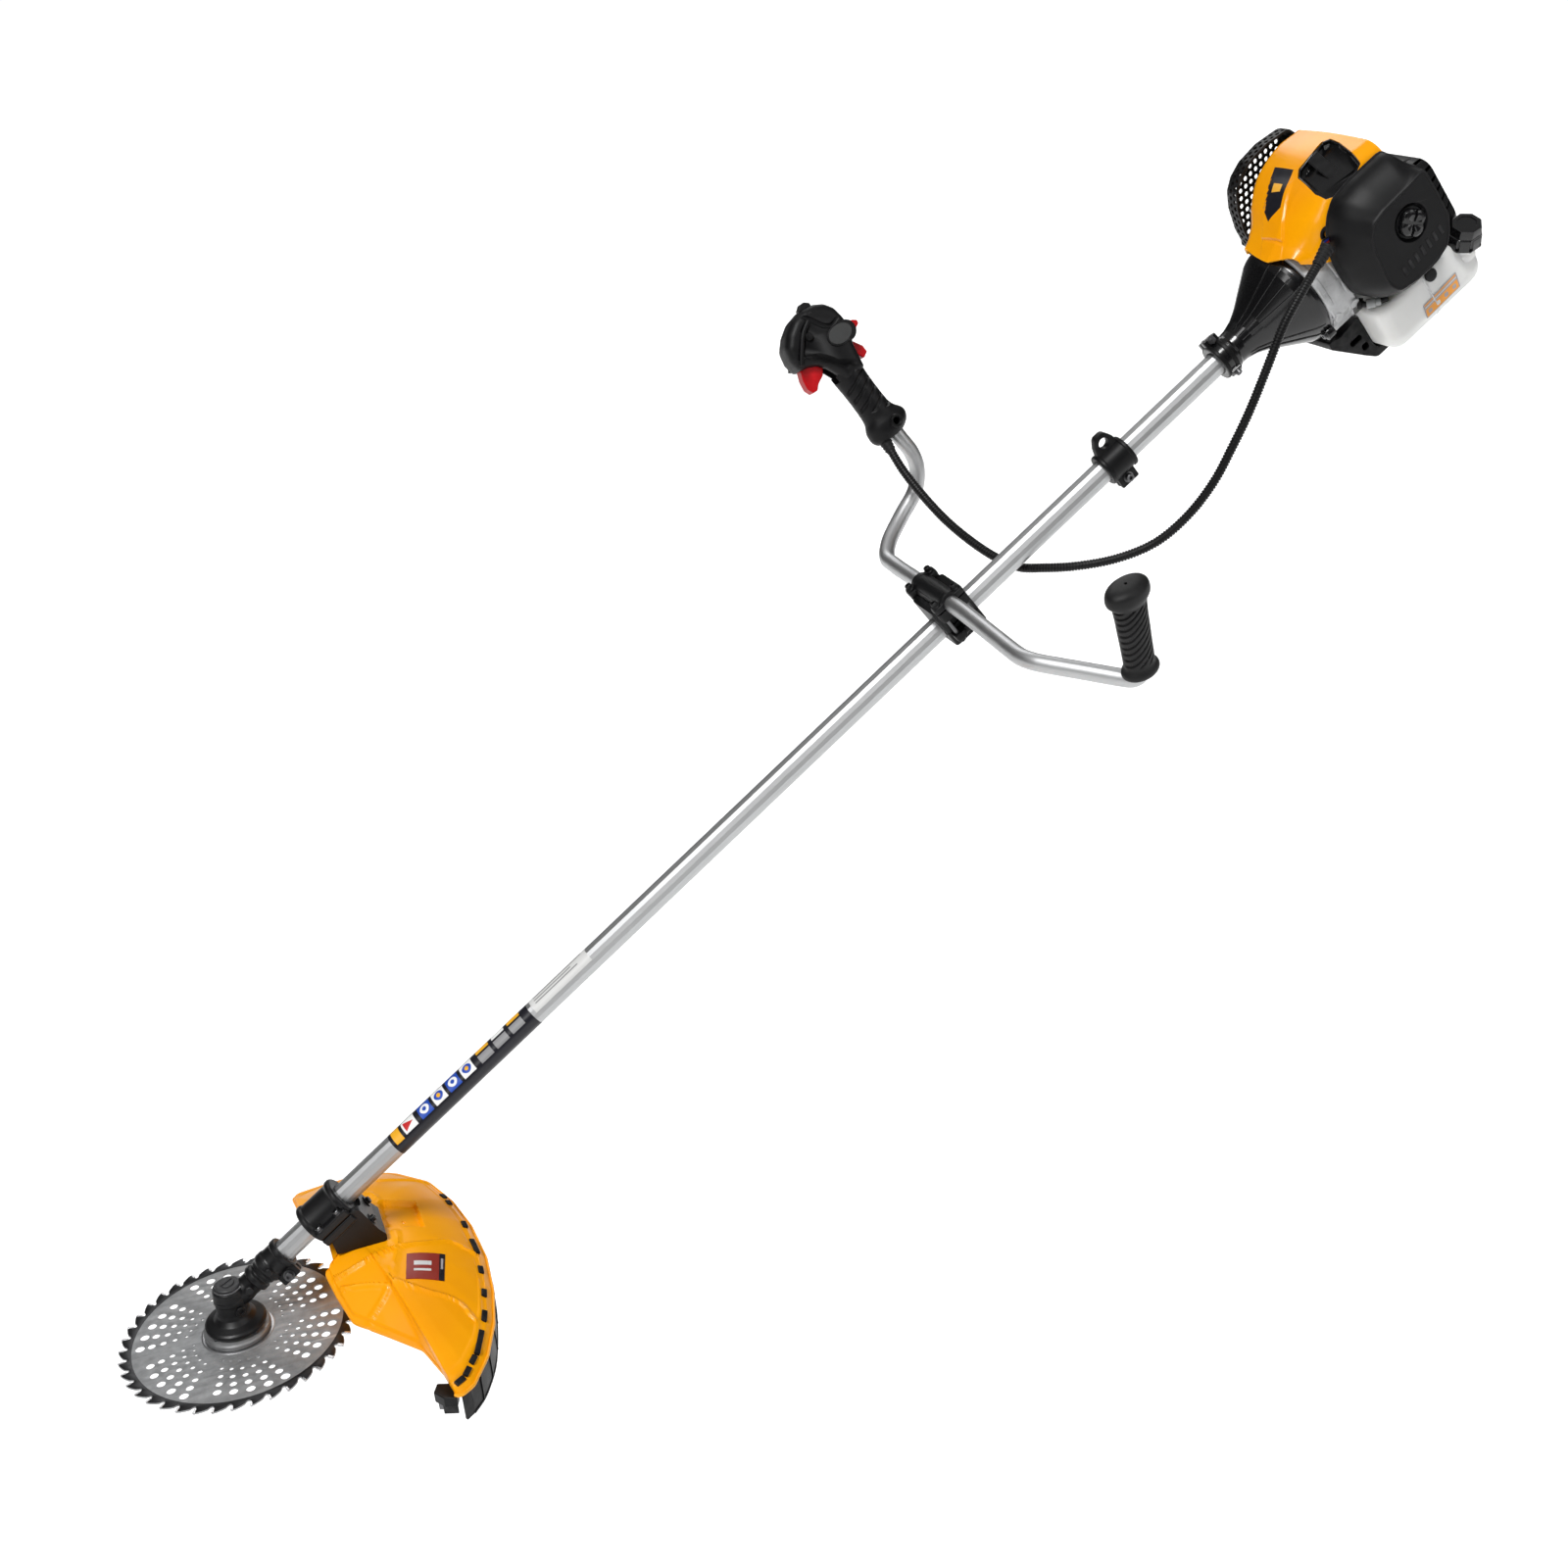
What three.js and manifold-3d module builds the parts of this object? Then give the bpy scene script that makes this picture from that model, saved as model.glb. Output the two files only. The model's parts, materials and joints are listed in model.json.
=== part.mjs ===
// Petrol brush cutter with a straight shaft, bull-horn handlebar, saw-toothed disc blade and guard.
// Millimetres, +Z up. The disc lies level, as the machine is held at work, and the shaft rises
// from the gear head towards the engine along +X. The origin is the harness eye, from which the
// machine hangs. +Y is the operator's right when they walk along -X.
import * as THREE from 'three';
import { mergeVertices } from 'three/addons/utils/BufferGeometryUtils.js';
import Module from 'manifold-3d';

const wasm = await Module();
wasm.setup();

// ------------------------------------------------------------------ driving dimensions
const SHAFT_TILT = 34.67 * Math.PI / 180; // shaft above the disc's plane
const BLADE_Z = -40;        // disc mid-plane below the crossing of spindle and shaft axes
const BLADE_R = 127.5;      // 255 mm disc
const BLADE_T = 1.8;
const BLADE_TEETH = 40;
const BLADE_BORE_R = 12.7;  // 25.4 mm centre hole
const TUBE_R = 13;          // 26 mm shaft tube
const TUBE_BORE_R = 11.5;
const TUBE_START = 45;
const TUBE_END = 1545;      // 1500 mm tube
const DRIVE_R = 4;          // 8 mm drive shaft
const NECK = 1484;          // clutch housing mouth, along the shaft
const BAR_AT = 1082;        // handlebar clamp, along the shaft
const BAR_Z = 33;           // handlebar centre above the shaft axis
const BAR_R = 9;            // 18 mm handlebar
const EYE_AT = 1324;        // harness eye, along the shaft
const EYE_Z = 27;
const PINION_TEETH = 15;
const GEAR_TEETH = 21;
const GEAR_PITCH_R = 14;
const CRANK_THROW = 15;
const ROD_LENGTH = 46;
const CABLE_R = 5;          // 10 mm corrugated conduit
const GAP = 0.3;            // clearance kept between touching pieces

const C = Math.cos(SHAFT_TILT), S = Math.sin(SHAFT_TILT);
const onShaft = (x, y, z) => new THREE.Vector3(x * C - z * S, y, x * S + z * C);

// ------------------------------------------------------------------ colours
const mat = (color, roughness, metalness = 0) => new THREE.MeshStandardMaterial({ color, roughness, metalness });
const COLOURS = {
  black: () => mat(0x17181a, 0.5), rubber: () => mat(0x131314, 0.8), yellow: () => mat(0xf8a204, 0.42),
  steel: () => mat(0xa9abad, 0.3, 1), blade: () => mat(0x8b8d8f, 0.38, 1), tube: () => mat(0xc9cbcd, 0.32, 0.9),
  cast: () => mat(0x8d9092, 0.55, 0.6), tank: () => mat(0xe8eae6, 0.45), red: () => mat(0xd3161c, 0.4),
  bronze: () => mat(0xa9834c, 0.5, 0.8), foam: () => mat(0x3a3a38, 0.95), ceramic: () => mat(0xefeeea, 0.3),
};

// ------------------------------------------------------------------ geometry helpers
function clean(source) {
  let g = source.clone();
  for (const k of Object.keys(g.attributes)) if (k !== 'position') g.deleteAttribute(k);
  g.clearGroups();
  g = mergeVertices(g, 1e-4);
  const a = g.index.array, p = g.attributes.position, keep = [];
  let vol = 0;
  const A = new THREE.Vector3(), B = new THREE.Vector3(), D = new THREE.Vector3();
  for (let i = 0; i < a.length; i += 3) {
    if (a[i] === a[i + 1] || a[i + 1] === a[i + 2] || a[i] === a[i + 2]) continue;
    A.fromBufferAttribute(p, a[i]); B.fromBufferAttribute(p, a[i + 1]); D.fromBufferAttribute(p, a[i + 2]);
    vol += A.dot(B.cross(D));
    keep.push(a[i], a[i + 1], a[i + 2]);
  }
  if (vol < 0) for (let i = 0; i < keep.length; i += 3) { const t = keep[i]; keep[i] = keep[i + 1]; keep[i + 1] = t; }
  g.setIndex(keep);
  return g;
}
function solid(source) {
  const g = clean(source);
  return new wasm.Manifold(new wasm.Mesh({
    numProp: 3,
    vertProperties: new Float32Array(g.attributes.position.array),
    triVerts: new Uint32Array(g.index.array),
  }));
}
function toGeometry(m) {
  const me = m.getMesh();
  const g = new THREE.BufferGeometry();
  g.setAttribute('position', new THREE.BufferAttribute(new Float32Array(me.vertProperties), 3));
  g.setIndex(new THREE.BufferAttribute(new Uint32Array(me.triVerts), 1));
  g.computeVertexNormals();
  return g;
}
const join = (...gs) => toGeometry(gs.map(solid).reduce((a, b) => a.add(b)));
function cut(body, ...tools) {
  let m = solid(body);
  for (const t of tools) m = m.subtract(solid(t));
  return toGeometry(m);
}
const common = (a, b) => toGeometry(solid(a).intersect(solid(b)));
// sides of a round piece, even
const sides = (n) => Math.max(8, 2 * Math.round(n * 0.3));
const box = (x0, x1, y0, y1, z0, z1) => {
  const g = new THREE.BoxGeometry(x1 - x0, y1 - y0, z1 - z0);
  return g.translate((x0 + x1) / 2, (y0 + y1) / 2, (z0 + z1) / 2);
};
const cylX = (r, x0, x1, y = 0, z = 0, seg = 20, r1 = r) =>
  new THREE.CylinderGeometry(r1, r, x1 - x0, sides(seg)).rotateZ(-Math.PI / 2).translate((x0 + x1) / 2, y, z);
const cylY = (r, y0, y1, x = 0, z = 0, seg = 20, r1 = r) =>
  new THREE.CylinderGeometry(r1, r, y1 - y0, sides(seg)).translate(x, (y0 + y1) / 2, z);
const cylZ = (r, z0, z1, x = 0, y = 0, seg = 20, r1 = r) =>
  new THREE.CylinderGeometry(r1, r, z1 - z0, sides(seg)).rotateX(Math.PI / 2).translate(x, y, (z0 + z1) / 2);
function lathe(profile, seg, axis) {
  // profile: [radius, along] pairs, closed on itself or on the axis
  const g = new THREE.LatheGeometry(profile.map(([r, a]) => new THREE.Vector2(r, a)), sides(seg));
  if (axis === 'x') g.rotateZ(-Math.PI / 2);
  if (axis === 'z') g.rotateX(Math.PI / 2);
  return g;
}
const ring = (ri, ro, a0, a1, seg, axis) => lathe([[ri, a0], [ro, a0], [ro, a1], [ri, a1], [ri, a0]], seg, axis);
function outline(points) {
  const s = new THREE.Shape();
  points.forEach(([x, y], i) => (i ? s.lineTo(x, y) : s.moveTo(x, y)));
  s.closePath();
  return s;
}
// polygon in (x, z), extruded along y
const slabY = (points, y0, y1) =>
  new THREE.ExtrudeGeometry(outline(points), { depth: y1 - y0, bevelEnabled: false }).rotateX(Math.PI / 2).translate(0, y1, 0);
// polygon in (x, y), extruded along z
const slabZ = (points, z0, z1) =>
  new THREE.ExtrudeGeometry(outline(points), { depth: z1 - z0, bevelEnabled: false }).translate(0, 0, z0);
// polygon in (y, z), extruded along x
const slabX = (points, x0, x1) =>
  new THREE.ExtrudeGeometry(outline(points), { depth: x1 - x0, bevelEnabled: false })
    .applyMatrix4(new THREE.Matrix4().makeBasis(new THREE.Vector3(0, 1, 0), new THREE.Vector3(0, 0, 1), new THREE.Vector3(1, 0, 0)))
    .translate(x0, 0, 0);
function circlePoints(r, n, cx = 0, cy = 0, a0 = 0) {
  return Array.from({ length: n }, (_, i) => [cx + r * Math.cos(a0 + 2 * Math.PI * i / n), cy + r * Math.sin(a0 + 2 * Math.PI * i / n)]);
}
function tube(points, r, sides, steps) {
  const path = new THREE.CatmullRomCurve3(points, false, 'centripetal');
  return new THREE.ExtrudeGeometry(outline(circlePoints(r, sides)), { steps, extrudePath: path, bevelEnabled: false });
}
// skin over a row of closed rings with the same number of points, capped at both ends
function loft(rings, u = 1, v = 2) {
  const n = rings[0].length, pos = [], idx = [];
  rings.forEach((r) => r.forEach((p) => pos.push(...p)));
  for (let k = 0; k + 1 < rings.length; k++)
    for (let i = 0; i < n; i++) {
      const j = (i + 1) % n, a = k * n + i, b = k * n + j, c = (k + 1) * n + j, d = (k + 1) * n + i;
      idx.push(a, b, c, a, c, d);
    }
  const cap = (k, forward) => {
    const pts = rings[k].map((p) => new THREE.Vector2(p[u], p[v]));
    const tris = THREE.ShapeUtils.triangulateShape(pts, []);
    let same = true;
    outer: for (const t of tris) for (let e = 0; e < 3; e++) {
      const a = t[e], b = t[(e + 1) % 3];
      if (b === (a + 1) % n) { same = true; break outer; }
      if (a === (b + 1) % n) { same = false; break outer; }
    }
    for (const [a, b, c] of tris) {
      const o = k * n;
      if (same === forward) idx.push(o + a, o + b, o + c); else idx.push(o + a, o + c, o + b);
    }
  };
  cap(0, false);
  cap(rings.length - 1, true);
  const g = new THREE.BufferGeometry();
  g.setAttribute('position', new THREE.Float32BufferAttribute(pos, 3));
  g.setIndex(idx);
  return clean(g);
}
function roundedRect(x0, x1, y0, y1, r, n = 3) {
  const pts = [];
  for (const [cx, cy, a] of [[x1 - r, y1 - r, 0], [x0 + r, y1 - r, 1], [x0 + r, y0 + r, 2], [x1 - r, y0 + r, 3]])
    for (let i = 0; i <= n; i++) pts.push([cx + r * Math.cos((a + i / n) * Math.PI / 2), cy + r * Math.sin((a + i / n) * Math.PI / 2)]);
  return pts;
}

const root = new THREE.Group();
const eye = onShaft(EYE_AT, 0, EYE_Z);
const machine = new THREE.Group();      // origin at the crossing of spindle and shaft axes
machine.position.copy(eye).negate();
root.add(machine);
const shaft = new THREE.Group();        // +x along the shaft towards the engine
shaft.rotation.y = -SHAFT_TILT;
machine.add(shaft);
const engine = new THREE.Group();       // the same, measured from the clutch housing's mouth
engine.position.set(NECK, 0, 0);
shaft.add(engine);
function put(parent, name, geometry, material) {
  const m = new THREE.Mesh(clean(geometry), material);
  m.geometry.computeVertexNormals();
  m.name = name;
  parent.add(m);
  return m;
}

// ------------------------------------------------------------------ cutting disc and its clamping stack
{
  const pts = [];
  for (let i = 0; i < BLADE_TEETH; i++) {
    const a = 2 * Math.PI * i / BLADE_TEETH, p = 2 * Math.PI / BLADE_TEETH;
    for (const [f, r] of [[0, BLADE_R - 8], [0.72, BLADE_R], [0.95, BLADE_R - 0.3]])
      pts.push([r * Math.cos(a + f * p), r * Math.sin(a + f * p)]);
  }
  const s = outline(pts);
  const hole = new THREE.Path();
  circlePoints(BLADE_BORE_R, 24).reverse().forEach(([x, y], i) => (i ? hole.lineTo(x, y) : hole.moveTo(x, y)));
  hole.closePath();
  s.holes.push(hole);
  const g = new THREE.ExtrudeGeometry(s, { depth: BLADE_T, bevelEnabled: false }).translate(0, 0, BLADE_Z - BLADE_T / 2);
  put(machine, 'blade', g, COLOURS.blade());
}
const bladeTop = BLADE_Z + BLADE_T / 2, bladeBottom = BLADE_Z - BLADE_T / 2;
put(machine, 'drive_flange', lathe([[6.3, bladeTop + 10.6], [6.3, bladeBottom + 0.2], [12.3, bladeBottom + 0.2], [12.3, bladeTop + GAP],
  [33, bladeTop + GAP], [36, bladeTop + 2.2], [36, bladeTop + 8.8], [34.6, bladeTop + 10.6], [6.3, bladeTop + 10.6]], 36, 'z'), COLOURS.steel());
put(machine, 'lower_washer', ring(6.3, 25, bladeBottom - 3.5, bladeBottom - GAP, 28, 'z'), COLOURS.steel());
{
  const t = bladeBottom - 3.8;
  put(machine, 'stabiliser_cup', lathe([[6.3, t], [30, t], [38, t - 4], [40, t - 9], [37.6, t - 9], [35.8, t - 5.4], [29.4, t - 2.2], [6.3, t - 2.2], [6.3, t]], 32, 'z'), COLOURS.steel());
  const hex = circlePoints(9.8, 6);
  put(machine, 'blade_nut', cut(slabZ(hex, t - 11, t - 2.5), cylZ(5.4, t - 12, t, 0, 0, 16)), COLOURS.steel());
  put(machine, 'spindle', lathe([[0, -1.5], [5, -1.5], [5, -10.8], [6, -10.8], [6, t - 2.4], [5, t - 2.4], [5, t - 12.5], [0, t - 12.5]], 20, 'z'), COLOURS.steel());
}

// ------------------------------------------------------------------ gear head: bevel pair, bearings, housing
// Pitch cones meet at the crossing of the axes. The ratio of the sines of their half-angles is the tooth ratio.
const AXES_ANGLE = Math.PI / 2 + SHAFT_TILT; // between the shaft, outwards, and the spindle, downwards
const PINION_CONE = Math.atan2(Math.sin(AXES_ANGLE), GEAR_TEETH / PINION_TEETH + Math.cos(AXES_ANGLE));
const GEAR_CONE = AXES_ANGLE - PINION_CONE;
const CONE_L = GEAR_PITCH_R / Math.sin(GEAR_CONE);
// A bevel gear about +z with its apex at the origin; its teeth stand on the outside of the pitch cone.
function bevel(teeth, cone, phase, back, hubR, hubEnd) {
  const inner = 0.72, add = 0.9, ded = 1.3, step = 2 * Math.PI / teeth;
  const at = (l, off) => [l * Math.sin(cone) + off * Math.cos(cone), l * Math.cos(cone) - off * Math.sin(cone)];
  const star = (k) => {
    const pts = [];
    for (let i = 0; i < teeth; i++)
      for (const [f, off] of [[-0.3, -ded], [-0.11, add], [0.11, add], [0.3, -ded]]) {
        const [r, z] = at(CONE_L * k, off * k), a = phase + (i + f) * step;
        pts.push([r * Math.cos(a), r * Math.sin(a), z]);
      }
    return pts;
  };
  const root0 = at(CONE_L, -ded), root1 = at(CONE_L * inner, -ded * inner);
  const disc = (r, z) => star(1).map(([x, y]) => { const q = Math.hypot(x, y); return [x / q * r, y / q * r, z]; });
  const g = loft([star(inner), star(1), disc(root0[0] - 0.6, root0[1] + back)], 0, 1);
  return join(g, cylZ(hubR, root1[1] + 0.8, hubEnd, 0, 0, 24));
}
{
  // driven gear: built about +z, then turned over so that its teeth face up
  const g = cut(bevel(GEAR_TEETH, GEAR_CONE, Math.PI / GEAR_TEETH, 2.6, 8, CONE_L * Math.cos(GEAR_CONE) + 7.4), cylZ(5.3, -5, 20, 0, 0, 24));
  g.rotateX(Math.PI);
  put(machine, 'driven_gear', g, COLOURS.steel());
  const p = cut(bevel(PINION_TEETH, PINION_CONE, 0, 1.6, 5, 43), cylZ(4.4, 34, 44, 0, 0, 20));
  p.rotateY(Math.PI / 2);
  put(shaft, 'pinion_gear', p, COLOURS.steel());
}
put(machine, 'spindle_bearing_upper', ring(6.15, 12, -17.2, -11.4, 26, 'z'), COLOURS.steel());
put(machine, 'spindle_bearing_lower', ring(6.15, 14, -24.6, -17.6, 26, 'z'), COLOURS.steel());
put(shaft, 'pinion_bearing', ring(5.15, 10.9, 16, 25, 24, 'x'), COLOURS.steel());
{
  const along = (g) => g.applyMatrix4(new THREE.Matrix4().makeRotationY(-SHAFT_TILT));
  let m = solid(lathe([[0, -27.3], [33, -27.3], [33, -23.5], [25, -21.5], [19.5, -17], [17.6, -8], [17.6, 20], [16.6, 21], [0, 21]], 32, 'z'));
  m = m.add(solid(along(cylX(13.6, 2, 52, 0, 0, 26))));
  m = m.add(solid(along(cylX(17.8, 50, 80, 0, 0, 28))));
  m = m.add(solid(along(cylX(15.4, 36, 52, 0, 0, 26))));
  m = m.add(solid(along(box(54, 74, -5.5, 5.5, -25, -10))));
  m = m.add(solid(along(cylZ(5.5, 10, 21, 66, 0, 16))));
  m = m.subtract(solid(cylZ(15.2, -11.2, 18.4, 0, 0, 28)));
  m = m.subtract(solid(cylZ(12.3, -17.4, -10, 0, 0, 28)));
  m = m.subtract(solid(cylZ(14.35, -28, -17.4, 0, 0, 28)));
  m = m.subtract(solid(along(cylX(11.25, 4, 25.4, 0, 0, 24))));
  m = m.subtract(solid(along(cylX(6, 20, 50, 0, 0, 20))));
  m = m.subtract(solid(along(cylX(13.4, 44.5, 82, 0, 0, 24))));
  m = m.subtract(solid(cylZ(14, 21, 40, 0, 0, 24)));
  put(machine, 'gearbox_housing', toGeometry(m), COLOURS.black());
  put(machine, 'gearbox_cap', cut(cylZ(13.6, 21.3, 24.6, 0, 0, 28), box(-9, 9, -1, 1, 23.4, 26), cylX(11.3, 0, 30, 0, 0, 24).applyMatrix4(new THREE.Matrix4().makeRotationY(-SHAFT_TILT))), COLOURS.black());
}

// ------------------------------------------------------------------ shaft tube and what runs in it
put(shaft, 'shaft_tube', ring(TUBE_BORE_R, TUBE_R, TUBE_START, TUBE_END, 28, 'x'), COLOURS.tube());
put(shaft, 'inner_drive_shaft', cylX(DRIVE_R, 35, NECK + 74, 0, 0, 12), COLOURS.steel());
put(shaft, 'shaft_bush_lower', ring(4.3, 11.2, 480, 510, 18, 'x'), COLOURS.bronze());
put(shaft, 'shaft_bush_upper', ring(4.3, 11.2, 1000, 1030, 18, 'x'), COLOURS.bronze());

// ------------------------------------------------------------------ guard, its bracket, skirt and line cutter
{
  const along = (g) => g.applyMatrix4(new THREE.Matrix4().makeRotationY(-SHAFT_TILT));
  const block = join(
    slabY([[118, 40.4], [173, 40.4], [173, 49], [166, 58], [148, 92], [112, 76]], -26, 26),
    along(cylX(23.5, 119, 168, 0, 0, 28)));
  put(machine, 'guard_bracket', cut(block, along(cylX(13.3, 90, 190, 0, 0, 28))), COLOURS.black());

  const CX = 142, CY = 0, CZ = 40;
  const rim = [
    // plan boundary, anticlockwise from the right-hand end: x, y, height, outer rim?
    [88, 174, -8, 0], [97, 182, -12, 1], [125, 188, -14, 1], [165, 190, -15, 1], [208, 176, -16, 1], [242, 140, -16, 1], [260, 90, -16, 1], [270, 35, -16, 1],
    [273, -30, -16, 1], [267, -90, -16, 1], [256, -140, -17, 1], [238, -188, -17, 1], [216, -222, -18, 1], [197, -234, -18, 1],
    [190, -192, -12, 0], [178, -157, -6, 0], [149, -128, 0, 0], [117, -94, 4, 0], [107, -62, 18, 0], [101, -34, 30, 0], [113, -27.5, 38, 0],
    [113, 27.5, 38, 0], [99, 34, 33, 0], [96, 62, 27, 0], [93, 100, 16, 0], [90, 140, 2, 0],
  ].reverse();
  const rho = [0.24, 0.5, 0.72, 0.88, 0.95, 1];
  const heights = (r, zb, outer) => {
    if (r <= 0.24) return CZ;
    const k = (r - 0.24) / 0.76;
    if (!outer) return CZ + (zb - CZ) * Math.pow(k, 1.5);
    const crest = -2;
    return r < 0.9 ? CZ + (crest - CZ) * Math.pow(k / 0.87, 1.7) : crest + (zb - crest) * (k - 0.87) / 0.13;
  };
  const n = rim.length, pos = [], idx = [], layers = [0, -2.6];
  for (const off of layers) {
    pos.push(CX, CY, CZ + off);
    for (const r of rho) for (const [x, y, z, o] of rim)
      pos.push(CX + (x - CX) * r, CY + (y - CY) * r, heights(r, z, o) + off);
  }
  const L = 1 + rho.length * n;
  for (let s = 0; s < 2; s++) {
    const o = s * L, tri = (a, b, c) => (s ? idx.push(o + a, o + c, o + b) : idx.push(o + a, o + b, o + c));
    for (let i = 0; i < n; i++) {
      const j = (i + 1) % n;
      tri(0, 1 + j, 1 + i);
      for (let k = 0; k + 1 < rho.length; k++) {
        const a = 1 + k * n + i, b = 1 + k * n + j, c = 1 + (k + 1) * n + j, d = 1 + (k + 1) * n + i;
        tri(a, b, c); tri(a, c, d);
      }
    }
  }
  const e = 1 + (rho.length - 1) * n;
  for (let i = 0; i < n; i++) {
    const j = (i + 1) % n, a = e + i, b = e + j;
    idx.push(a, b, L + b, a, L + b, L + a);
  }
  const g = new THREE.BufferGeometry();
  g.setAttribute('position', new THREE.Float32BufferAttribute(pos, 3));
  g.setIndex(idx);
  put(machine, 'guard_shell', g, COLOURS.yellow());

  // skirt: a curved strip below the rim, deepest at the left-hand end
  const lip = [[270.5, 0], [271.5, -30], [269, -62], [265.5, -90], [260.5, -115], [254.5, -140], [246.5, -166], [236.5, -188], [225, -208], [212, -223]];
  const rings = lip.map(([x, y], i) => {
    const k = i / (lip.length - 1), top = -20.6 - 0.9 * k, low = top - 6 - 26 * Math.sin(Math.min(1, k * 1.15) * Math.PI / 2);
    const nx = x - 150, ny = y + 20, q = Math.hypot(nx, ny), ux = nx / q, uy = ny / q;
    return [[x, y, top], [x + 2.2 * ux, y + 2.2 * uy, top], [x + 2.2 * ux, y + 2.2 * uy, low], [x, y, low]];
  });
  put(machine, 'guard_skirt', loft(rings, 0, 2), COLOURS.black());
  put(machine, 'line_cutter', join(slabZ([[184, -226], [196, -231], [200, -221], [188, -216]], -46, -21.6), slabZ([[176, -213], [190, -219], [196, -207], [182, -201]], -46, -30), slabZ([[184, -226], [190, -228], [196, -210], [182, -204]], -46, -32)), COLOURS.black());
}

// ------------------------------------------------------------------ handlebar, clamp, grips
const bar = new THREE.Group();          // origin at the middle of the handlebar clamp, row axes
bar.position.copy(onShaft(BAR_AT, 0, BAR_Z));
machine.add(bar);
const V = (x, y, z) => new THREE.Vector3(x, y, z);
const GRIP_BASE = V(74, -304.1, -1.1), GRIP_DIR = V(-0.2595, -0.18, 0.949).normalize();
const HANDLE_BASE = V(39.4, 202.9, 138), HANDLE_DIR = V(-0.4727, 0.3249, 0.8192).normalize();
{
  const arms = (x, z0, z1) => [box(-x, x, -40, -25, z0, z1), box(-x, x, 25, 40, z0, z1)];
  const b = [join(box(-22, 22, -26, 26, -18, -0.4), ...arms(19, -9, -0.4)), join(box(-22, 22, -26, 26, 0.4, BAR_Z - 0.4), ...arms(19, 20, BAR_Z - 0.4)), join(cylY(13.5, -39, 39, 0, BAR_Z, 24), ...arms(20, BAR_Z + 0.4, BAR_Z + 8))];
  const tubeBore = cylX(13.3, -40, 40, 0, 0, 28), barBore = cylY(BAR_R + 0.3, -50, 50, 0, BAR_Z, 24);
  const clamp = new THREE.Group();
  clamp.position.set(BAR_AT, 0, 0);
  shaft.add(clamp);
  put(clamp, 'handlebar_clamp_base', cut(b[0], tubeBore), COLOURS.black());
  put(clamp, 'handlebar_clamp_middle', cut(b[1], tubeBore, barBore), COLOURS.black());
  put(clamp, 'handlebar_clamp_cap', cut(b[2], box(-40, 40, -45, 45, 0, BAR_Z + 0.4), barBore), COLOURS.black());
}
{
  const g = (t) => GRIP_BASE.clone().addScaledVector(GRIP_DIR, t), h = (t) => HANDLE_BASE.clone().addScaledVector(HANDLE_DIR, t);
  const corner = g(-12), bend = V(-3, -216, -4), along = corner.clone().sub(bend).normalize();
  const arc = (at, from, to, r, m) => {           // bend of radius r at a corner, as points
    const turn = Math.acos(from.dot(to)), l = r * Math.tan(turn / 2), c = at.clone().addScaledVector(from, -l), n = to.clone().addScaledVector(from, -to.dot(from)).normalize();
    return Array.from({ length: m + 1 }, (_, i) => c.clone().addScaledVector(from, r * Math.sin(turn * i / m)).addScaledVector(n, r * (1 - Math.cos(turn * i / m))));
  };
  const pts = [g(84), g(60), g(35), g(14), ...arc(corner, along, GRIP_DIR, 14, 6).reverse(), bend.clone().addScaledVector(along, 60), ...arc(bend, V(0, -1, 0), along, 45, 4).reverse(), V(-2, -150, -2.7), V(-0.6, -90, -0.8), V(0, -45, 0), V(0, 0, 0), V(0, 60, 0), V(0, 112, 0),
    V(1, 135, 2), V(12, 154, 13), V(38, 175, 34), V(62, 187, 58), V(67, 190, 81), V(62, 192, 101), h(-22), h(0), h(30), h(64)];
  const g0 = tube(pts, BAR_R, 8, 48);
  put(bar, 'handlebar', g0, COLOURS.tube());
}
const OVAL_TURN = 0.35;       // how far the oval of the left grip is turned about its axis, in radians
const frameOf = (base, dir, towards) => {
  const z = dir.clone(), x = towards.clone().addScaledVector(z, -towards.dot(z)).normalize(), y = z.clone().cross(x);
  const o = new THREE.Group();
  o.applyMatrix4(new THREE.Matrix4().makeBasis(x, y, z).setPosition(base));
  bar.add(o);
  return o;
};
{
  const g = frameOf(GRIP_BASE, GRIP_DIR, V(-1, 0, 0));
  const oval = (z, rx, ry) => Array.from({ length: 28 }, (_, i) => {
    const t = 2 * Math.PI * i / 28, x = rx * Math.cos(t), y = ry * Math.sin(t), c = Math.cos(OVAL_TURN), s = Math.sin(OVAL_TURN);
    return [c * x - s * y, s * x + c * y, z];
  });
  const body = loft([oval(0, 18, 14.8), oval(4, 20.6, 16.8), oval(8, 19.6, 16), oval(14, 16.6, 14.2), oval(40, 16.8, 14.2), oval(66, 17.6, 14.4), oval(82, 19, 15), oval(88, 23.6, 17), oval(94, 25.2, 17.8), oval(100, 24, 16.8), oval(105, 18.4, 12.4)], 0, 1);
  put(g, 'left_grip', cut(cut(body, cylZ(BAR_R + 4, -5, 22, 0, 0, 24)), cylZ(BAR_R + 0.8, 10, 88, 0, 0, 24)), COLOURS.rubber());
}
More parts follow.
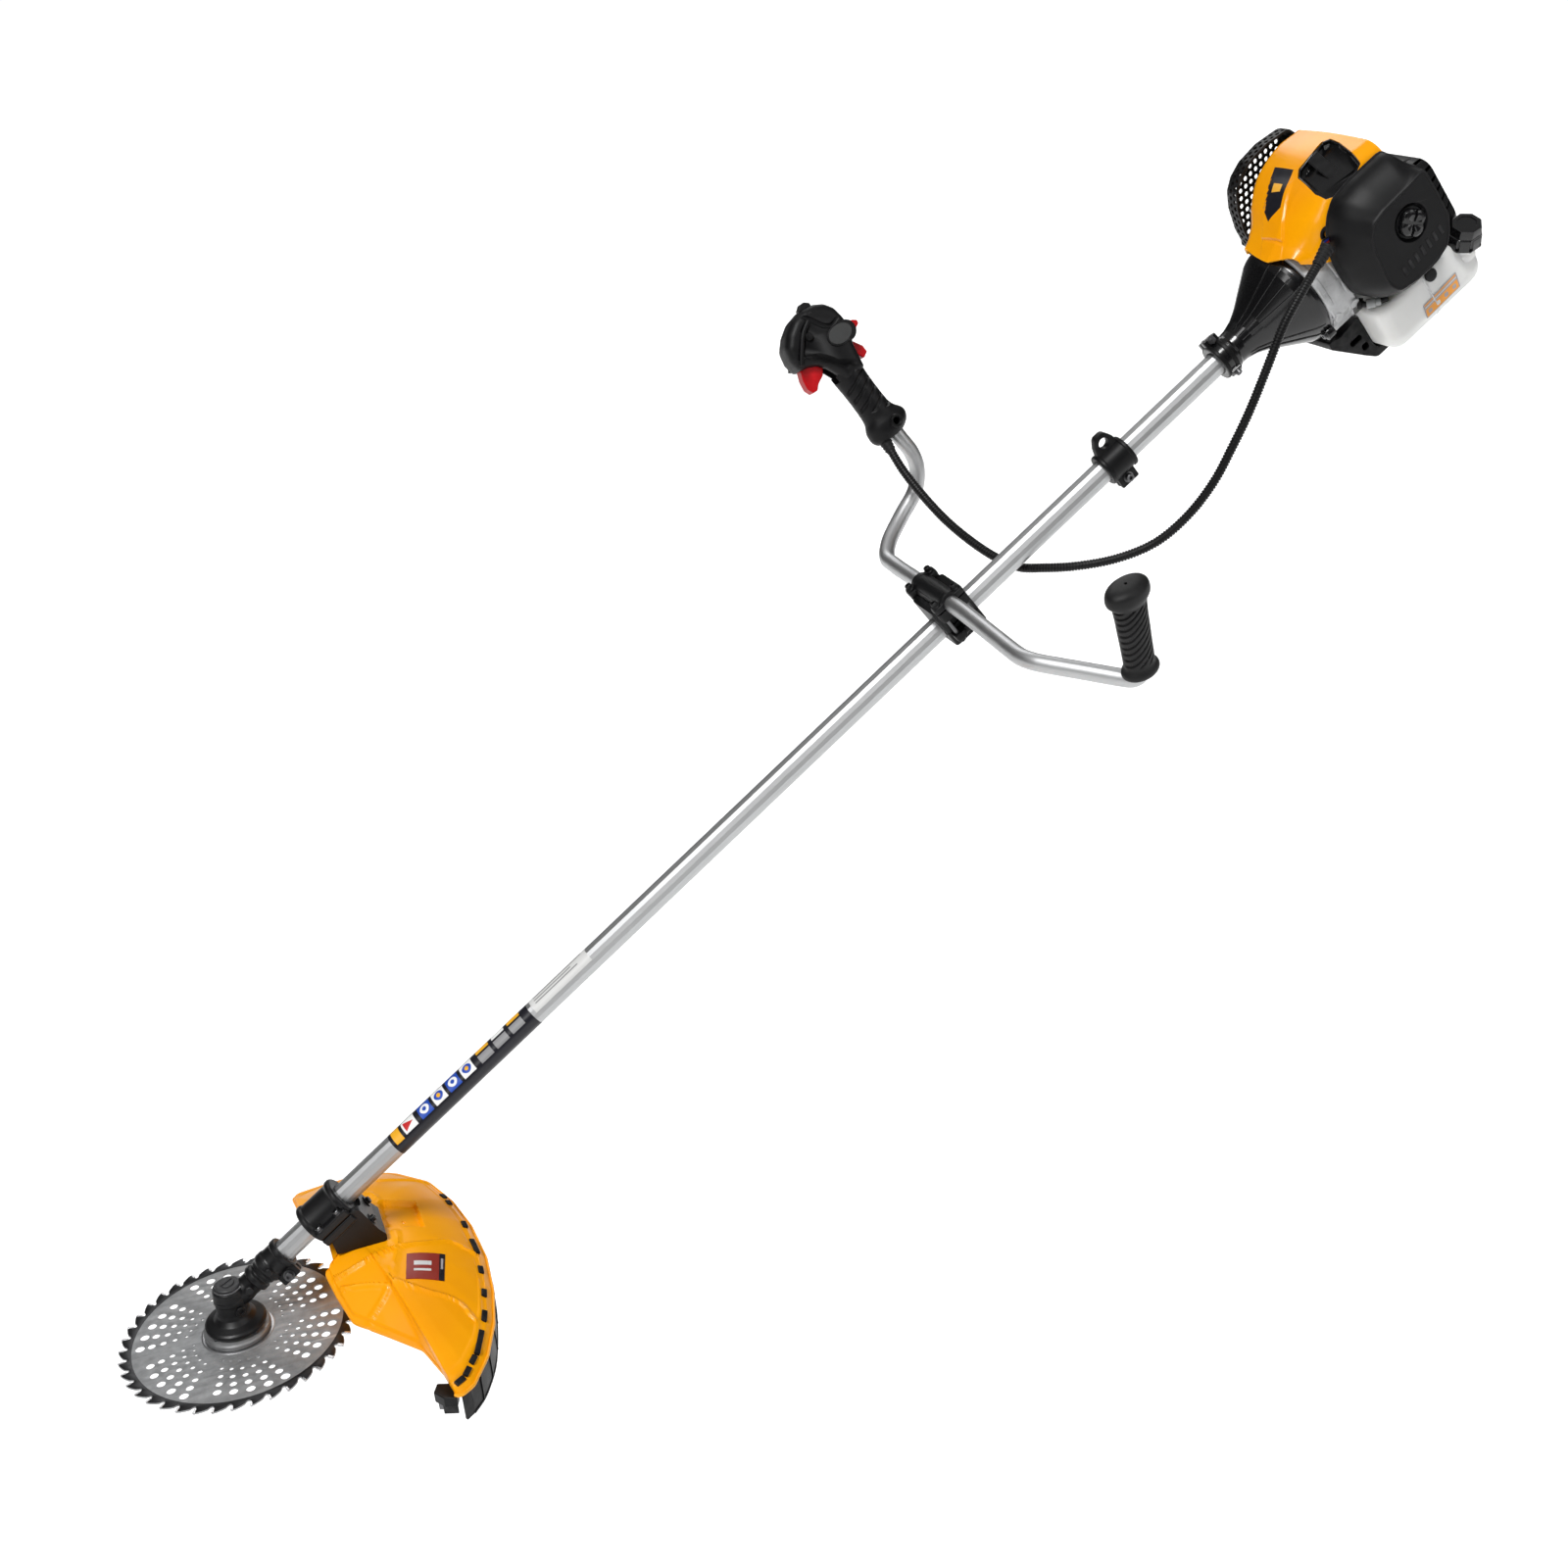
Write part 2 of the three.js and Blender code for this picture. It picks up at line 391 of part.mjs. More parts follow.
// Throttle handle, in its own frame: +z up the grip, +x towards the trigger side.
const handle = frameOf(HANDLE_BASE, HANDLE_DIR, V(-1, 0, 0));
{
  const side = [[14, 68], [20, 82], [24, 91], [31, 100], [41, 105.5], [52, 108], [54, 122], [50, 137], [38, 148], [24, 156], [7, 159], [-8, 156], [-19, 149], [-26, 139], [-28, 124], [-26, 106], [-19, 95], [-13, 68]];
  const at = (y, k) => side.map(([x, z]) => [12 + (x - 12) * k, y, 118 + (z - 118) * k]);
  const head = loft([at(-20, 0.74), at(-17, 0.92), at(-12.5, 1), at(12.5, 1), at(17, 0.92), at(20, 0.74)], 0, 2);
  const girth = (z, cx, rx, ry) => Array.from({ length: 24 }, (_, i) => [cx + rx * Math.cos(2 * Math.PI * i / 24), ry * Math.sin(2 * Math.PI * i / 24), z]);
  const grip = loft([girth(-15, 7, 18, 15), girth(-10, 5, 24, 19), girth(3, 3, 26.5, 20.5), girth(12, 3.5, 21, 18.5), girth(22, 4, 18.6, 17.4), girth(44, 4, 18, 17), girth(62, 4, 18.6, 17.4), girth(76, 4, 19, 17.4)], 0, 1);
  const boss = cylY(7, -22, -6, -12, -2, 16);
  const bulge = cylY(12, -21.5, 21.5, -19, 111, 20);
  const all = solid(join(head, grip)).add(solid(boss)).add(solid(bulge));
  const bore = solid(cylZ(BAR_R + 0.7, -20, 67, 0, 0, 20));
  const room = solid(box(14, 70, -8.6, 8.6, 70, 124))           // trigger's slot
    .add(solid(box(-44, -9, -5.6, 5.6, 66, 104)))                // lockout lever's slot
    .add(solid(cylX(4.7, -60, -20, 0, 112, 14)))                 // stop switch's well
    .add(solid(cylY(5.2, 11, 40, 22, 132, 14)))                  // half-throttle button's well
    .add(solid(cylY(4, -40, -12, -12, -2, 12)))                  // screw well at the foot
    .add(solid(box(-12, 30, -12.5, 12.5, 112, 138))).add(solid(box(-12, 14, -12.5, 12.5, 92, 138)));
  const shell = all.subtract(bore).subtract(room);
  const halfA = shell.subtract(solid(box(-80, 80, -0.15, 60, -40, 200)));
  const halfB = shell.subtract(solid(box(-80, 80, -60, 0.15, -40, 200)));
  put(handle, 'throttle_housing_left', toGeometry(halfA), COLOURS.black());
  put(handle, 'throttle_housing_right', toGeometry(halfB), COLOURS.black());
  // trigger pivots about a pin along y at its upper end
  put(handle, 'throttle_trigger', cut(slabY([[24, 112], [30, 116], [38, 114], [49, 108], [55, 96], [56, 87], [52, 80], [46, 79], [38, 85], [31, 92], [25, 101]], -8, 8), cylY(1.6, -12, 12, 31, 110, 10)), COLOURS.red());
  put(handle, 'lockout_lever', cut(slabY([[-13, 97], [-16, 101], [-22, 99], [-30, 85], [-30, 77], [-22, 73], [-19, 80], [-17.5, 90]], -5, 5), cylY(1.4, -12, 12, -17, 97.5, 10)), COLOURS.red());
  put(handle, 'stop_switch', join(cylX(4.2, -38, -24, 0, 112, 14), box(-40, -35, -3.4, 3.4, 105, 115)), COLOURS.red());
  put(handle, 'half_throttle_button', cylY(4.6, 14.5, 23.5, 22, 132, 14), COLOURS.black());
}

// ------------------------------------------------------------------ control cable and its two strain reliefs
const CABLE_SHAFT_POINTS = [[1171.5, 183.5, 103.5], [1166, 168, 86], [1161, 142, 61], [1157.5, 104, 33.5], [1159, 62, 9], [1164, 32, -8], [1172, 8, -20], [1187, -15, -27], [1211, -40, -38.5],
  [1247, -62, -54], [1287, -78, -63], [1329, -90, -58.5], [1370, -98, -45], [1406, -101, -27.5], [1441, -103, -9], [1482, -102, 14], [1523, -99, 36], [1560, -94, 47], [1590, -86.5, 52.5]];
const cablePoints = CABLE_SHAFT_POINTS.map(([x, y, z]) => onShaft(x, y, z));
put(machine, 'control_cable', tube(cablePoints, CABLE_R, 8, 32), COLOURS.rubber());
{
  const cone = (from, to, r0, r1) => {
    const d = to.clone().sub(from), len = d.length();
    const g = new THREE.CylinderGeometry(r1, r0, len, 12);
    g.applyQuaternion(new THREE.Quaternion().setFromUnitVectors(V(0, 1, 0), d.normalize()));
    return g.translate((from.x + to.x) / 2, (from.y + to.y) / 2, (from.z + to.z) / 2);
  };
  const a = cablePoints[0], dirA = a.clone().sub(cablePoints[1]).normalize();
  put(machine, 'handle_cable_gland', cone(a.clone().addScaledVector(dirA, 0.4), a.clone().addScaledVector(dirA, 10.5), 5.6, 7), COLOURS.rubber());
  const n = cablePoints.length, b = cablePoints[n - 1], dirB = b.clone().sub(cablePoints[n - 2]).normalize();
  put(machine, 'engine_cable_gland', cone(b.clone().addScaledVector(dirB, 0.4), b.clone().addScaledVector(dirB, 24), 5.6, 8), COLOURS.rubber());
}

// ------------------------------------------------------------------ harness clamp
{
  const g = join(cylX(19, EYE_AT - 18, EYE_AT + 18, 0, 0, 28), slabY([[EYE_AT - 16, 12], [EYE_AT - 12, 28], [EYE_AT - 6, 38], [EYE_AT + 6, 38], [EYE_AT + 12, 28], [EYE_AT + 16, 12]], -5, 5), box(EYE_AT - 12, EYE_AT + 12, -7, 7, -31, -12));
  put(shaft, 'harness_clamp', cut(g, cylX(13.3, EYE_AT - 30, EYE_AT + 30, 0, 0, 28), cylY(6, -20, 20, EYE_AT, EYE_Z, 20), box(EYE_AT - 30, EYE_AT + 30, -1, 1, -40, -10)), COLOURS.black());
}

// ------------------------------------------------------------------ clutch housing, clutch, fan
put(engine, 'clutch_housing', join(
  lathe([[13.35, -8], [17, -8], [18, 14], [26, 40], [38, 60], [57, 90], [59.5, 104], [55, 104], [52, 90], [37, 65], [13.35, 62], [13.35, -8]], 32, 'x'),
  cut(box(-7, 11, -8, 8, 14, 25), cylX(15, -20, 40, 0, 0, 20))), COLOURS.black());
put(engine, 'clutch_drum', lathe([[4.4, 66.6], [9, 66.6], [9, 73], [35.5, 73], [35.5, 96], [33, 96], [33, 75.5], [4.4, 75.5], [4.4, 66.6]], 28, 'x'), COLOURS.steel());
put(engine, 'clutch_shoes', cut(join(slabX([[-32, -8], [-30.5, -12], [-20, -25], [0, -32], [20, -25], [24, -19], [9, -8], [8, 8], [32, 8], [30.5, 12], [20, 25], [0, 32], [-20, 25], [-24, 19], [-9, 8], [-8, -8]].map(([y, z]) => [y * 0.98, z * 0.98]), 79, 93)), cylX(6.3, 70, 100, 0, 0, 18)), COLOURS.steel());
{
  let m = solid(ring(7.3, 46, 108, 112, 36, 'x')).add(solid(ring(7.3, 20, 108, 132, 24, 'x')));
  for (let i = 0; i < 6; i++) {
    const a = 2 * Math.PI * i / 6;
    m = m.add(solid(box(110, 130, -1.2, 1.2, 19, 45).applyMatrix4(new THREE.Matrix4().makeRotationX(a))));
  }
  put(engine, 'flywheel_fan', toGeometry(m), COLOURS.cast());
}
put(engine, 'fan_housing', cut(join(lathe([[34, 104.4], [58, 104.4], [60, 106.5], [60, 136], [56, 140.6], [18, 140.6], [18, 137], [50, 135], [50, 107.2], [34, 107.2], [34, 104.4]], 32, 'x'),
  cut(box(106, 139, -58, -20, -52, 10), cylX(55, 100, 150, 0, 0, 32)), cut(box(106, 139, 20, 58, -52, 10), cylX(55, 100, 150, 0, 0, 32)))), COLOURS.cast());

// ------------------------------------------------------------------ engine block, crank, piston
put(engine, 'crankcase', cut(join(box(141, 205, -34, 34, -36, 38), cylX(38, 141, 205, 0, 0, 32)), box(140, 206, -60, 60, 38, 60),
  cylX(27, 150, 188, 0, 0, 28), cylZ(17.6, 10, 60, 169, 0, 24), cylX(8.3, 130, 151, 0, 0, 20), cylX(12, 187, 210, 0, 0, 20), box(151, 187, -17.5, 17.5, 10, 60)), COLOURS.cast());
put(engine, 'crankshaft', cut(join(cylX(6, 77.6, 104, 0, 0, 18), cylX(7, 102, 136, 0, 0, 18), cylX(8, 134, 154, 0, 0, 20), slabX([...Array.from({ length: 11 }, (_, i) => [21 * Math.cos(Math.PI + Math.PI * i / 10), 21 * Math.sin(Math.PI + Math.PI * i / 10)]), [10, 15], [6, 20.6], [-6, 20.6], [-10, 15]], 152.5, 160.5), cylX(5, 160, 164, 0, CRANK_THROW, 16)), cylX(1.5, 76, 86, 0, 0, 8)), COLOURS.steel());
put(engine, 'connecting_rod', cut(join(cylX(9, 164.4, 173.6, 0, CRANK_THROW, 20), cylX(7.4, 164.4, 173.6, 0, CRANK_THROW + ROD_LENGTH, 18), box(166, 172, -4, 4, CRANK_THROW + 5, CRANK_THROW + ROD_LENGTH - 4)),
  cylX(5.6, 160, 180, 0, CRANK_THROW, 18), cylX(4.4, 160, 180, 0, CRANK_THROW + ROD_LENGTH, 16)), COLOURS.steel());
{
  const p = CRANK_THROW + ROD_LENGTH;
  const cup = cut(cylZ(17.3, p - 9, p + 14, 169, 0, 28), cylZ(14.2, p - 20, p + 10, 169, 0, 24));
  put(engine, 'piston', join(cup, cylX(4, 169 - 15.6, 169 + 15.6, 0, p, 14)), COLOURS.steel());
}
{
  let m = solid(cylZ(23, 38.4, 84, 169, 0, 28));
  for (let i = 0; i < 4; i++) m = m.add(solid(box(142.5, 200, -33, 33, 45 + i * 11, 48 + i * 11)));
  m = m.add(solid(box(160, 178, 20, 40, 50, 66))).add(solid(box(160, 178, -38, -20, 50, 66)));
  m = m.subtract(solid(cylZ(17.6, 30, 77.5, 169, 0, 28))).subtract(solid(cylZ(6.2, 70, 90, 169, 0, 16)));
  m = m.subtract(solid(box(165, 173, 10, 50, 53, 62))).subtract(solid(box(165, 173, -50, -10, 53, 62)));
  put(engine, 'cylinder', toGeometry(m), COLOURS.cast());
}
put(engine, 'spark_plug', lathe([[0, 78], [3, 78], [5.9, 79.5], [5.9, 84.2], [9.5, 84.5], [9.5, 88], [5, 88.2], [5, 92.5], [0, 92.5]].map(([r, z]) => [r, z]), 16, 'z').translate(169, 0, 0), COLOURS.ceramic());
put(engine, 'muffler', join(box(143, 199, 42.5, 72, 24, 70), cylY(8, 40.4, 50, 169, 58, 16)), COLOURS.steel());
// muffler guard: an open-backed shell outside the muffler
{
  const o = (y, i) => [[126 + i, y, 6 + i], [243 - i, y, 6 + i], [244 - i, y, 60], [236 - i, y, 94 - i], [160, y, 95 - i], [140 + i, y, 84 - i]];
  const out = loft([o(89.6, 0), o(104, 0), o(116, 9), o(119, 16)].map((r) => r), 0, 2);
  const inn = loft([o(88, 3), o(103, 3), o(113.5, 11.5), o(116, 18)], 0, 2);
  put(engine, 'muffler_guard', cut(out, inn), COLOURS.black());
}

// ------------------------------------------------------------------ intake side
put(engine, 'carburettor', cut(join(box(153, 187, -62, -38.4, 46, 72), box(148, 192, -41, -38.4, 44, 74)), cylY(8, -70, -30, 169, 58, 18)), COLOURS.cast());
{
  const base = [[236, 88], [160, 88], [147, 70], [130, 34], [133, -8], [160, -42], [214, -46], [243, -24], [253, 16], [248, 62]];
  const face = [[240, 64], [176, 62], [160, 48], [147, 16], [148, -10], [162, -27], [206, -31], [231, -24], [246, -2], [248, 40]];
  const ringAt = (y, k, inset) => base.map(([x, z], i) => {
    const X = x + (face[i][0] - x) * k, Z = z + (face[i][1] - z) * k, dx = 195 - X, dz = 18 - Z, d = Math.hypot(dx, dz);
    return [X + dx / d * inset, y, Z + dz / d * inset];
  });
  const out = loft([ringAt(-67, 0, 0), ringAt(-92, 0.12, 0), ringAt(-105, 0.6, 0), ringAt(-111, 1, 0)], 0, 2);
  const inn = loft([ringAt(-60, 0, 3), ringAt(-91, 0.12, 3), ringAt(-103, 0.6, 3), ringAt(-108, 1, 3)], 0, 2);
  put(engine, 'air_filter_cover', cut(out, inn, cylY(5.4, -120, -100, 205, 26, 16)), COLOURS.black());
  put(engine, 'air_filter_element', cut(box(158, 190, -94, -66, -14, 48), box(164, 184, -90, -60, 20, 42)), COLOURS.foam());
  put(engine, 'filter_cover_knob', join(cylY(16, -121, -111.4, 205, 26, 24, 17.5), cylY(5, -112, -72, 205, 26, 14)), COLOURS.black());
}

// ------------------------------------------------------------------ recoil starter at the rear
put(engine, 'starter_housing', cut(join(lathe([[0, 284], [46, 284], [58, 279], [64, 268], [64, 208], [61, 208], [61, 266], [55.5, 276], [45, 281], [6, 281], [6, 234], [0, 234]], 32, 'x'),
  box(252, 272, 56, 70, -8, 8)), cylY(3.5, 50, 80, 262, 0, 12)), COLOURS.black());
put(engine, 'starter_pulley', lathe([[6.3, 252], [32, 252], [32, 255], [27, 257], [27, 267], [32, 269], [32, 272], [6.3, 272], [6.3, 252]], 28, 'x'), COLOURS.black());
put(engine, 'starter_handle', join(box(256, 268, 70.6, 80, -22, 22), cylY(5, 70.5, 84, 262, 0, 14)), COLOURS.black());

// ------------------------------------------------------------------ tank, cap, foot, covers
{
  const shape = (i) => loft([[141 + i, 14], [149 + i, 0], [266 - i, 0], [275 - i, 12]].map(([x, s]) => {
    const y = 77 - s - i, zt = -50 - s * 0.5 - i, zb = -108 + s * 0.7 + i;
    return [[x, -y + 16, zb], [x, y - 16, zb], [x, y - 5, zb + 8], [x, y, zb + 22], [x, y, zt - 10], [x, y - 9, zt], [x, -y + 9, zt], [x, -y, zt - 10], [x, -y, zb + 22], [x, -y + 5, zb + 8]];
  }), 1, 2);
  const cradle = (r) => cylX(r, 120, 300, 0, 0, 36);
  const neckAt = V(259, -66, -58), neckDir = V(0, -0.56, 0.83).normalize();
  const neckPiece = (r, a, b) => {
    const g = new THREE.CylinderGeometry(r, r, b - a, 18);
    g.translate(0, (a + b) / 2, 0).applyQuaternion(new THREE.Quaternion().setFromUnitVectors(V(0, 1, 0), neckDir));
    return g.translate(neckAt.x, neckAt.y, neckAt.z);
  };
  const cleaner = cut(shape(0), cradle(66));
  const hollow = cut(shape(2.2), cradle(68.4));
  put(engine, 'fuel_tank', cut(join(cleaner, neckPiece(13, -6, 10)), hollow, neckPiece(10.5, -12, 14)), COLOURS.tank());
  put(engine, 'fuel_cap', join(neckPiece(17, 10.4, 26), neckPiece(9.8, 0, 11), neckPiece(14.5, 25, 33)), COLOURS.black());
}
put(engine, 'engine_foot', cut(slabY([[98, -65], [112, -68], [139.5, -66], [139.5, -104], [140, -110.5], [168, -110.5], [168, -118], [136, -118], [128, -104], [96, -70]], -32, 32),
  slabY([[108, -73], [136, -72], [136, -106], [132, -104]], -28.5, 28.5), slabY(roundedRect(118, 133, -86, -79, 3.2), -40, 40), slabY(roundedRect(127, 134, -100, -92, 3), -40, 40), cylX(64, 90, 145, 0, 0, 36)), COLOURS.black());
{
  const sec = (x, wl, wr, zb, zt, r, t) => {
    const L = -wl, R = wr;
    return [[x, L, zb], [x, L, zt - r], [x, L + r * 0.3, zt - r * 0.3], [x, L + r, zt], [x, R - r, zt], [x, R - r * 0.3, zt - r * 0.3], [x, R, zt - r], [x, R, zb],
      [x, R - t, zb], [x, R - t, zt - r], [x, R - r * 0.3 - t * 0.8, zt - r * 0.3 - t * 0.8], [x, R - r, zt - t], [x, L + r, zt - t], [x, L + r * 0.3 + t * 0.8, zt - r * 0.3 - t * 0.8], [x, L + t, zt - r], [x, L + t, zb]];
  };
  const T = 2.6;
  put(engine, 'top_cover', loft([sec(105.5, 57, 58, 34, 64, 30, T), sec(112, 60, 62, 30, 69, 30, T), sec(128, 64.5, 74, 24, 81, 24, T), sec(156, 65.5, 86, 22, 94, 18, T), sec(200, 65.5, 88, 30, 102, 18, T), sec(238, 65.5, 88, 66, 99, 18, T)], 1, 2), COLOURS.yellow());
}

export default root;
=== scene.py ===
"""Looks of the brush cutter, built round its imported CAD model. Lengths are in millimetres in each piece's own
frame and become metres in the row frame when the mesh is made."""
import json
import math

import bmesh
import bpy
import numpy as np
from mathutils import Matrix, Vector

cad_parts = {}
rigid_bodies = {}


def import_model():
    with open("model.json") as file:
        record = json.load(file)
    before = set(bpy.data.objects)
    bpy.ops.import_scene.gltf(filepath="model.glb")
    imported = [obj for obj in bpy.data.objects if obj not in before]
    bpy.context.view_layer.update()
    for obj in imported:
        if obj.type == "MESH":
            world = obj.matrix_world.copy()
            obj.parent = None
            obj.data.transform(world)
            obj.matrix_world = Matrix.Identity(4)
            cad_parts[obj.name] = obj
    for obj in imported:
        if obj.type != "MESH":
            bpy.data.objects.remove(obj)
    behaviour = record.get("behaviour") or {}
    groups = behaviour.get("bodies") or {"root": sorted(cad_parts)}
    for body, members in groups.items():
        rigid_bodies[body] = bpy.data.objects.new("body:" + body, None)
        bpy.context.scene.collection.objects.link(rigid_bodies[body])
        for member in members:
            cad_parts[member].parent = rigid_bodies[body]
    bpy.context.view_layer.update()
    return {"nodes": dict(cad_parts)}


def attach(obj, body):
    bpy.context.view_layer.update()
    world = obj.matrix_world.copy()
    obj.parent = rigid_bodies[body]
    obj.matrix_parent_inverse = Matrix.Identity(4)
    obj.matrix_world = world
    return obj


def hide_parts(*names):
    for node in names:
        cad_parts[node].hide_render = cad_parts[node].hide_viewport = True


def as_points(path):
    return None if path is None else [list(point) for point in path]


for o in list(bpy.data.objects):
    bpy.data.objects.remove(o)
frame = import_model()
NODES = frame["nodes"]
pi, tau = math.pi, 2 * math.pi

# ------------------------------------------------------------------ frames
TILT = math.radians(34.67)
C, S = math.cos(TILT), math.sin(TILT)
MM = 0.001


def on_shaft(x, y, z):
    return Vector((x * C - z * S, y, x * S + z * C))


EYE = on_shaft(1324, 0, 27)
TO_M = Matrix.Diagonal((MM, MM, MM, 1))
HEAD = TO_M @ Matrix.Translation(-EYE)  # +Z up along the spindle
SHAFT = HEAD @ Matrix.Rotation(-TILT, 4, "Y")  # +X along the shaft
ENGINE = SHAFT @ Matrix.Translation((1484, 0, 0))
BAR = HEAD @ Matrix.Translation(on_shaft(1082, 0, 33))


def axes(o, x, y, z):
    m = Matrix.Identity(4)
    for i, v in enumerate((x, y, z)):
        for r in range(3):
            m[r][i] = v[r]
    for r in range(3):
        m[r][3] = o[r]
    return m


def grip_frame(base, direction):
    z = Vector(direction).normalized()
    x = Vector((-1, 0, 0))
    x = (x - z * x.dot(z)).normalized()
    return BAR @ axes(base, x, z.cross(x), z)


GRIP_BASE, GRIP_DIR = Vector((74, -304.1, -1.1)), Vector((-0.2595, -0.18, 0.949)).normalized()
HANDLE_BASE, HANDLE_DIR = Vector((39.4, 202.9, 138)), Vector((-0.4727, 0.3249, 0.8192)).normalized()
GRIP, HANDLE = grip_frame(GRIP_BASE, GRIP_DIR), grip_frame(HANDLE_BASE, HANDLE_DIR)

# ------------------------------------------------------------------ camera
cam = bpy.data.objects.new("camera", bpy.data.cameras.new("camera"))
bpy.context.scene.collection.objects.link(cam)
cam.data.lens, cam.data.sensor_width = 45, 36
cam.data.clip_start, cam.data.clip_end = 0.05, 100
cam.matrix_world = axes(
    (-1.016499, -1.831465, 0.581523),
    (0.93224810, -0.35394901, -0.07505714),
    (0.21325639, 0.36993267, 0.90425192),
    (-0.29229298, -0.85899355, 0.42035092),
)
bpy.context.scene.camera = cam


# ------------------------------------------------------------------ materials
class Nodes:
    """Short names for making shader nodes."""

    def __init__(self, name):
        self.mat = bpy.data.materials.new(name)
        self.mat.use_nodes = True
        self.t = self.mat.node_tree
        self.b = self.t.nodes["Principled BSDF"]

    def new(self, kind, inputs=None, **props):
        n = self.t.nodes.new(kind)
        for k, v in props.items():
            setattr(n, k, v)
        for k, v in (inputs or {}).items():
            if hasattr(v, "is_linked"):
                self.t.links.new(v, n.inputs[k])
            else:
                n.inputs[k].default_value = v
        return n

    def put(self, **kw):
        for k, v in kw.items():
            s = self.b.inputs[k.replace("_", " ")]
            if hasattr(v, "is_linked"):
                self.t.links.new(v, s)
            else:
                s.default_value = v

    def coord(self, scale=(1, 1, 1), kind="Object"):
        c = self.new("ShaderNodeTexCoord")
        m = self.new("ShaderNodeMapping", {"Vector": c.outputs[kind], "Scale": scale})
        return m.outputs[0]

    def noise(self, scale, detail=3, rough=0.5, vec=None, stretch=(1, 1, 1)):
        v = vec or self.coord(stretch)
        return self.new("ShaderNodeTexNoise", {"Vector": v, "Scale": scale, "Detail": detail, "Roughness": rough}).outputs["Fac"]

    def voronoi(self, scale, vec=None, feature="F1", stretch=(1, 1, 1)):
        v = vec or self.coord(stretch)
        return self.new("ShaderNodeTexVoronoi", {"Vector": v, "Scale": scale}, feature=feature).outputs["Distance"]

    def ramp(self, fac, stops):
        r = self.new("ShaderNodeValToRGB", {"Fac": fac})
        e = r.color_ramp.elements
        while len(e) < len(stops):
            e.new(0.5)
        for i, (p, c) in enumerate(stops):
            e[i].position = p
            e[i].color = (*c, 1) if len(c) == 3 else c
        return r.outputs["Color"]

    def to(self, fac, lo, hi, a=0.0, b=1.0):
        return self.new("ShaderNodeMapRange", {"Value": fac, "From Min": a, "From Max": b, "To Min": lo, "To Max": hi}).outputs[0]

    def mix(self, fac, a, b, blend="MIX"):
        m = self.new("ShaderNodeMix", data_type="RGBA", blend_type=blend)
        for s, v in ((m.inputs[0], fac), (m.inputs[6], a), (m.inputs[7], b)):
            if hasattr(v, "is_linked"):
                self.t.links.new(v, s)
            else:
                s.default_value = (*v, 1) if isinstance(v, (tuple, list)) and len(v) == 3 else v
        return m.outputs[2]

    def math(self, op, a, b=0.0):
        m = self.new("ShaderNodeMath", operation=op)
        for s, v in ((m.inputs[0], a), (m.inputs[1], b)):
            if hasattr(v, "is_linked"):
                self.t.links.new(v, s)
            else:
                s.default_value = v
        return m.outputs[0]

    def bump(self, height, strength=0.3, distance=0.0005, normal=None):
        i = {"Height": height, "Strength": strength, "Distance": distance}
        if normal is not None:
            i["Normal"] = normal
        return self.new("ShaderNodeBump", i).outputs[0]

    def edge(self, lo=0.52, hi=0.60):
        """1 on convex edges, 0 on flat parts."""
        g = self.new("ShaderNodeNewGeometry")
        return self.to(g.outputs["Pointiness"], 0, 1, lo, hi)


def plastic(name, color, rough=0.45, grain=900, depth=0.12, spec=0.5, edge_wear_and_highlight=None, vary=0.25, coat=0.0):
    """Moulded plastic: fine spark-eroded grain, slow changes of tone and gloss, and paler edges, partly rubbed wear and
    partly a painted highlight on every convex edge.
    """
    n = Nodes(name)
    slow, fine = n.noise(14, 3), n.noise(grain, 4, 0.6)
    dark = tuple(c * (1 - vary) for c in color)
    col = n.mix(n.to(slow, 0, 1, 0.35, 0.65), color, dark)
    # painted highlight and wear: every convex edge made lighter, more so in rubbed patches
    if edge_wear_and_highlight:
        col = n.mix(n.math("MULTIPLY", n.edge(), n.to(n.noise(120, 4), 0.1, 0.8, 0.35, 0.7)), col, edge_wear_and_highlight)
    r = n.math("ADD", n.to(n.noise(45, 4), -0.05, 0.07), rough)
    n.put(Base_Color=col, Roughness=r, Specular_IOR_Level=spec, Normal=n.bump(fine, depth, 0.0004), Coat_Weight=coat, Coat_Roughness=0.15)
    return n.mat


def rubber(name, color=(0.006, 0.006, 0.0065), rough=0.58):
    n = Nodes(name)
    fine = n.noise(1500, 4, 0.7)
    col = n.mix(n.to(n.noise(20, 4), 0, 1, 0.4, 0.7), color, tuple(c * 1.9 + 0.003 for c in color))
    n.put(Base_Color=col, Roughness=n.to(n.noise(60, 3), rough - 0.06, rough + 0.1), Specular_IOR_Level=0.3, Normal=n.bump(fine, 0.25, 0.0004))
    return n.mat


def metal(name, color, rough=0.3, stretch=(1, 1, 1), scratch=400, depth=0.08, vary=0.15, dirt=0.0, spread=0.08):
    """Metal with brushing along the axis of the smallest stretch."""
    n = Nodes(name)
    vec = n.coord(stretch)
    line = n.noise(scratch, 5, 0.65, vec=vec)
    slow = n.noise(9, 4)
    col = n.mix(n.to(slow, 0, 1, 0.35, 0.7), color, tuple(c * (1 - vary) for c in color))
    if dirt:
        col = n.mix(n.math("MULTIPLY", n.to(n.noise(60, 5, 0.7), 0, 1, 0.5, 0.75), dirt), col, tuple(c * 0.35 for c in color))
    n.put(Base_Color=col, Metallic=1.0, Roughness=n.math("ADD", n.to(line, -spread, spread, 0.3, 0.7), rough), Normal=n.bump(line, depth, 0.0003))
    return n.mat


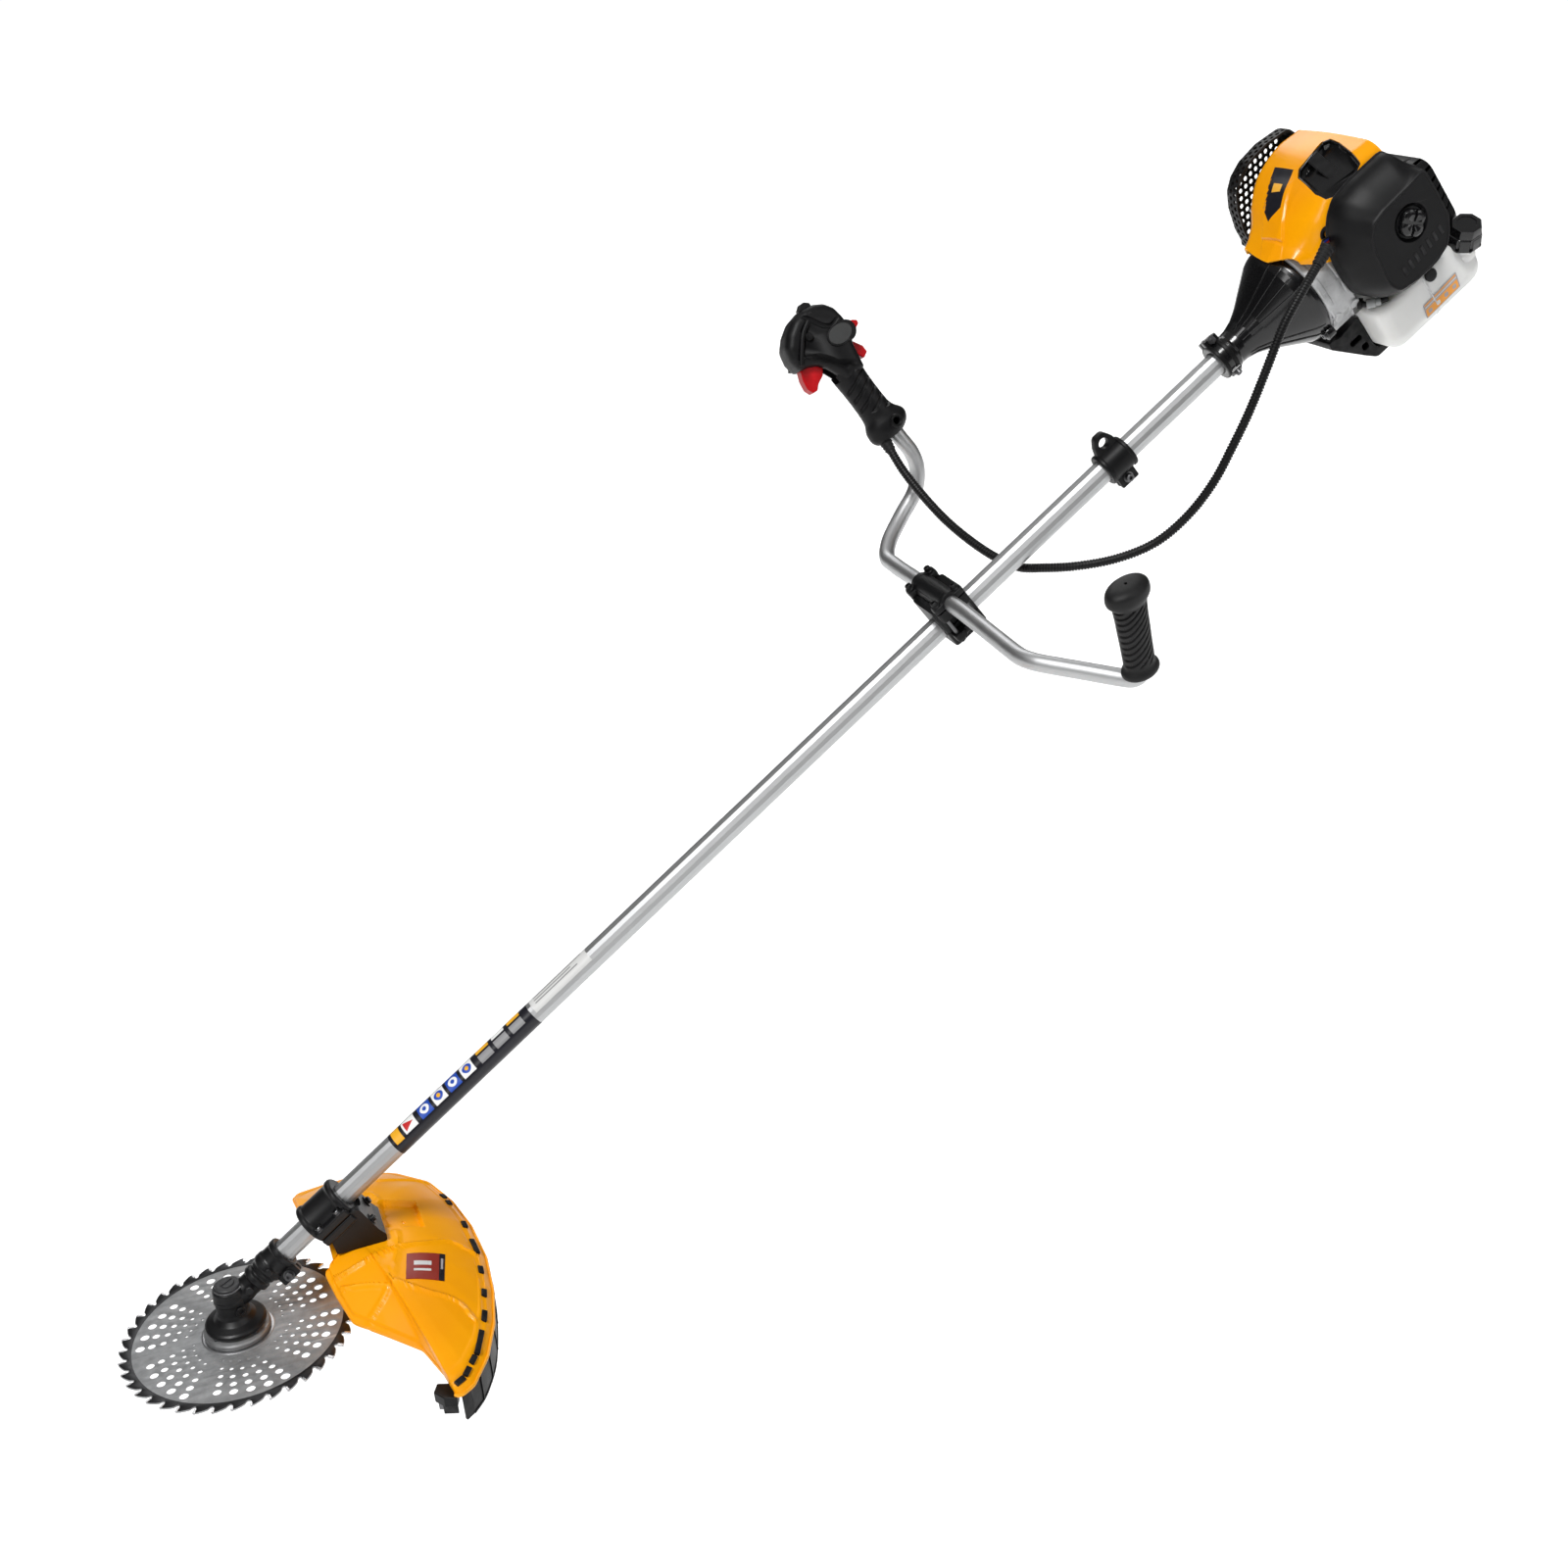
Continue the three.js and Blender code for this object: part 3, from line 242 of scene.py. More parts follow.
def cast(name, color, rough=0.5, metallic=0.6, grain=700, depth=0.5):
    """Sand-blasted die casting."""
    n = Nodes(name)
    fine, mid = n.noise(grain, 4, 0.7), n.noise(90, 4, 0.6)
    col = n.mix(n.to(mid, 0, 1, 0.35, 0.7), color, tuple(c * 0.72 for c in color))
    # painted highlight: convex edges a lighter copy of the casting's colour
    col = n.mix(n.edge(0.53, 0.62), col, tuple(min(1, c * 1.4) for c in color))
    n.put(Base_Color=col, Metallic=metallic, Roughness=n.to(fine, rough - 0.08, rough + 0.12), Specular_IOR_Level=0.5 if metallic else 0.3, Normal=n.bump(fine, depth, 0.0005))
    return n.mat


# ------------------------------------------------------------------ mesh tools
def obj(name, verts, faces, M=HEAD, mat=None, body="frame", smooth=38, bevel=0, seg=2, sub=0, limit=34, replaces=(), slot=None, mats=None, index=None):
    """A piece from vertices in millimetres in frame M."""
    me = bpy.data.meshes.new(name)
    v = np.asarray(verts, float)
    A = np.array(M)
    v = v @ A[:3, :3].T + A[:3, 3]
    me.from_pydata(v.tolist(), [], [list(map(int, f)) for f in faces])
    me.validate()
    bm = bmesh.new()
    bm.from_mesh(me)
    bmesh.ops.remove_doubles(bm, verts=bm.verts, dist=1e-6)
    if index is None:
        bmesh.ops.recalc_face_normals(bm, faces=bm.faces)
    bm.to_mesh(me)
    bm.free()
    return finish(name, me, mat, body, smooth, bevel, seg, sub, limit, replaces, slot, mats, index)


def finish(name, me, mat, body="frame", smooth=38, bevel=0, seg=2, sub=0, limit=34, replaces=(), slot=None, mats=None, index=None):
    o = bpy.data.objects.new(name, me)
    bpy.context.scene.collection.objects.link(o)
    for m in mats or ([mat] if mat else []):
        me.materials.append(m)
    if index is not None:
        me.polygons.foreach_set("material_index", index)
    me.shade_smooth()
    if smooth:
        me.set_sharp_from_angle(angle=math.radians(smooth))
    if sub:
        s = o.modifiers.new("sub", "SUBSURF")
        s.levels = s.render_levels = sub
    if bevel:
        b = o.modifiers.new("bevel", "BEVEL")
        b.width, b.segments, b.limit_method, b.angle_limit = bevel * MM, seg, "ANGLE", math.radians(limit)
        b.harden_normals = True
        b.use_clamp_overlap = True
        b.miter_outer = "MITER_ARC"
    if body:
        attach(o, body)
    if replaces:
        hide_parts(*([replaces] if isinstance(replaces, str) else replaces))
    return o


def fillet(points, r, n=4, closed=False):
    """Corners of a polyline rounded; r is a radius or one for each point."""
    P = [Vector(p) for p in points]
    m, out = len(P), []
    for i, p in enumerate(P):
        ri = r[i] if isinstance(r, (list, tuple)) else r
        if ri <= 0 or (not closed and i in (0, m - 1)):
            out.append(tuple(p))
            continue
        a, b = P[i - 1] - p, P[(i + 1) % m] - p
        la, lb = a.length, b.length
        if la < 1e-6 or lb < 1e-6:
            continue
        ang = a.angle(b)
        if ang > pi - 0.03:
            out.append(tuple(p))
            continue
        d = min(ri / math.tan(ang / 2), 0.48 * la, 0.48 * lb)
        p0, p1 = p + a / la * d, p + b / lb * d
        for k in range(n + 1):
            t = k / n
            out.append(tuple((1 - t) ** 2 * p0 + 2 * t * (1 - t) * p + t * t * p1))
    return out


def turn(frame_axis):
    """Rotation that takes +Z to a frame's axis."""
    return {"z": Matrix.Identity(4), "x": Matrix(((0, 0, 1, 0), (1, 0, 0, 0), (0, 1, 0, 0), (0, 0, 0, 1))), "y": Matrix(((0, 1, 0, 0), (0, 0, 1, 0), (1, 0, 0, 0), (0, 0, 0, 1)))}[frame_axis]


def along(o, d, x=(0, 0, 1)):
    """Frame with its origin at o and +Z along d."""
    z = Vector(d).normalized()
    x = Vector(x)
    x = x - z * x.dot(z)
    if x.length < 1e-4:
        x = Vector((1, 0.1, 0))
        x = x - z * x.dot(z)
    x.normalize()
    return axes(o, x, z.cross(x), z)


def revolve(profile, seg=64, r=0, n=3, start=0.0, sweep=tau, wave=None):
    """(verts, faces) of an (radius, height) profile turned about z. Both ends on the axis, or closed on itself."""
    closed = tuple(profile[0]) == tuple(profile[-1])
    p = [tuple(q) for q in (profile[:-1] if closed else profile)]
    if r:
        p = [(q[0], q[1]) for q in fillet([(a, b, 0) for a, b in p], r, n, closed)]
    full = abs(sweep - tau) < 1e-6
    cols = seg if full else seg + 1
    verts, ids = [], []
    for a, b in p:
        if abs(a) < 1e-6 and full:
            ids.append([len(verts)] * cols)
            verts.append((0, 0, b))
        else:
            ids.append(list(range(len(verts), len(verts) + cols)))
            for k in range(cols):
                t = start + sweep * k / seg
                q = a + (wave(t, a, b) if wave else 0)
                verts.append((q * math.cos(t), q * math.sin(t), b))
    faces = []
    rows = list(zip(ids, ids[1:] + ids[:1])) if closed else list(zip(ids, ids[1:]))
    for lo, hi in rows:
        for k in range(seg):
            j = (k + 1) % cols if full else k + 1
            f = []
            for i in (lo[k], lo[j], hi[j], hi[k]):
                if i not in f:
                    f.append(i)
            if len(f) > 2:
                faces.append(f)
    if not full:
        for c in (0, cols - 1):
            faces.append([i[c] for i in ids])
    return verts, faces


def lathe(name, profile, M=HEAD, axis="z", seg=64, r=0.0, n=3, at=(0, 0, 0), **kw):
    v, f = revolve(profile, seg, r, n, wave=kw.pop("wave", None))
    return obj(name, v, f, M @ Matrix.Translation(at) @ turn(axis), **kw)


def prism_data(outline, z0, z1):
    n = len(outline)
    v = [(x, y, z0) for x, y in outline] + [(x, y, z1) for x, y in outline]
    f = [list(range(n))[::-1], list(range(n, 2 * n))] + [[i, (i + 1) % n, n + (i + 1) % n, n + i] for i in range(n)]
    return v, f


def prism(name, outline, z0, z1, M=HEAD, axis="z", **kw):
    """Outline in the two axes after the given one (x: y,z; y: z,x; z: x,y), pulled along it."""
    v, f = prism_data(outline, z0, z1)
    return obj(name, v, f, M @ turn(axis), **kw)


def block(name, x0, x1, y0, y1, z0, z1, M=HEAD, r=0, **kw):
    return prism(name, [(x0, y0), (x1, y0), (x1, y1), (x0, y1)], z0, z1, M, bevel=r, **kw)


def plate(name, outline, holes, z0, z1, M=HEAD, axis="z", edge=0.0, **kw):
    """Flat piece with holes, its edges rounded by edge."""
    cu = bpy.data.curves.new(name, "CURVE")
    cu.dimensions, cu.fill_mode = "2D", "BOTH"
    cu.extrude = (z1 - z0) / 2 - edge
    cu.bevel_depth, cu.bevel_resolution = edge, 1
    cu.offset = -edge
    for ring in [outline, *holes]:
        s = cu.splines.new("POLY")
        s.points.add(len(ring) - 1)
        for p, q in zip(s.points, ring):
            p.co = (q[0], q[1], 0, 1)
        s.use_cyclic_u = True
    t = bpy.data.objects.new(name + "_t", cu)
    bpy.context.scene.collection.objects.link(t)
    dg = bpy.context.evaluated_depsgraph_get()
    me = bpy.data.meshes.new_from_object(t.evaluated_get(dg))
    bpy.data.objects.remove(t)
    me.materials.clear()
    me.transform(M @ turn(axis) @ Matrix.Translation((0, 0, (z0 + z1) / 2)))
    bm = bmesh.new()
    bm.from_mesh(me)
    bmesh.ops.remove_doubles(bm, verts=bm.verts, dist=2e-6)
    bm.to_mesh(me)
    bm.free()
    return finish(name, me, kw.pop("mat", None), **kw)


def spline(points, n=12, closed=False):
    """Centripetal Catmull-Rom through the points."""
    P = [Vector(p) for p in points]
    if closed:
        P = [P[-1]] + P + [P[0], P[1]]
    else:
        P = [P[0] * 2 - P[1]] + P + [P[-1] * 2 - P[-2]]
    out = []
    for i in range(1, len(P) - 2):
        p0, p1, p2, p3 = P[i - 1 : i + 3]
        t0 = 0
        t1 = t0 + max((p1 - p0).length, 1e-6) ** 0.5
        t2 = t1 + max((p2 - p1).length, 1e-6) ** 0.5
        t3 = t2 + max((p3 - p2).length, 1e-6) ** 0.5
        for k in range(n):
            t = t1 + (t2 - t1) * k / n
            a1 = p0 * ((t1 - t) / (t1 - t0)) + p1 * ((t - t0) / (t1 - t0))
            a2 = p1 * ((t2 - t) / (t2 - t1)) + p2 * ((t - t1) / (t2 - t1))
            a3 = p2 * ((t3 - t) / (t3 - t2)) + p3 * ((t - t2) / (t3 - t2))
            b1 = a1 * ((t2 - t) / (t2 - t0)) + a2 * ((t - t0) / (t2 - t0))
            b2 = a2 * ((t3 - t) / (t3 - t1)) + a3 * ((t - t1) / (t3 - t1))
            out.append(b1 * ((t2 - t) / (t2 - t1)) + b2 * ((t - t1) / (t2 - t1)))
    if not closed:
        out.append(P[-2])
    return out


def resample(path, step):
    d = [0.0]
    for a, b in zip(path, path[1:]):
        d.append(d[-1] + (b - a).length)
    n = max(2, int(round(d[-1] / step)))
    out, j = [], 0
    for k in range(n + 1):
        s = d[-1] * k / n
        while j < len(d) - 2 and d[j + 1] < s:
            j += 1
        t = (s - d[j]) / max(d[j + 1] - d[j], 1e-9)
        out.append(path[j].lerp(path[j + 1], min(1, max(0, t))))
    return out


def sweep(path, radius, sides=24, cap=True, shape=None, flat=1.0, up=None):
    """Tube along a path. radius(i, s) with s the distance run; shape(angle) scales it."""
    path = [Vector(p) for p in path]
    n = len(path)
    tan = [(path[min(i + 1, n - 1)] - path[max(i - 1, 0)]).normalized() for i in range(n)]
    nrm = Vector(up) if up else Vector((0, 0, 1))
    nrm = nrm - tan[0] * nrm.dot(tan[0])
    if nrm.length < 1e-3:
        nrm = Vector((1, 0, 0)) - tan[0] * tan[0].x
    nrm.normalize()
    verts, faces, s = [], [], 0
    for i in range(n):
        if i:
            s += (path[i] - path[i - 1]).length
            q = tan[i - 1].rotation_difference(tan[i])
            nrm = q @ nrm
            nrm = (nrm - tan[i] * nrm.dot(tan[i])).normalized()
        b = tan[i].cross(nrm)
        r = radius(i, s) if callable(radius) else radius
        for k in range(sides):
            a = tau * k / sides
            q = r * (shape(a) if shape else 1)
            verts.append(path[i] + nrm * (q * math.cos(a)) + b * (q * flat * math.sin(a)))
    for i in range(n - 1):
        for k in range(sides):
            j = (k + 1) % sides
            faces.append([i * sides + k, i * sides + j, (i + 1) * sides + j, (i + 1) * sides + k])
    if cap:
        faces += [list(range(sides))[::-1], list(range((n - 1) * sides, n * sides))]
    return verts, faces


def skin(rings, cap=True, closed=False):
    n, verts, faces = len(rings[0]), [p for r in rings for p in r], []
    m = len(rings)
    for i in range(m if closed else m - 1):
        for k in range(n):
            j, i2 = (k + 1) % n, (i + 1) % m
            faces.append([i * n + k, i * n + j, i2 * n + j, i2 * n + k])
    if cap and not closed:
        faces += [list(range(n))[::-1], list(range((m - 1) * n, m * n))]
    return verts, faces


def carve(o, tools, op="DIFFERENCE", solver="EXACT"):
    """Cuts or joins tools to o at once, and removes them."""
    tools = tools if isinstance(tools, (list, tuple)) else [tools]
    keep = [(m.name, m) for m in o.modifiers]
    for t in tools:
        b = o.modifiers.new("cut", "BOOLEAN")
        b.operation, b.solver, b.object = op, solver, t
    parked = {}
    for name, m in keep:
        parked[name] = m.show_viewport
        m.show_viewport = False
    bpy.context.view_layer.update()
    dg = bpy.context.evaluated_depsgraph_get()
    me = bpy.data.meshes.new_from_object(o.evaluated_get(dg), preserve_all_data_layers=True, depsgraph=dg)
    for m in [m for m in o.modifiers if m.type == "BOOLEAN"]:
        o.modifiers.remove(m)
    old = o.data
    o.data = me
    bpy.data.meshes.remove(old)
    for name, m in keep:
        m.show_viewport = parked[name]
    for t in tools:
        bpy.data.objects.remove(t)
    me.shade_smooth()
    me.set_sharp_from_angle(angle=math.radians(36))
    return o


def tool(v, f, M):
    """A cutter, which goes with the cut."""
    o = obj("tool", v, f, M, body=None, smooth=0)
    return o


def rod(r, z0, z1, M, seg=32, r1=None):
    return tool(*revolve([(0, z0), (r, z0), (r if r1 is None else r1, z1), (0, z1)], seg), M)


def slab(outline, z0, z1, M, axis="z"):
    return tool(*prism_data(outline, z0, z1), M @ turn(axis))


def merge(name, objs, **kw):
    """Several meshes as one piece; the first one's modifiers go."""
    bm = bmesh.new()
    mats = []
    for o in objs:
        bpy.context.view_layer.update()
        dg = bpy.context.evaluated_depsgraph_get()
        me = bpy.data.meshes.new_from_object(o.evaluated_get(dg), preserve_all_data_layers=True, depsgraph=dg)
        me.transform(o.matrix_world)
        remap = []
        for m in me.materials:
            if m not in mats:
                mats.append(m)
            remap.append(mats.index(m))
        if remap:
            for p in me.polygons:
                p.material_index = remap[min(p.material_index, len(remap) - 1)]
        bm.from_mesh(me)
        bpy.data.meshes.remove(me)
    me = bpy.data.meshes.new(name)
    bm.to_mesh(me)
    bm.free()
    for o in objs:
        bpy.data.objects.remove(o)
    for m in mats:
        me.materials.append(m)
    return finish(name, me, None, **kw)


def rrect(x0, x1, y0, y1, r, n=5):
    return [(p[0], p[1]) for p in fillet([(x0, y0, 0), (x1, y0, 0), (x1, y1, 0), (x0, y1, 0)], r, n, True)]


def ngon(r, n, cx=0, cy=0, a0=0.0):
    return [(cx + r * math.cos(a0 + tau * i / n), cy + r * math.sin(a0 + tau * i / n)) for i in range(n)]


def cap_screw(M, r=3.6, h=4.2, mat=None, washer=True, socket="hex", body="frame"):
    """Cylinder-head screw with a hexagon socket or cross recess, its head's foot at the frame's origin, +Z out."""
    k = 0.4
    o = obj("screw", *revolve([(0, 0), (r, 0), (r, h - k), (r - k, h), (0, h)], 28), M, mat, body=None)
    if socket == "hex":
        t = tool(*prism_data(ngon(r * 0.52, 6), h * 0.45, h + 1), M)
    else:
        w = r * 0.16
        t = tool(*prism_data([(w, w), (w, r * 0.6), (-w, r * 0.6), (-w, w), (-r * 0.6, w), (-r * 0.6, -w), (-w, -w), (-w, -r * 0.6), (w, -r * 0.6), (w, -w), (r * 0.6, -w), (r * 0.6, w)], h * 0.5, h + 1), M)
    carve(o, t)
    if washer:
        w = obj("washer", *revolve([(r * 0.5, -0.1), (r * 1.35, -0.1), (r * 1.35, 0.5), (r * 0.5, 0.5), (r * 0.5, -0.1)], 28), M, mat, body=None)
        return [o, w]
    return [o]


# ------------------------------------------------------------------ finishes
# the edge colours given to plastic() paint convex edges paler: rubbed wear plus a painted highlight
BLACK = plastic("black_nylon", (0.004, 0.004, 0.0043), 0.4, 900, 0.14, 0.17, edge_wear_and_highlight=(0.03, 0.03, 0.031))
BLACK_SATIN = plastic("black_satin", (0.0055, 0.0055, 0.006), 0.42, 1100, 0.2, 0.18, edge_wear_and_highlight=(0.045, 0.045, 0.046))
BLACK_GLOSS = plastic("black_gloss", (0.004, 0.004, 0.0045), 0.2, 700, 0.05, 0.42, edge_wear_and_highlight=(0.014, 0.014, 0.014), coat=0.2)
RUBBER = rubber("black_rubber")
RUBBER_SOFT = rubber("grip_rubber", (0.0032, 0.0032, 0.0034), 0.5)
PAINT_BLACK = cast("black_coated_casting", (0.0055, 0.0055, 0.006), 0.36, 0.0, 520, 0.2)
# its edge colour, a brighter red, is a painted highlight on convex edges plus rubbed wear
RED = plastic("red_moulding", (0.44, 0.0006, 0.004), 0.3, 900, 0.08, 0.16, edge_wear_and_highlight=(0.60, 0.01, 0.015), vary=0.2)
TUBE = metal("drawn_aluminium", (0.50, 0.505, 0.51), 0.46, (0.05, 1, 1), 500, 0.05, 0.06, 0.0, 0.05)
STEEL = metal("machined_steel", (0.50, 0.51, 0.52), 0.28, (1, 1, 1), 300, 0.06, 0.15, 0.2, 0.07)
ZINC = metal("bright_zinc", (0.72, 0.72, 0.70), 0.2, (1, 1, 1), 200, 0.05, 0.1, 0.25, 0.05)
DARK_STEEL = metal("oiled_steel", (0.16, 0.16, 0.165), 0.34, (1, 1, 1), 200, 0.1, 0.2, 0.3, 0.06)
CAST = cast("grey_die_casting", (0.52, 0.525, 0.53), 0.5, 0.3, 650, 0.55)
BRONZE = metal("sintered_bronze", (0.45, 0.27, 0.10), 0.45, (1, 1, 1), 500, 0.1, 0.2, 0.3, 0.1)
FOAM = rubber("filter_foam", (0.03, 0.03, 0.026), 0.9)
CERAMIC = plastic("glazed_ceramic", (0.8, 0.79, 0.74), 0.15, 300, 0.02, 0.5, vary=0.05)


def yellow(name, rough=0.3, spec=0.3, coat=0.12):
    n = Nodes(name)
    slow, fine = n.noise(11, 3), n.noise(800, 3, 0.6)
    col = n.mix(n.to(slow, 0, 1, 0.35, 0.7), (0.90, 0.36, 0.001), (0.85, 0.31, 0.001))
    # painted highlight: convex edges a paler, brighter yellow
    col = n.mix(n.math("MULTIPLY", n.edge(0.53, 0.6), 0.35), col, (1.0, 0.52, 0.06))
    n.put(Base_Color=col, Roughness=n.math("ADD", n.to(n.noise(40, 4), -0.04, 0.06), rough), Specular_IOR_Level=spec, Coat_Weight=coat, Coat_Roughness=0.06,
          Normal=n.bump(fine, 0.05, 0.0003))
    return n.mat


YELLOW = yellow("yellow_cover", 0.22, 0.2, 0.1)
YELLOW_GUARD = yellow("yellow_guard", 0.36, 0.14, 0.04)

FINISH = {
    BLACK: "guard_bracket fuel_cap starter_handle starter_housing starter_pulley engine_foot filter_cover_knob muffler_guard half_throttle_button".split(),
    BLACK_SATIN: "air_filter_cover throttle_housing_left throttle_housing_right harness_clamp guard_skirt line_cutter".split(),
    BLACK_GLOSS: ["clutch_housing"],
    PAINT_BLACK: "gearbox_housing gearbox_cap handlebar_clamp_base handlebar_clamp_middle handlebar_clamp_cap".split(),
    RUBBER: "control_cable handle_cable_gland engine_cable_gland left_grip".split(),
    YELLOW: ["top_cover"],
    YELLOW_GUARD: ["guard_shell"],
    RED: "throttle_trigger lockout_lever stop_switch".split(),
    TUBE: "shaft_tube handlebar".split(),
    STEEL: "inner_drive_shaft spindle driven_gear pinion_gear clutch_drum clutch_shoes crankshaft connecting_rod lower_washer stabiliser_cup blade muffler".split(),
    ZINC: "drive_flange blade_nut spindle_bearing_upper spindle_bearing_lower pinion_bearing".split(),
    CAST: "flywheel_fan fan_housing crankcase cylinder carburettor piston".split(),
    BRONZE: "shaft_bush_lower shaft_bush_upper".split(),
    FOAM: ["air_filter_element"],
    CERAMIC: ["spark_plug"],
}
for m, names in FINISH.items():
    for n in names:
        NODES[n].data.materials.clear()
        NODES[n].data.materials.append(m)


# ------------------------------------------------------------------ control cable in its corrugated conduit
ROUTE = [(1171.5, 183.5, 103.5), (1166, 168, 86), (1161, 142, 61), (1157.5, 104, 33.5), (1159, 62, 9), (1164, 32, -8), (1172, 8, -20), (1187, -15, -27), (1211, -40, -38.5), (1247, -62, -54),
         (1287, -78, -63), (1329, -90, -58.5), (1370, -98, -45), (1406, -101, -27.5), (1441, -103, -9), (1482, -102, 14), (1523, -99, 36), (1560, -94, 47), (1590, -86.5, 52.5)]
line = resample(spline([on_shaft(*p) for p in ROUTE], 10), 0.55)
run = [0.0]
for a, b in zip(line, line[1:]):
    run.append(run[-1] + (b - a).length)


def ribs(i, s):
    k = (s / 3.3) % 1.0
    return 5.0 if k < 0.55 else 4.15 if 0.62 < k < 0.93 else 4.6


v, f = sweep(line, ribs, 16)
n = Nodes("conduit")
n.put(Base_Color=n.mix(n.to(n.noise(30, 3), 0, 1, 0.3, 0.7), (0.004, 0.004, 0.0043), (0.008, 0.008, 0.0085)), Roughness=n.to(n.noise(90, 4), 0.36, 0.5), Specular_IOR_Level=0.25, Normal=n.bump(n.noise(1200, 3), 0.1, 0.0003))
conduit = obj("cable_conduit", v, f, HEAD, n.mat, smooth=50, replaces="control_cable", slot="rubber")


def gland(name, node, a, d, length, r0, r1, rings):
    """Tapered strain relief from the conduit's end."""
    prof = [(5.3, 0.4)]
    m = rings * 2
    for i in range(m + 1):
        t = i / m
        r = r0 + (r1 - r0) * t
        z = 0.4 + (length - 0.4) * t
        prof += [(r + (0.45 if i % 2 else -0.25), z), (r + (0.45 if i % 2 else -0.25), z + (length / m) * 0.55)] if i < m else [(r1, z)]
    prof = [p for p in prof if p[1] <= length + 1e-6]
    prof.append((0, length))
    prof.insert(0, (0, 0.4))
    return obj(name, *revolve(prof, 32, 0.25, 2), HEAD @ along(a, d), RUBBER, replaces=node, slot="rubber")


d0 = (line[0] - line[6]).normalized()
d1 = (line[-1] - line[-7]).normalized()
gland_a = gland("handle_strain_relief", "handle_cable_gland", line[0], d0, 12.5, 5.6, 7.0, 3)
gland_b = gland("engine_strain_relief", "engine_cable_gland", line[-1], d1, 24, 5.6, 7.6, 5)
step = max(1, len(line) // 300)
centre = [tuple((HEAD @ p)) for p in line[::step]] + [tuple(HEAD @ line[-1])]
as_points(centre[::-1])


# ------------------------------------------------------------------ engine: yellow top cover
def smooth01(t):
    t = min(1.0, max(0.0, t))
    return t * t * (3 - 2 * t)


def lerp_table(table, x):
    """Smooth interpolation in rows of (x, values...)."""
    if x <= table[0][0]:
        return table[0][1:]
    for i in range(len(table) - 1):
        p, q = table[i], table[i + 1]
        if x <= q[0]:
            t = (x - p[0]) / (q[0] - p[0])
            m = []
            for c in range(1, len(p)):
                def slope(k):
                    if k <= 0 or k >= len(table) - 1:
                        k = min(max(k, 0), len(table) - 1)
                        a, b = (0, 1) if k == 0 else (k - 1, k)
                        return (table[b][c] - table[a][c]) / (table[b][0] - table[a][0])
                    return (table[k + 1][c] - table[k - 1][c]) / (table[k + 1][0] - table[k - 1][0])
                h = q[0] - p[0]
                s0, s1 = slope(i) * h, slope(i + 1) * h
                m.append((2 * t**3 - 3 * t**2 + 1) * p[c] + (t**3 - 2 * t**2 + t) * s0 + (-2 * t**3 + 3 * t**2) * q[c] + (t**3 - t**2) * s1)
            return m
    return table[-1][1:]


# along the shaft: left half-width, right half-width, lower edge, top, corner radius left and right
COVER = [(0.0, 52, 44, 47, 58.5, 22, 22), (0.09, 57, 56, 36, 64.5, 26, 24), (0.16, 60.5, 62, 30, 70, 27, 26), (0.27, 64.5, 74, 25, 80.5, 25, 24),
         (0.46, 65.5, 84.5, 23, 93, 21, 20), (0.76, 65.5, 87.5, 33, 101.5, 20, 18), (1.0, 65.5, 87.5, 66, 99, 20, 18)]
REAR = 238.0


def cover_front(y):
    d = y + 20
    return 91 + (9 * (d / 51) ** 1.4 if d > 0 else 0.5 * -d)


def cover_ring(u):
    wl, wr, zb, zt, rl, rr = lerp_table(COVER, u)
    crown = 2.2 * min(1, u * 4)
    pts = []
    corner = lambda cx, cz, r, a0, a1, m: [(cx + r * math.cos(a0 + (a1 - a0) * i / m), cz + r * math.sin(a0 + (a1 - a0) * i / m)) for i in range(m + 1)]
    rl, rr = min(rl, (zt - zb) * 0.9), min(rr, (zt - zb) * 0.9)
    left = corner(-wl + rl, zt - rl, rl, pi, pi / 2, 14)
    right = corner(wr - rr, zt - rr, rr, pi / 2, 0, 14)
    pts = [(-wl, zb)] + [(-wl, zb + (zt - rl - zb) * k / 8) for k in range(1, 8)] + left
    m = 78
    y0, y1 = left[-1][0], right[0][0]
    pts += [(y0 + (y1 - y0) * k / m, zt + crown * math.sin(pi * k / m)) for k in range(1, m)] + right
    pts += [(wr, zt - rr + (zb - zt + rr) * k / 8) for k in range(1, 9)]
    return pts


def cover_panel(a, y, z):
    """Height of the raised label panel with its lower step."""
    t = (a - 92) / (182 - 92)
    mid = -22 + 50 * t
    half = 17 + 5 * t
    side = smooth01((half + 0.8 - abs(y - mid)) / 1.6)
    upper = smooth01((a - 112 + (y - mid) * 0.05) / 1.6) * smooth01((176 - a) / 24)
    lower = 0.45 * smooth01((112 - a) / 3.0) * smooth01((a - 90) / 1.5)
    return 2.3 * side * max(upper, lower) if a < 178 else 0


def cover_grid(rows=120):
    grid = []
    for i in range(rows + 1):
        u = i / rows
        u = u * 0.55 + 0.45 * u * u
        ring = cover_ring(u)
        row = []
        for y, z in ring:
            f = cover_front(y)
            row.append(Vector((f + (REAR - f) * u, y, z)))
        grid.append(row)
    return grid


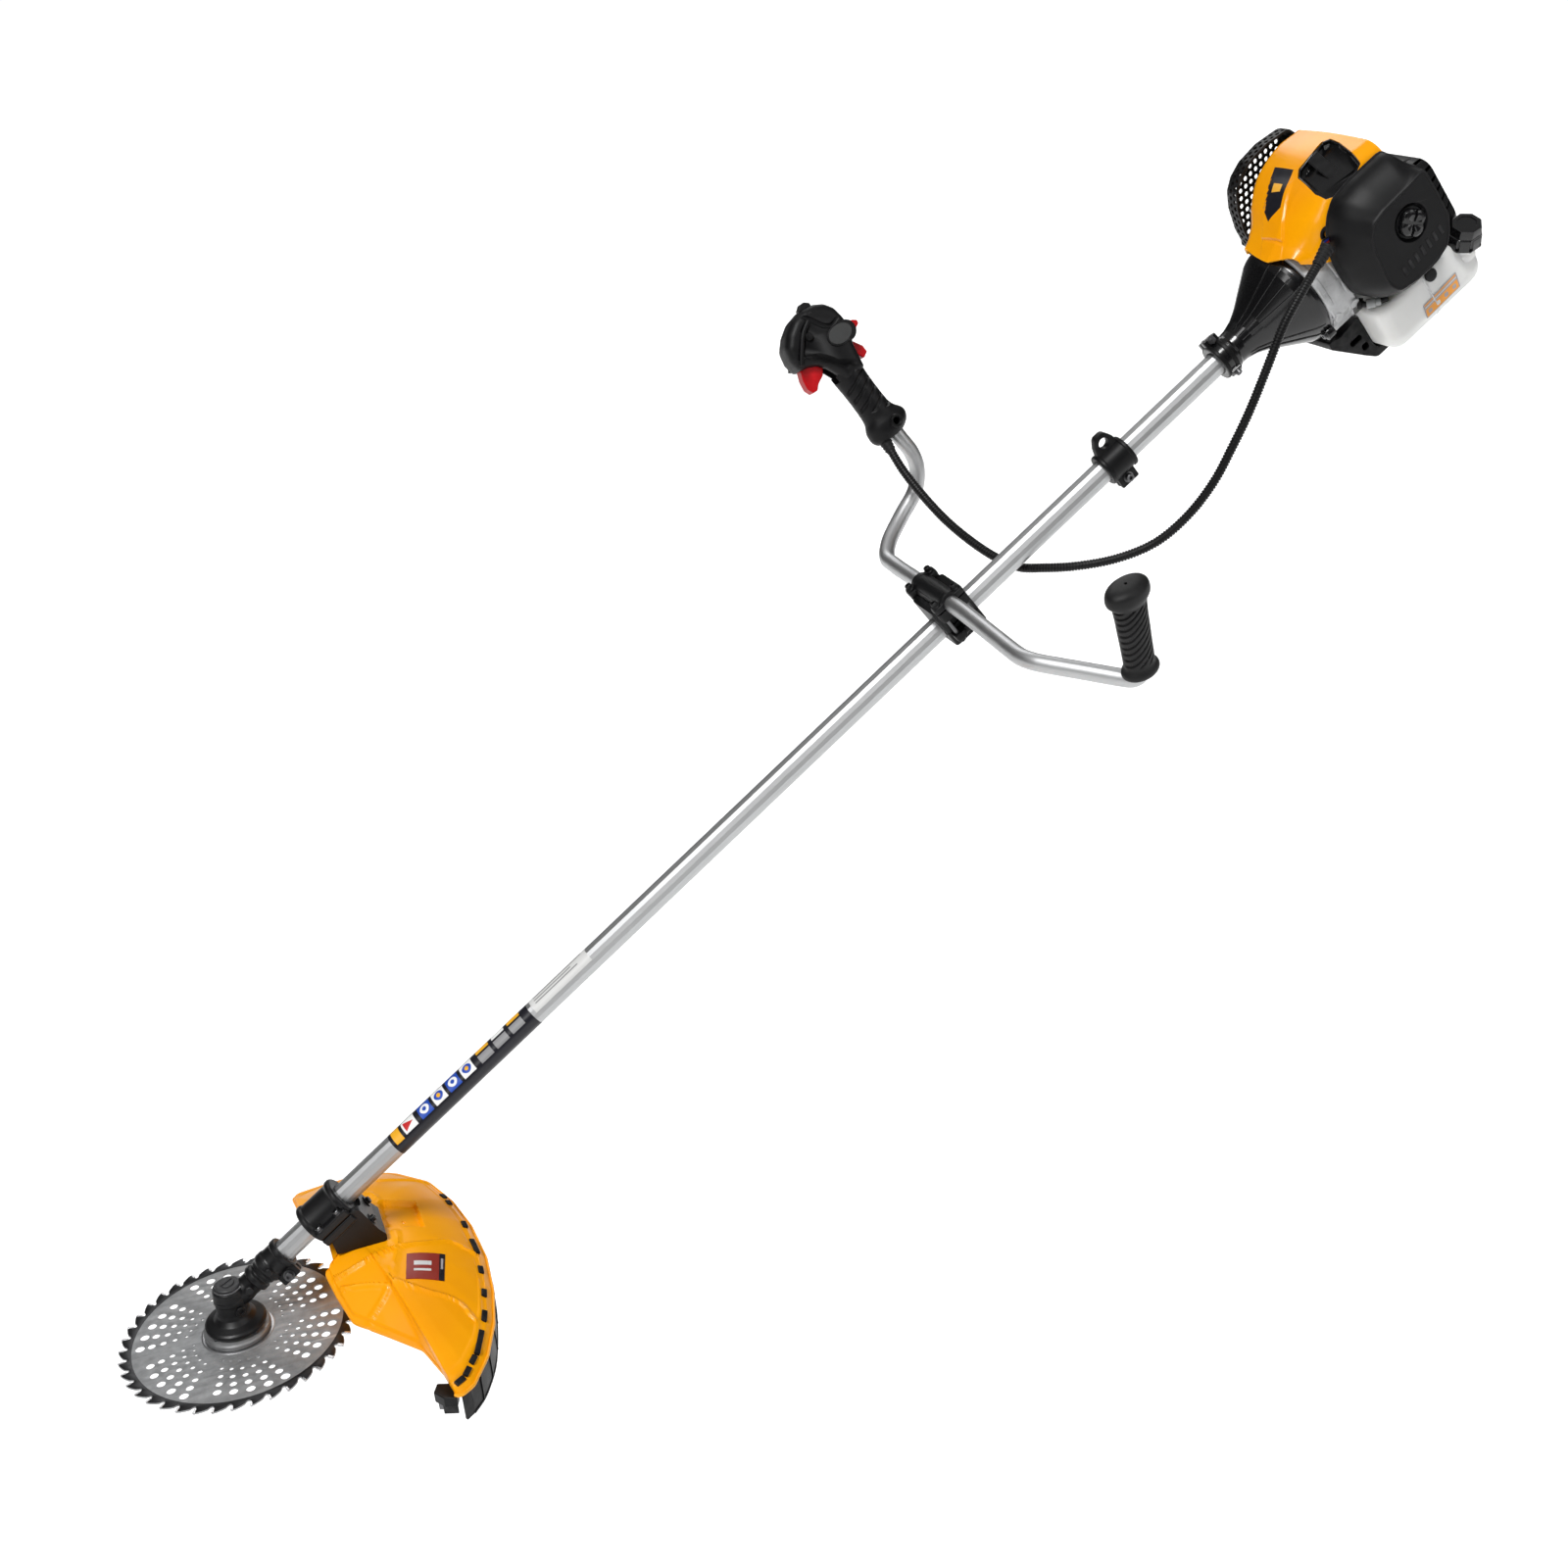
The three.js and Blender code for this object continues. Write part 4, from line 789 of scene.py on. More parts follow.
grid = cover_grid()
R_, N_ = len(grid), len(grid[0])
normals = [[None] * N_ for _ in grid]
for i in range(R_):
    for k in range(N_):
        du = grid[min(i + 1, R_ - 1)][k] - grid[max(i - 1, 0)][k]
        dv = grid[i][min(k + 1, N_ - 1)] - grid[i][max(k - 1, 0)]
        nn = dv.cross(du).normalized()
        if nn.dot(grid[i][k] - Vector((170, 10, 20))) < 0:
            nn = -nn
        normals[i][k] = nn
for i in range(R_):
    for k in range(N_):
        p = grid[i][k]
        h = cover_panel(p.x, p.y, p.z) if p.z > 40 else 0
        grid[i][k] = p + normals[i][k] * (h - 0.0)
verts = [p for r in grid for p in r]
faces = [[i * N_ + k, i * N_ + k + 1, (i + 1) * N_ + k + 1, (i + 1) * N_ + k] for i in range(R_ - 1) for k in range(N_ - 1)]
off = len(verts)
inner = [grid[i][k] - normals[i][k] * 2.4 for i in range(R_) for k in range(N_)]
verts += inner
faces += [[off + q for q in f][::-1] for f in faces]
edge_loop = [k for k in range(N_)] + [i * N_ + N_ - 1 for i in range(1, R_)] + [(R_ - 1) * N_ + k for k in range(N_ - 2, -1, -1)] + [i * N_ for i in range(R_ - 2, 0, -1)]
for a, b in zip(edge_loop, edge_loop[1:] + edge_loop[:1]):
    faces.append([a, b, off + b, off + a])
cover = obj("top_cover_shell", verts, faces, ENGINE, YELLOW, smooth=42, replaces="top_cover", slot="yellow_plastic")

# cooling window: rounded polygon across the top and the left shoulder
WIN = [(173.3, -5.2), (183, 5), (204, 6), (222, 11), (229.5, 4), (226.6, -15.6), (217, -48), (212.8, -62), (201, -64.5), (186, -64.5), (171.5, -64.5), (163, -60), (161.6, -49), (167.5, -27.6)]
win_n = Vector((-0.06, -0.42, 0.905)).normalized()
WM = along((195, -28, 96), win_n, (1, 0, 0))
WMI = WM.inverted()


def on_window(p, z):
    q = WMI @ Vector((p[0], p[1], z))
    return q.x, q.y


win_xy = []
for a, y in WIN:
    z = 99.5 if y > -50 else 99.5 - (abs(y) - 50) * 0.85
    win_xy.append(on_window((a, y), z))
win_out = [(p[0], p[1]) for p in fillet([(x, y, 0) for x, y in win_xy], 3, 4, True)]


def inset(poly, d):
    out, n = [], len(poly)
    area2 = sum(poly[i][0] * poly[(i + 1) % n][1] - poly[(i + 1) % n][0] * poly[i][1] for i in range(n))
    s = 1 if area2 > 0 else -1
    for i in range(n):
        p, q, r = Vector(poly[i - 1]), Vector(poly[i]), Vector(poly[(i + 1) % n])
        e1, e2 = (q - p).normalized(), (r - q).normalized()
        n1, n2 = Vector((-e1.y, e1.x)) * s, Vector((-e2.y, e2.x)) * s
        m = (n1 + n2)
        if m.length < 1e-6:
            m = n1
        m.normalize()
        out.append(tuple(q + m * d / max(0.35, m.dot(n1))))
    return out


carve(cover, slab(win_out, -40, 40, ENGINE @ WM))
# black insert: a rim, a tray that falls away behind it, and a fold across it
rim_o, rim_i, deep = inset(win_out, 0.35), inset(win_out, 2.6), inset(win_out, 6.5)


def shell_height(x, y):
    """Height above the window's plane of the cover's outer surface."""
    p = WM @ Vector((x, y, 0))
    best, hit = None, 0
    for i in range(0, R_, 3):
        for k in range(0, N_, 3):
            q = WMI @ grid[i][k]
            d = (q.x - x) ** 2 + (q.y - y) ** 2
            if best is None or d < best:
                best, hit = d, q.z
    return hit


hs = [shell_height(x, y) for x, y in rim_o]
rings = [[(x, y, h - 4.5) for (x, y), h in zip(rim_o, hs)], [(x, y, h - 0.9) for (x, y), h in zip(rim_o, hs)], [(x, y, h - 0.6) for (x, y), h in zip(inset(win_out, 0.9), hs)],
         [(x, y, h - 1.0) for (x, y), h in zip(inset(win_out, 1.9), hs)], [(x, y, h - 5.0) for (x, y), h in zip(rim_i, hs)], [(x, y, h - 7.5) for (x, y), h in zip(deep, hs)]]
v, f = skin(rings, cap=False)
n = len(rim_o)
f.append(list(range(5 * n, 6 * n)))
obj("cover_window_insert", v, f, ENGINE @ WM, BLACK_GLOSS, smooth=30, slot="black_plastic")
# the fold down the middle of the insert
cx = sum(p[0] for p in deep) / n
cy = sum(p[1] for p in deep) / n
fold = [(cx - 3, max(p[1] for p in deep) - 3), (cx + 12, max(p[1] for p in deep) - 2), (cx + 4, min(p[1] for p in deep) + 8), (cx - 10, min(p[1] for p in deep) + 9)]
hm = sum(hs) / n - 7.6
prism("cover_window_fold", fold, hm, hm + 2.2, ENGINE @ WM, bevel=1.4, seg=3, mat=BLACK)


# ------------------------------------------------------------------ air filter cover and its knob
def resample2(poly, n):
    P = [Vector((*p, 0)) for p in poly]
    P.append(P[0])
    q = resample(P, sum((b - a).length for a, b in zip(P, P[1:])) / n)
    return [(p.x, p.y) for p in q[:n]]


BASE = [(236, 90), (188, 90.5), (165, 87.5), (151, 77), (142, 65), (134.5, 50), (130, 30), (129.5, 8), (132, -12), (149, -34), (172, -47), (206, -48), (228, -38), (243, -22), (247.5, 10), (247.5, 62)]
FACE = [(245, 64), (216, 61.5), (184, 60.5), (168.5, 57), (159, 47), (154.5, 33), (152, 8), (151, -12), (158, -26), (184, -31), (209, -31), (228, -25), (238, -13), (245, 2), (246, 34)]
base = [(p[0], p[1]) for p in fillet([(x, z, 0) for x, z in BASE], [8, 14, 12, 12, 12, 12, 12, 12, 14, 16, 14, 12, 10, 8, 14, 14], 5, True)]
face = [(p[0], p[1]) for p in fillet([(x, z, 0) for x, z in FACE], [3, 10, 10, 6, 6, 6, 10, 6, 8, 10, 8, 8, 5, 5, 10], 5, True)]
NF = 132
# rings start at the same corner and keep step by angle about the middle
def by_angle(poly, n, c=(198, 20)):
    P = resample2(poly, 900)
    out = []
    A = [math.atan2(z - c[1], x - c[0]) % tau for x, z in P]
    for i in range(n):
        t = tau * i / n
        k = min(range(len(P)), key=lambda j: min(abs(A[j] - t), tau - abs(A[j] - t)))
        out.append(P[k])
    for _ in range(1):
        out = [((out[i - 1][0] + 2 * out[i][0] + out[(i + 1) % n][0]) / 4, (out[i - 1][1] + 2 * out[i][1] + out[(i + 1) % n][1]) / 4) for i in range(n)]
    return out


B_, F_ = by_angle(base, NF), by_angle(face, NF)


def filter_ring(y, k, d=0.0):
    out = []
    for (bx, bz), (fx, fz) in zip(B_, F_):
        x, z = bx + (fx - bx) * k, bz + (fz - bz) * k
        u = Vector((198 - x, 20 - z)).normalized()
        out.append((x + u.x * d, y, z + u.y * d))
    return out


rings = [filter_ring(-70, 0, 3), filter_ring(-66.6, 0, 2.6), filter_ring(-66.4, 0, 0.2), filter_ring(-67.6, 0, -0.3), filter_ring(-70, 0.0, 0.6), filter_ring(-70.8, 0.0, 1.0), filter_ring(-71.6, 0.0, 0.4), filter_ring(-76, 0.02, 0.5),
         filter_ring(-80, 0.07), filter_ring(-86, 0.18), filter_ring(-92, 0.33), filter_ring(-98, 0.52), filter_ring(-103, 0.71), filter_ring(-107, 0.88), filter_ring(-109, 0.97), filter_ring(-109.7, 1.0, 0.0),
         filter_ring(-110.7, 1.0, 0.5), filter_ring(-111.1, 1.0, 1.1), filter_ring(-111.1, 1.0, 1.8), filter_ring(-110.7, 1.0, 2.4), filter_ring(-110.2, 1.0, 2.9), filter_ring(-110.2, 1.0, 5)]
v, f = skin(rings, cap=True)
fc = obj("air_filter_shell", v, f, ENGINE, BLACK_SATIN, smooth=50, replaces="air_filter_cover", slot="black_plastic")
KN = ENGINE @ along((205, -108, 26), (0, -1, 0), (1, 0, 0))
dish = tool(*revolve([(0, -2.2), (17.2, -2.2), (18.6, -0.4), (20.2, 2.1), (21.2, 3.2), (21.2, 6), (0, 6)], 56, 0.8, 3), KN)
carve(fc, [dish])
# opening by which the cable reaches the carburettor, with its wires
lathe("cable_port", [(5.8, -3), (9.5, -3), (10.5, -1.4), (10.2, 1.2), (8.6, 1.8), (7.2, 1.0), (6.4, -1.2), (5.8, -3)], ENGINE @ along((143.5, -68.2, 58), (-0.72, -0.62, 0.2)), seg=36, r=0.5, mat=BLACK)
for i, (col, dx) in enumerate((((0.25, 0.012, 0.01), -2.2), ((0.01, 0.02, 0.18), 0.4), ((0.012, 0.012, 0.012), 2.6))):
    w = plastic(f"wire_{i}", col, 0.35, 300, 0.05)
    d = Vector((0.69, 0.25, 0.68))
    s = Vector((107.0, -86.5, 52.5)) + Vector((16.0, 6.0, 5.4)) + Vector((0, dx * 0.6, dx))
    pth = spline([s, s + Vector((7, 3.5, 2.5)), Vector((138, -70.5, 57 + dx * 0.8)), Vector((146, -66.5, 59 + dx * 0.5))], 8)
    obj(f"switch_wire_{i}", *sweep(pth, 1.15, 12), ENGINE, w, smooth=60)


def lobes(t, r, z):
    return -(2.6 if z > 3 else 1.4) * (0.5 - 0.5 * math.cos(4 * t)) ** 2 * (1 if r > 4 else 0)


kv, kf = revolve([(0, -1.5), (14.6, -1.5), (15.6, 0.5), (15.8, 4.5), (15.0, 6.6), (12.8, 7.9), (9.6, 8.4), (6.0, 7.4), (3.2, 6.6), (0, 6.4)], 96, 0.8, 3, wave=lobes)
lathe("knob_skirt", [(0, -2), (16.8, -2), (16.8, -0.8), (16.2, 0), (0, 0)], KN, seg=64, mat=BLACK, body="filter_knob")
knob = obj("filter_knob", kv, kf, KN, BLACK_GLOSS, smooth=60, body="filter_knob", replaces="filter_cover_knob", slot="black_plastic")
cross = []
for k in range(2):
    a = tau * (k / 4 + 0.125)
    t, t2 = Vector((math.cos(a), math.sin(a), 0)), Vector((-math.sin(a), math.cos(a), 0))
    pv, pf = prism_data([tuple((t * x + t2 * y)[:2]) for x, y in ((-16, -1.7), (16, -1.7), (16, 1.7), (-16, 1.7))], 5.0, 14)
    cross.append(tool(pv, pf, KN))
carve(knob, cross)

# ------------------------------------------------------------------ recoil starter cover
SP = [(0, 209), (61.5, 209), (63.6, 211), (64, 214), (64, 262), (62.4, 270), (57, 279), (46, 283.6), (20, 284), (0, 284)]
SQ = [Vector((p[0], p[1])) for p in fillet([(-68, 43, 0), (68, 43, 0), (68, -44, 0), (40, -65, 0), (-40, -65, 0), (-68, -44, 0)], [17, 17, 26, 22, 22, 26], 8, True)]
SQ = [Vector(p) for p in resample2([tuple(p) for p in SQ], 120)]


def starter_ring(r, a):
    return [(a, p.x * r / 64, p.y * r / 64) for p in SQ]


prof = [(p[0], p[1]) for p in fillet([(a, r, 0) for r, a in SP[1:-1]], 3, 4)]
rings = [starter_ring(r, a) for a, r in prof]
v, f = skin([starter_ring(58, 209)] + rings + [starter_ring(12, 284.0)], cap=True)
st = obj("recoil_cover", v, f, ENGINE, BLACK, smooth=40, replaces="starter_housing", slot="black_plastic")
cuts = []
for i in range(34):
    t = tau * i / 34
    M = ENGINE @ Matrix.Rotation(t, 4, "X")
    cuts.append(tool(*prism_data([(266, -2.0), (279, -1.5), (279, 1.5), (266, 2.0)], 50 if i % 2 else 54, 90), M))
for i in range(16):
    M = ENGINE @ Matrix.Rotation(tau * (i + 0.5) / 16, 4, "X")
    cuts.append(tool(*prism_data([(281, -2.4), (286, -2.4), (286, 2.4), (281, 2.4)], 20, 36), M))
merged = merge("cutters", cuts, body=None)
carve(st, merged)
lathe("recoil_hub", [(0, 283.2), (14, 283.2), (14, 284.4), (11, 284.6), (0, 284.6)], ENGINE, "x", 48, 0.6, mat=BLACK)
for y, z in ((-47, -36), (47, -36), (-52, 26), (52, 26)):
    boss = lathe("recoil_lug", [(0, 0), (6.4, 0), (6.0, 9), (4.8, 10), (0, 10)], ENGINE @ Matrix.Translation((238, y * 1.2, z * 1.2)), "x", 28, 0.6, mat=BLACK)
    merge("recoil_screw", cap_screw(ENGINE @ along((248, y * 1.2, z * 1.2), (1, 0, 0)), 3.6, 3.6, ZINC), body="frame")
# rope guide and handle
block("rope_guide", 250, 274, 55, 71.0, -10, 10, ENGINE, r=2.2, seg=3, mat=BLACK)
lathe("rope_ferrule", [(2.6, 70.2), (6.2, 70.2), (6.2, 71.6), (4.6, 72.4), (2.6, 72.4), (2.6, 70.2)], ENGINE @ Matrix.Translation((262, 0, 0)), "y", 32, 0.4, mat=ZINC)
hv = [((1 - 0.0), 0)]
rings = []
for i in range(25):
    t = i / 24
    z = -22 + 44 * t
    w = 6.0 + 1.2 * math.sin(pi * t) - 2.6 * max(0, abs(t - 0.5) * 2 - 0.86) / 0.14
    d = 4.9 - 2.2 * max(0, abs(t - 0.5) * 2 - 0.86) / 0.14 - 0.6 * math.cos(pi * (t - 0.5)) ** 2
    rings.append([(262 + w * math.cos(tau * k / 28), 76.0 + d * math.sin(tau * k / 28) * 0.95, z) for k in range(28)])
grip_v, grip_f = skin(rings)
hg = obj("starter_grip", grip_v, grip_f, ENGINE, BLACK, smooth=50, body="recoil_handle", replaces="starter_handle", slot="black_plastic")
lathe("starter_grip_neck", [(0, 72.6), (3.4, 72.6), (5.2, 77), (5.0, 83.4), (3.4, 84), (0, 84)], ENGINE @ Matrix.Translation((262, 0, 0)), "y", 32, 0.6, mat=BLACK, body="recoil_handle")

# ------------------------------------------------------------------ fuel tank, cap, label
def tank_finish():
    n = Nodes("translucent_tank")
    slow = n.noise(12, 3)
    col = n.mix(n.to(slow, 0, 1, 0.3, 0.7), (0.80, 0.80, 0.785), (0.68, 0.685, 0.675))
    # painted shade: the tank made darker grey towards the bottom, by height
    z = n.new("ShaderNodeSeparateXYZ", {"Vector": n.coord()}).outputs[2]
    col = n.mix(n.to(z, 0.22, 0.0, 0.05, 0.17), col, (0.60, 0.60, 0.58))
    n.put(Base_Color=col, Roughness=n.to(n.noise(50, 4), 0.30, 0.42), Subsurface_Weight=0.5, Subsurface_Radius=(0.02, 0.02, 0.018), Subsurface_Scale=0.5, Specular_IOR_Level=0.4, Normal=n.bump(n.noise(500, 3), 0.12, 0.0004))
    return n.mat


TANK = tank_finish()
NODES["fuel_tank"].data.materials.clear()
NODES["fuel_tank"].data.materials.append(TANK)


def tank_section(a, s):
    y, zt, zb = 77 - s, -50 - s * 0.45, -108 + s * 0.7
    pts = fillet([(-y + 9, zb, 0), (y - 9, zb, 0), (y, zb + 14, 0), (y, zt, 0), (-y, zt, 0), (-y, zb + 14, 0)], [14, 14, 14, 10, 10, 14], 7, True)
    return [(a, p[0], p[1]) for p in pts]


rings = [tank_section(a, s) for a, s in ((141, 20), (141.3, 13), (142.6, 8), (145, 4), (149, 1.4), (154, 0.3), (160, 0), (200, -0.0), (206, 0.0), (252, 0), (258, 0.5), (264, 2), (268, 4.6), (271, 8.5), (272.6, 13), (273, 20))]
tank = obj("tank_body", *skin(rings), ENGINE, TANK, smooth=50, replaces="fuel_tank", slot="tank_plastic")
carve(tank, rod(66, 120, 300, ENGINE @ turn("x"), 96))
groove = obj("tank_seam", *skin([[(p[0] + (0 if abs(p[0]) > 1e9 else 0), p[1], p[2]) for p in tank_section(203 + da, s)] for da, s in ((-1.2, 0.1), (-0.7, -0.55), (0.7, -0.55), (1.2, 0.1))]), ENGINE, TANK, smooth=40)
carve(groove, rod(66.4, 120, 300, ENGINE @ turn("x"), 96))
CAP_AT, CAP_DIR = Vector((262, -68, -66)), Vector((0.3, -0.45, 0.84)).normalized()
CAPM = ENGINE @ along(CAP_AT, CAP_DIR, (1, 0, 0))
lathe("tank_neck", [(0, -9), (15.5, -9), (14.4, -2), (13.4, 0), (13.4, 10), (0, 10)], CAPM, seg=48, r=0.8, mat=TANK)


def octo(r, z, n=8, amt=0.5):
    pts = fillet([(r * math.cos(tau * (i + 0.5) / n), r * math.sin(tau * (i + 0.5) / n), 0) for i in range(n)], amt * 4, 4, True)
    return [(p[0], p[1], z) for p in pts]


cap_rings = [octo(15.5, 6.4), octo(19.2, 6.8), octo(19.8, 8.0), octo(19.2, 14), octo(18.8, 20.6), octo(18.2, 21.6), octo(16.9, 22.2), octo(16.9, 31.0), octo(16.2, 32.4), octo(14.6, 33.0), octo(11, 33.0), octo(10.4, 32.2), octo(3, 32.2)]
cap_o = obj("tank_cap", *skin(cap_rings), CAPM, BLACK_GLOSS, smooth=32, body="cap", replaces="fuel_cap", slot="black_plastic")
grips = []
for i in range(8):
    M = CAPM @ Matrix.Rotation(tau * (i + 0.5) / 8, 4, "Z")
    grips.append(tool(*prism_data(ngon(2.4, 16, 19.6, 0), 9, 40), M))
carve(cap_o, grips)
lathe("tank_grommet", [(0, -1), (7, -1), (7.4, 1.2), (5.6, 2.6), (3.4, 3), (0, 3)], ENGINE @ along((212, -77.2, -58), (0, -1, 0.1)), seg=40, r=0.6, mat=RUBBER)


def label(name, a_col, b_col, bands, vec_scale=(1, 1, 1), axis=0, rough=0.35):
    """Printed label: flat colours in bands, split at given places along an axis of the object's coordinates."""
    n = Nodes(name)
    x = n.new("ShaderNodeSeparateXYZ", {"Vector": n.coord()}).outputs[axis]
    col = a_col
    for p, c in bands:
        col = n.mix(n.math("GREATER_THAN", x, p), col, c)
    n.put(Base_Color=col, Roughness=n.to(n.noise(80, 3), rough - 0.05, rough + 0.08), Specular_IOR_Level=0.5, Normal=n.bump(n.noise(600, 2), 0.03, 0.0002))
    return n.mat


ORANGE_PRINT = plastic("label_orange", (0.80, 0.33, 0.05), 0.35, 500, 0.03, 0.5, vary=0.08)
GREY_PRINT = plastic("label_grey", (0.36, 0.33, 0.34), 0.35, 500, 0.03, 0.5, vary=0.08)
DARK_PRINT = plastic("label_dark", (0.009, 0.009, 0.014), 0.3, 500, 0.03, 0.4, vary=0.1)
PALE_PRINT = plastic("label_pale", (0.62, 0.62, 0.61), 0.35, 500, 0.03, 0.5, vary=0.05)
YT = -77.25
LM = ENGINE @ Matrix(((1, 0, 0, 0), (0, 0, -1, YT), (0, 1, 0, 0), (0, 0, 0, 1)))


def decal(name, poly, M, mat, z0=-0.1, z1=0.12, r=0.0, **kw):
    if r:
        poly = [(p[0], p[1]) for p in fillet([(x, y, 0) for x, y in poly], r, 4, True)]
    return prism(name, poly, z0, z1, M, mat=mat, smooth=30, **kw)


def quad(p, q, r, s, u0, u1, v0, v1):
    """Part of a four-cornered patch."""
    at = lambda u, v: ((1 - v) * ((1 - u) * p[0] + u * q[0]) + v * ((1 - u) * s[0] + u * r[0]), (1 - v) * ((1 - u) * p[1] + u * q[1]) + v * ((1 - u) * s[1] + u * r[1]))
    return [at(u0, v0), at(u1, v0), at(u1, v1), at(u0, v1)]


L4 = ((188, -80.5), (238, -77.5), (235, -95), (185, -96))
decal("tank_label", quad(*L4, 0, 1, 0, 1), LM, GREY_PRINT, r=1.0)
decal("tank_label_field", quad(*L4, 0.03, 0.97, 0.42, 0.95), LM, ORANGE_PRINT, 0.0, 0.2)
decal("tank_label_line", quad(*L4, 0.03, 0.97, 0.08, 0.18), LM, ORANGE_PRINT, 0.0, 0.2)
decal("tank_label_line2", quad(*L4, 0.03, 0.97, 0.26, 0.32), LM, PALE_PRINT, 0.0, 0.2)
for u in (0.14, 0.38, 0.62, 0.86):
    decal("tank_label_mark", quad(*L4, u - 0.05, u + 0.05, 0.56, 0.82), LM, GREY_PRINT if u != 0.38 else PALE_PRINT, 0.1, 0.28, 1.0)

# ------------------------------------------------------------------ clutch housing
CP = [(13.4, -8), (19.4, -8), (20.4, -6.5), (20.4, 12), (19.2, 14), (19.8, 22), (23, 34), (29.5, 47), (38, 60), (48, 75.5), (55.5, 87), (58.3, 94), (59.3, 98), (59.5, 104), (55, 104), (52, 90), (37, 65), (13.4, 62), (13.4, -8)]
ch = lathe("clutch_shell", CP, ENGINE, "x", 120, 2.2, 4, mat=BLACK_GLOSS, smooth=40, replaces="clutch_housing", slot="black_gloss")
fins = []
for i, deg in enumerate((-152, -140, -128, -116, -104, -92, -80, -68, 20, 34, 48, 62, 118, 132)):
    t = math.radians(deg)
    M = ENGINE @ Matrix.Rotation(t, 4, "X")
    hgt = 2.6 if deg < 0 else 1.4
    pts = [(24, 19.0), (24, 20.4 + hgt * 0.3), (34, 23 + hgt), (47, 29.5 + hgt), (60, 38 + hgt), (75.5, 48 + hgt), (87, 55.5 + hgt * 0.9), (97, 59 + hgt * 0.4), (99, 57), (75, 45), (60, 35), (40, 23)]
    v, f = prism_data([(z, x) for x, z in pts], -0.9, 0.9)
    fins.append(obj("fin", v, f, M @ Matrix(((0, 1, 0, 0), (0, 0, 1, 0), (1, 0, 0, 0), (0, 0, 0, 1))), BLACK_GLOSS, body=None, bevel=0.5, seg=2))
merge("clutch_ribs", fins, smooth=40)
# flange ears and their screws, at two of four places round it
for deg in (45, 135, 225, 315):
    t = math.radians(deg)
    y, z = 61 * math.cos(t), 61 * math.sin(t)
    M = ENGINE @ Matrix.Translation((92, y, z))
    if deg in (45, 135):
        continue
    lathe("clutch_ear", [(0, 2), (7.2, 2), (7.2, 12), (0, 12)], M, "x", 32, 0.8, mat=BLACK_GLOSS)
    merge("clutch_bolt", cap_screw(ENGINE @ along((94, y, z), (-1, 0, 0)), 3.6, 3.0, DARK_STEEL))
# mouth: split clamp with ears, pinch screw and its knurled head, and a locating lug
lathe("mouth_band", [(13.4, -7.6), (20.9, -7.6), (21.4, -7), (21.4, -3.6), (20.9, -3), (13.4, -3), (13.4, -7.6)], ENGINE, "x", 96, 0.5, mat=BLACK)
lathe("mouth_band_2", [(16, 3.2), (21.0, 3.2), (21.5, 3.8), (21.5, 7.6), (21.0, 8.2), (16, 8.2), (16, 3.2)], ENGINE, "x", 96, 0.5, mat=BLACK)
PM = ENGINE @ Matrix.Rotation(math.radians(-26), 4, "X")
block("pinch_ear_a", -7, 11, -9.2, -1.4, 15, 27, PM, r=1.6, seg=3, mat=BLACK_GLOSS)
block("pinch_ear_b", -7, 11, 1.4, 9.2, 15, 27, PM, r=1.6, seg=3, mat=BLACK_GLOSS)
k = PM @ along((2, 9.2, 22.5), (0, 1, 0))
lathe("pinch_screw_head", [(0, 0), (4.2, 0), (4.4, 0.6), (4.4, 7.4), (3.8, 8.2), (0, 8.2)], k, seg=60, r=0.3, mat=BLACK, wave=lambda t, r, z: 0.32 * math.cos(20 * t) if 4.1 < r and 0.4 < z < 8.8 else 0)
lathe("pinch_screw_end", [(0, 0), (4.6, 0), (4.6, 3.6), (2.6, 3.8), (2.6, 6.4), (0, 6.6)], PM @ along((2, -9.2, 22.5), (0, -1, 0)), seg=6, mat=DARK_STEEL, smooth=30)
QM = ENGINE @ Matrix.Rotation(math.radians(128), 4, "X")
block("locating_lug", -6, 8, -4.4, 4.4, 16, 24, QM, r=1.4, seg=3, mat=BLACK_GLOSS)
merge("locating_screw", cap_screw(QM @ along((1, 0, 24), (0, 0, 1)), 3.4, 3.6, DARK_STEEL))

# ------------------------------------------------------------------ fan housing
FP = [(34, 104.4), (58.4, 104.4), (60.2, 106.5), (60.2, 112), (59.2, 113.5), (59.2, 131), (60.2, 132.5), (60.2, 137), (57, 140.6), (18, 140.6), (18, 137), (50, 135), (50, 107.2), (34, 107.2), (34, 104.4)]
fan = lathe("fan_scroll", FP, ENGINE, "x", 120, 1.4, 3, mat=CAST, smooth=40, replaces="fan_housing", slot="cast_alloy")
for s in (-1, 1):
    o = prism("fan_bracket", [(s * 20, -46), (s * 57, -30), (s * 60, 6), (s * 57, 12), (s * 50, 2), (s * 46, -22), (s * 34, -44), (s * 30, -58), (s * 22, -58)][:: s], 106, 139, ENGINE, "x", bevel=2.2, seg=3, mat=CAST)
    for q in (111, 134):
        lathe("fan_boss", [(0, 0), (5.6, 0), (5.2, 7), (0, 7)], ENGINE @ along((q, s * 52, -28), (0, s * 0.9, -0.4)), seg=28, r=0.6, mat=CAST)
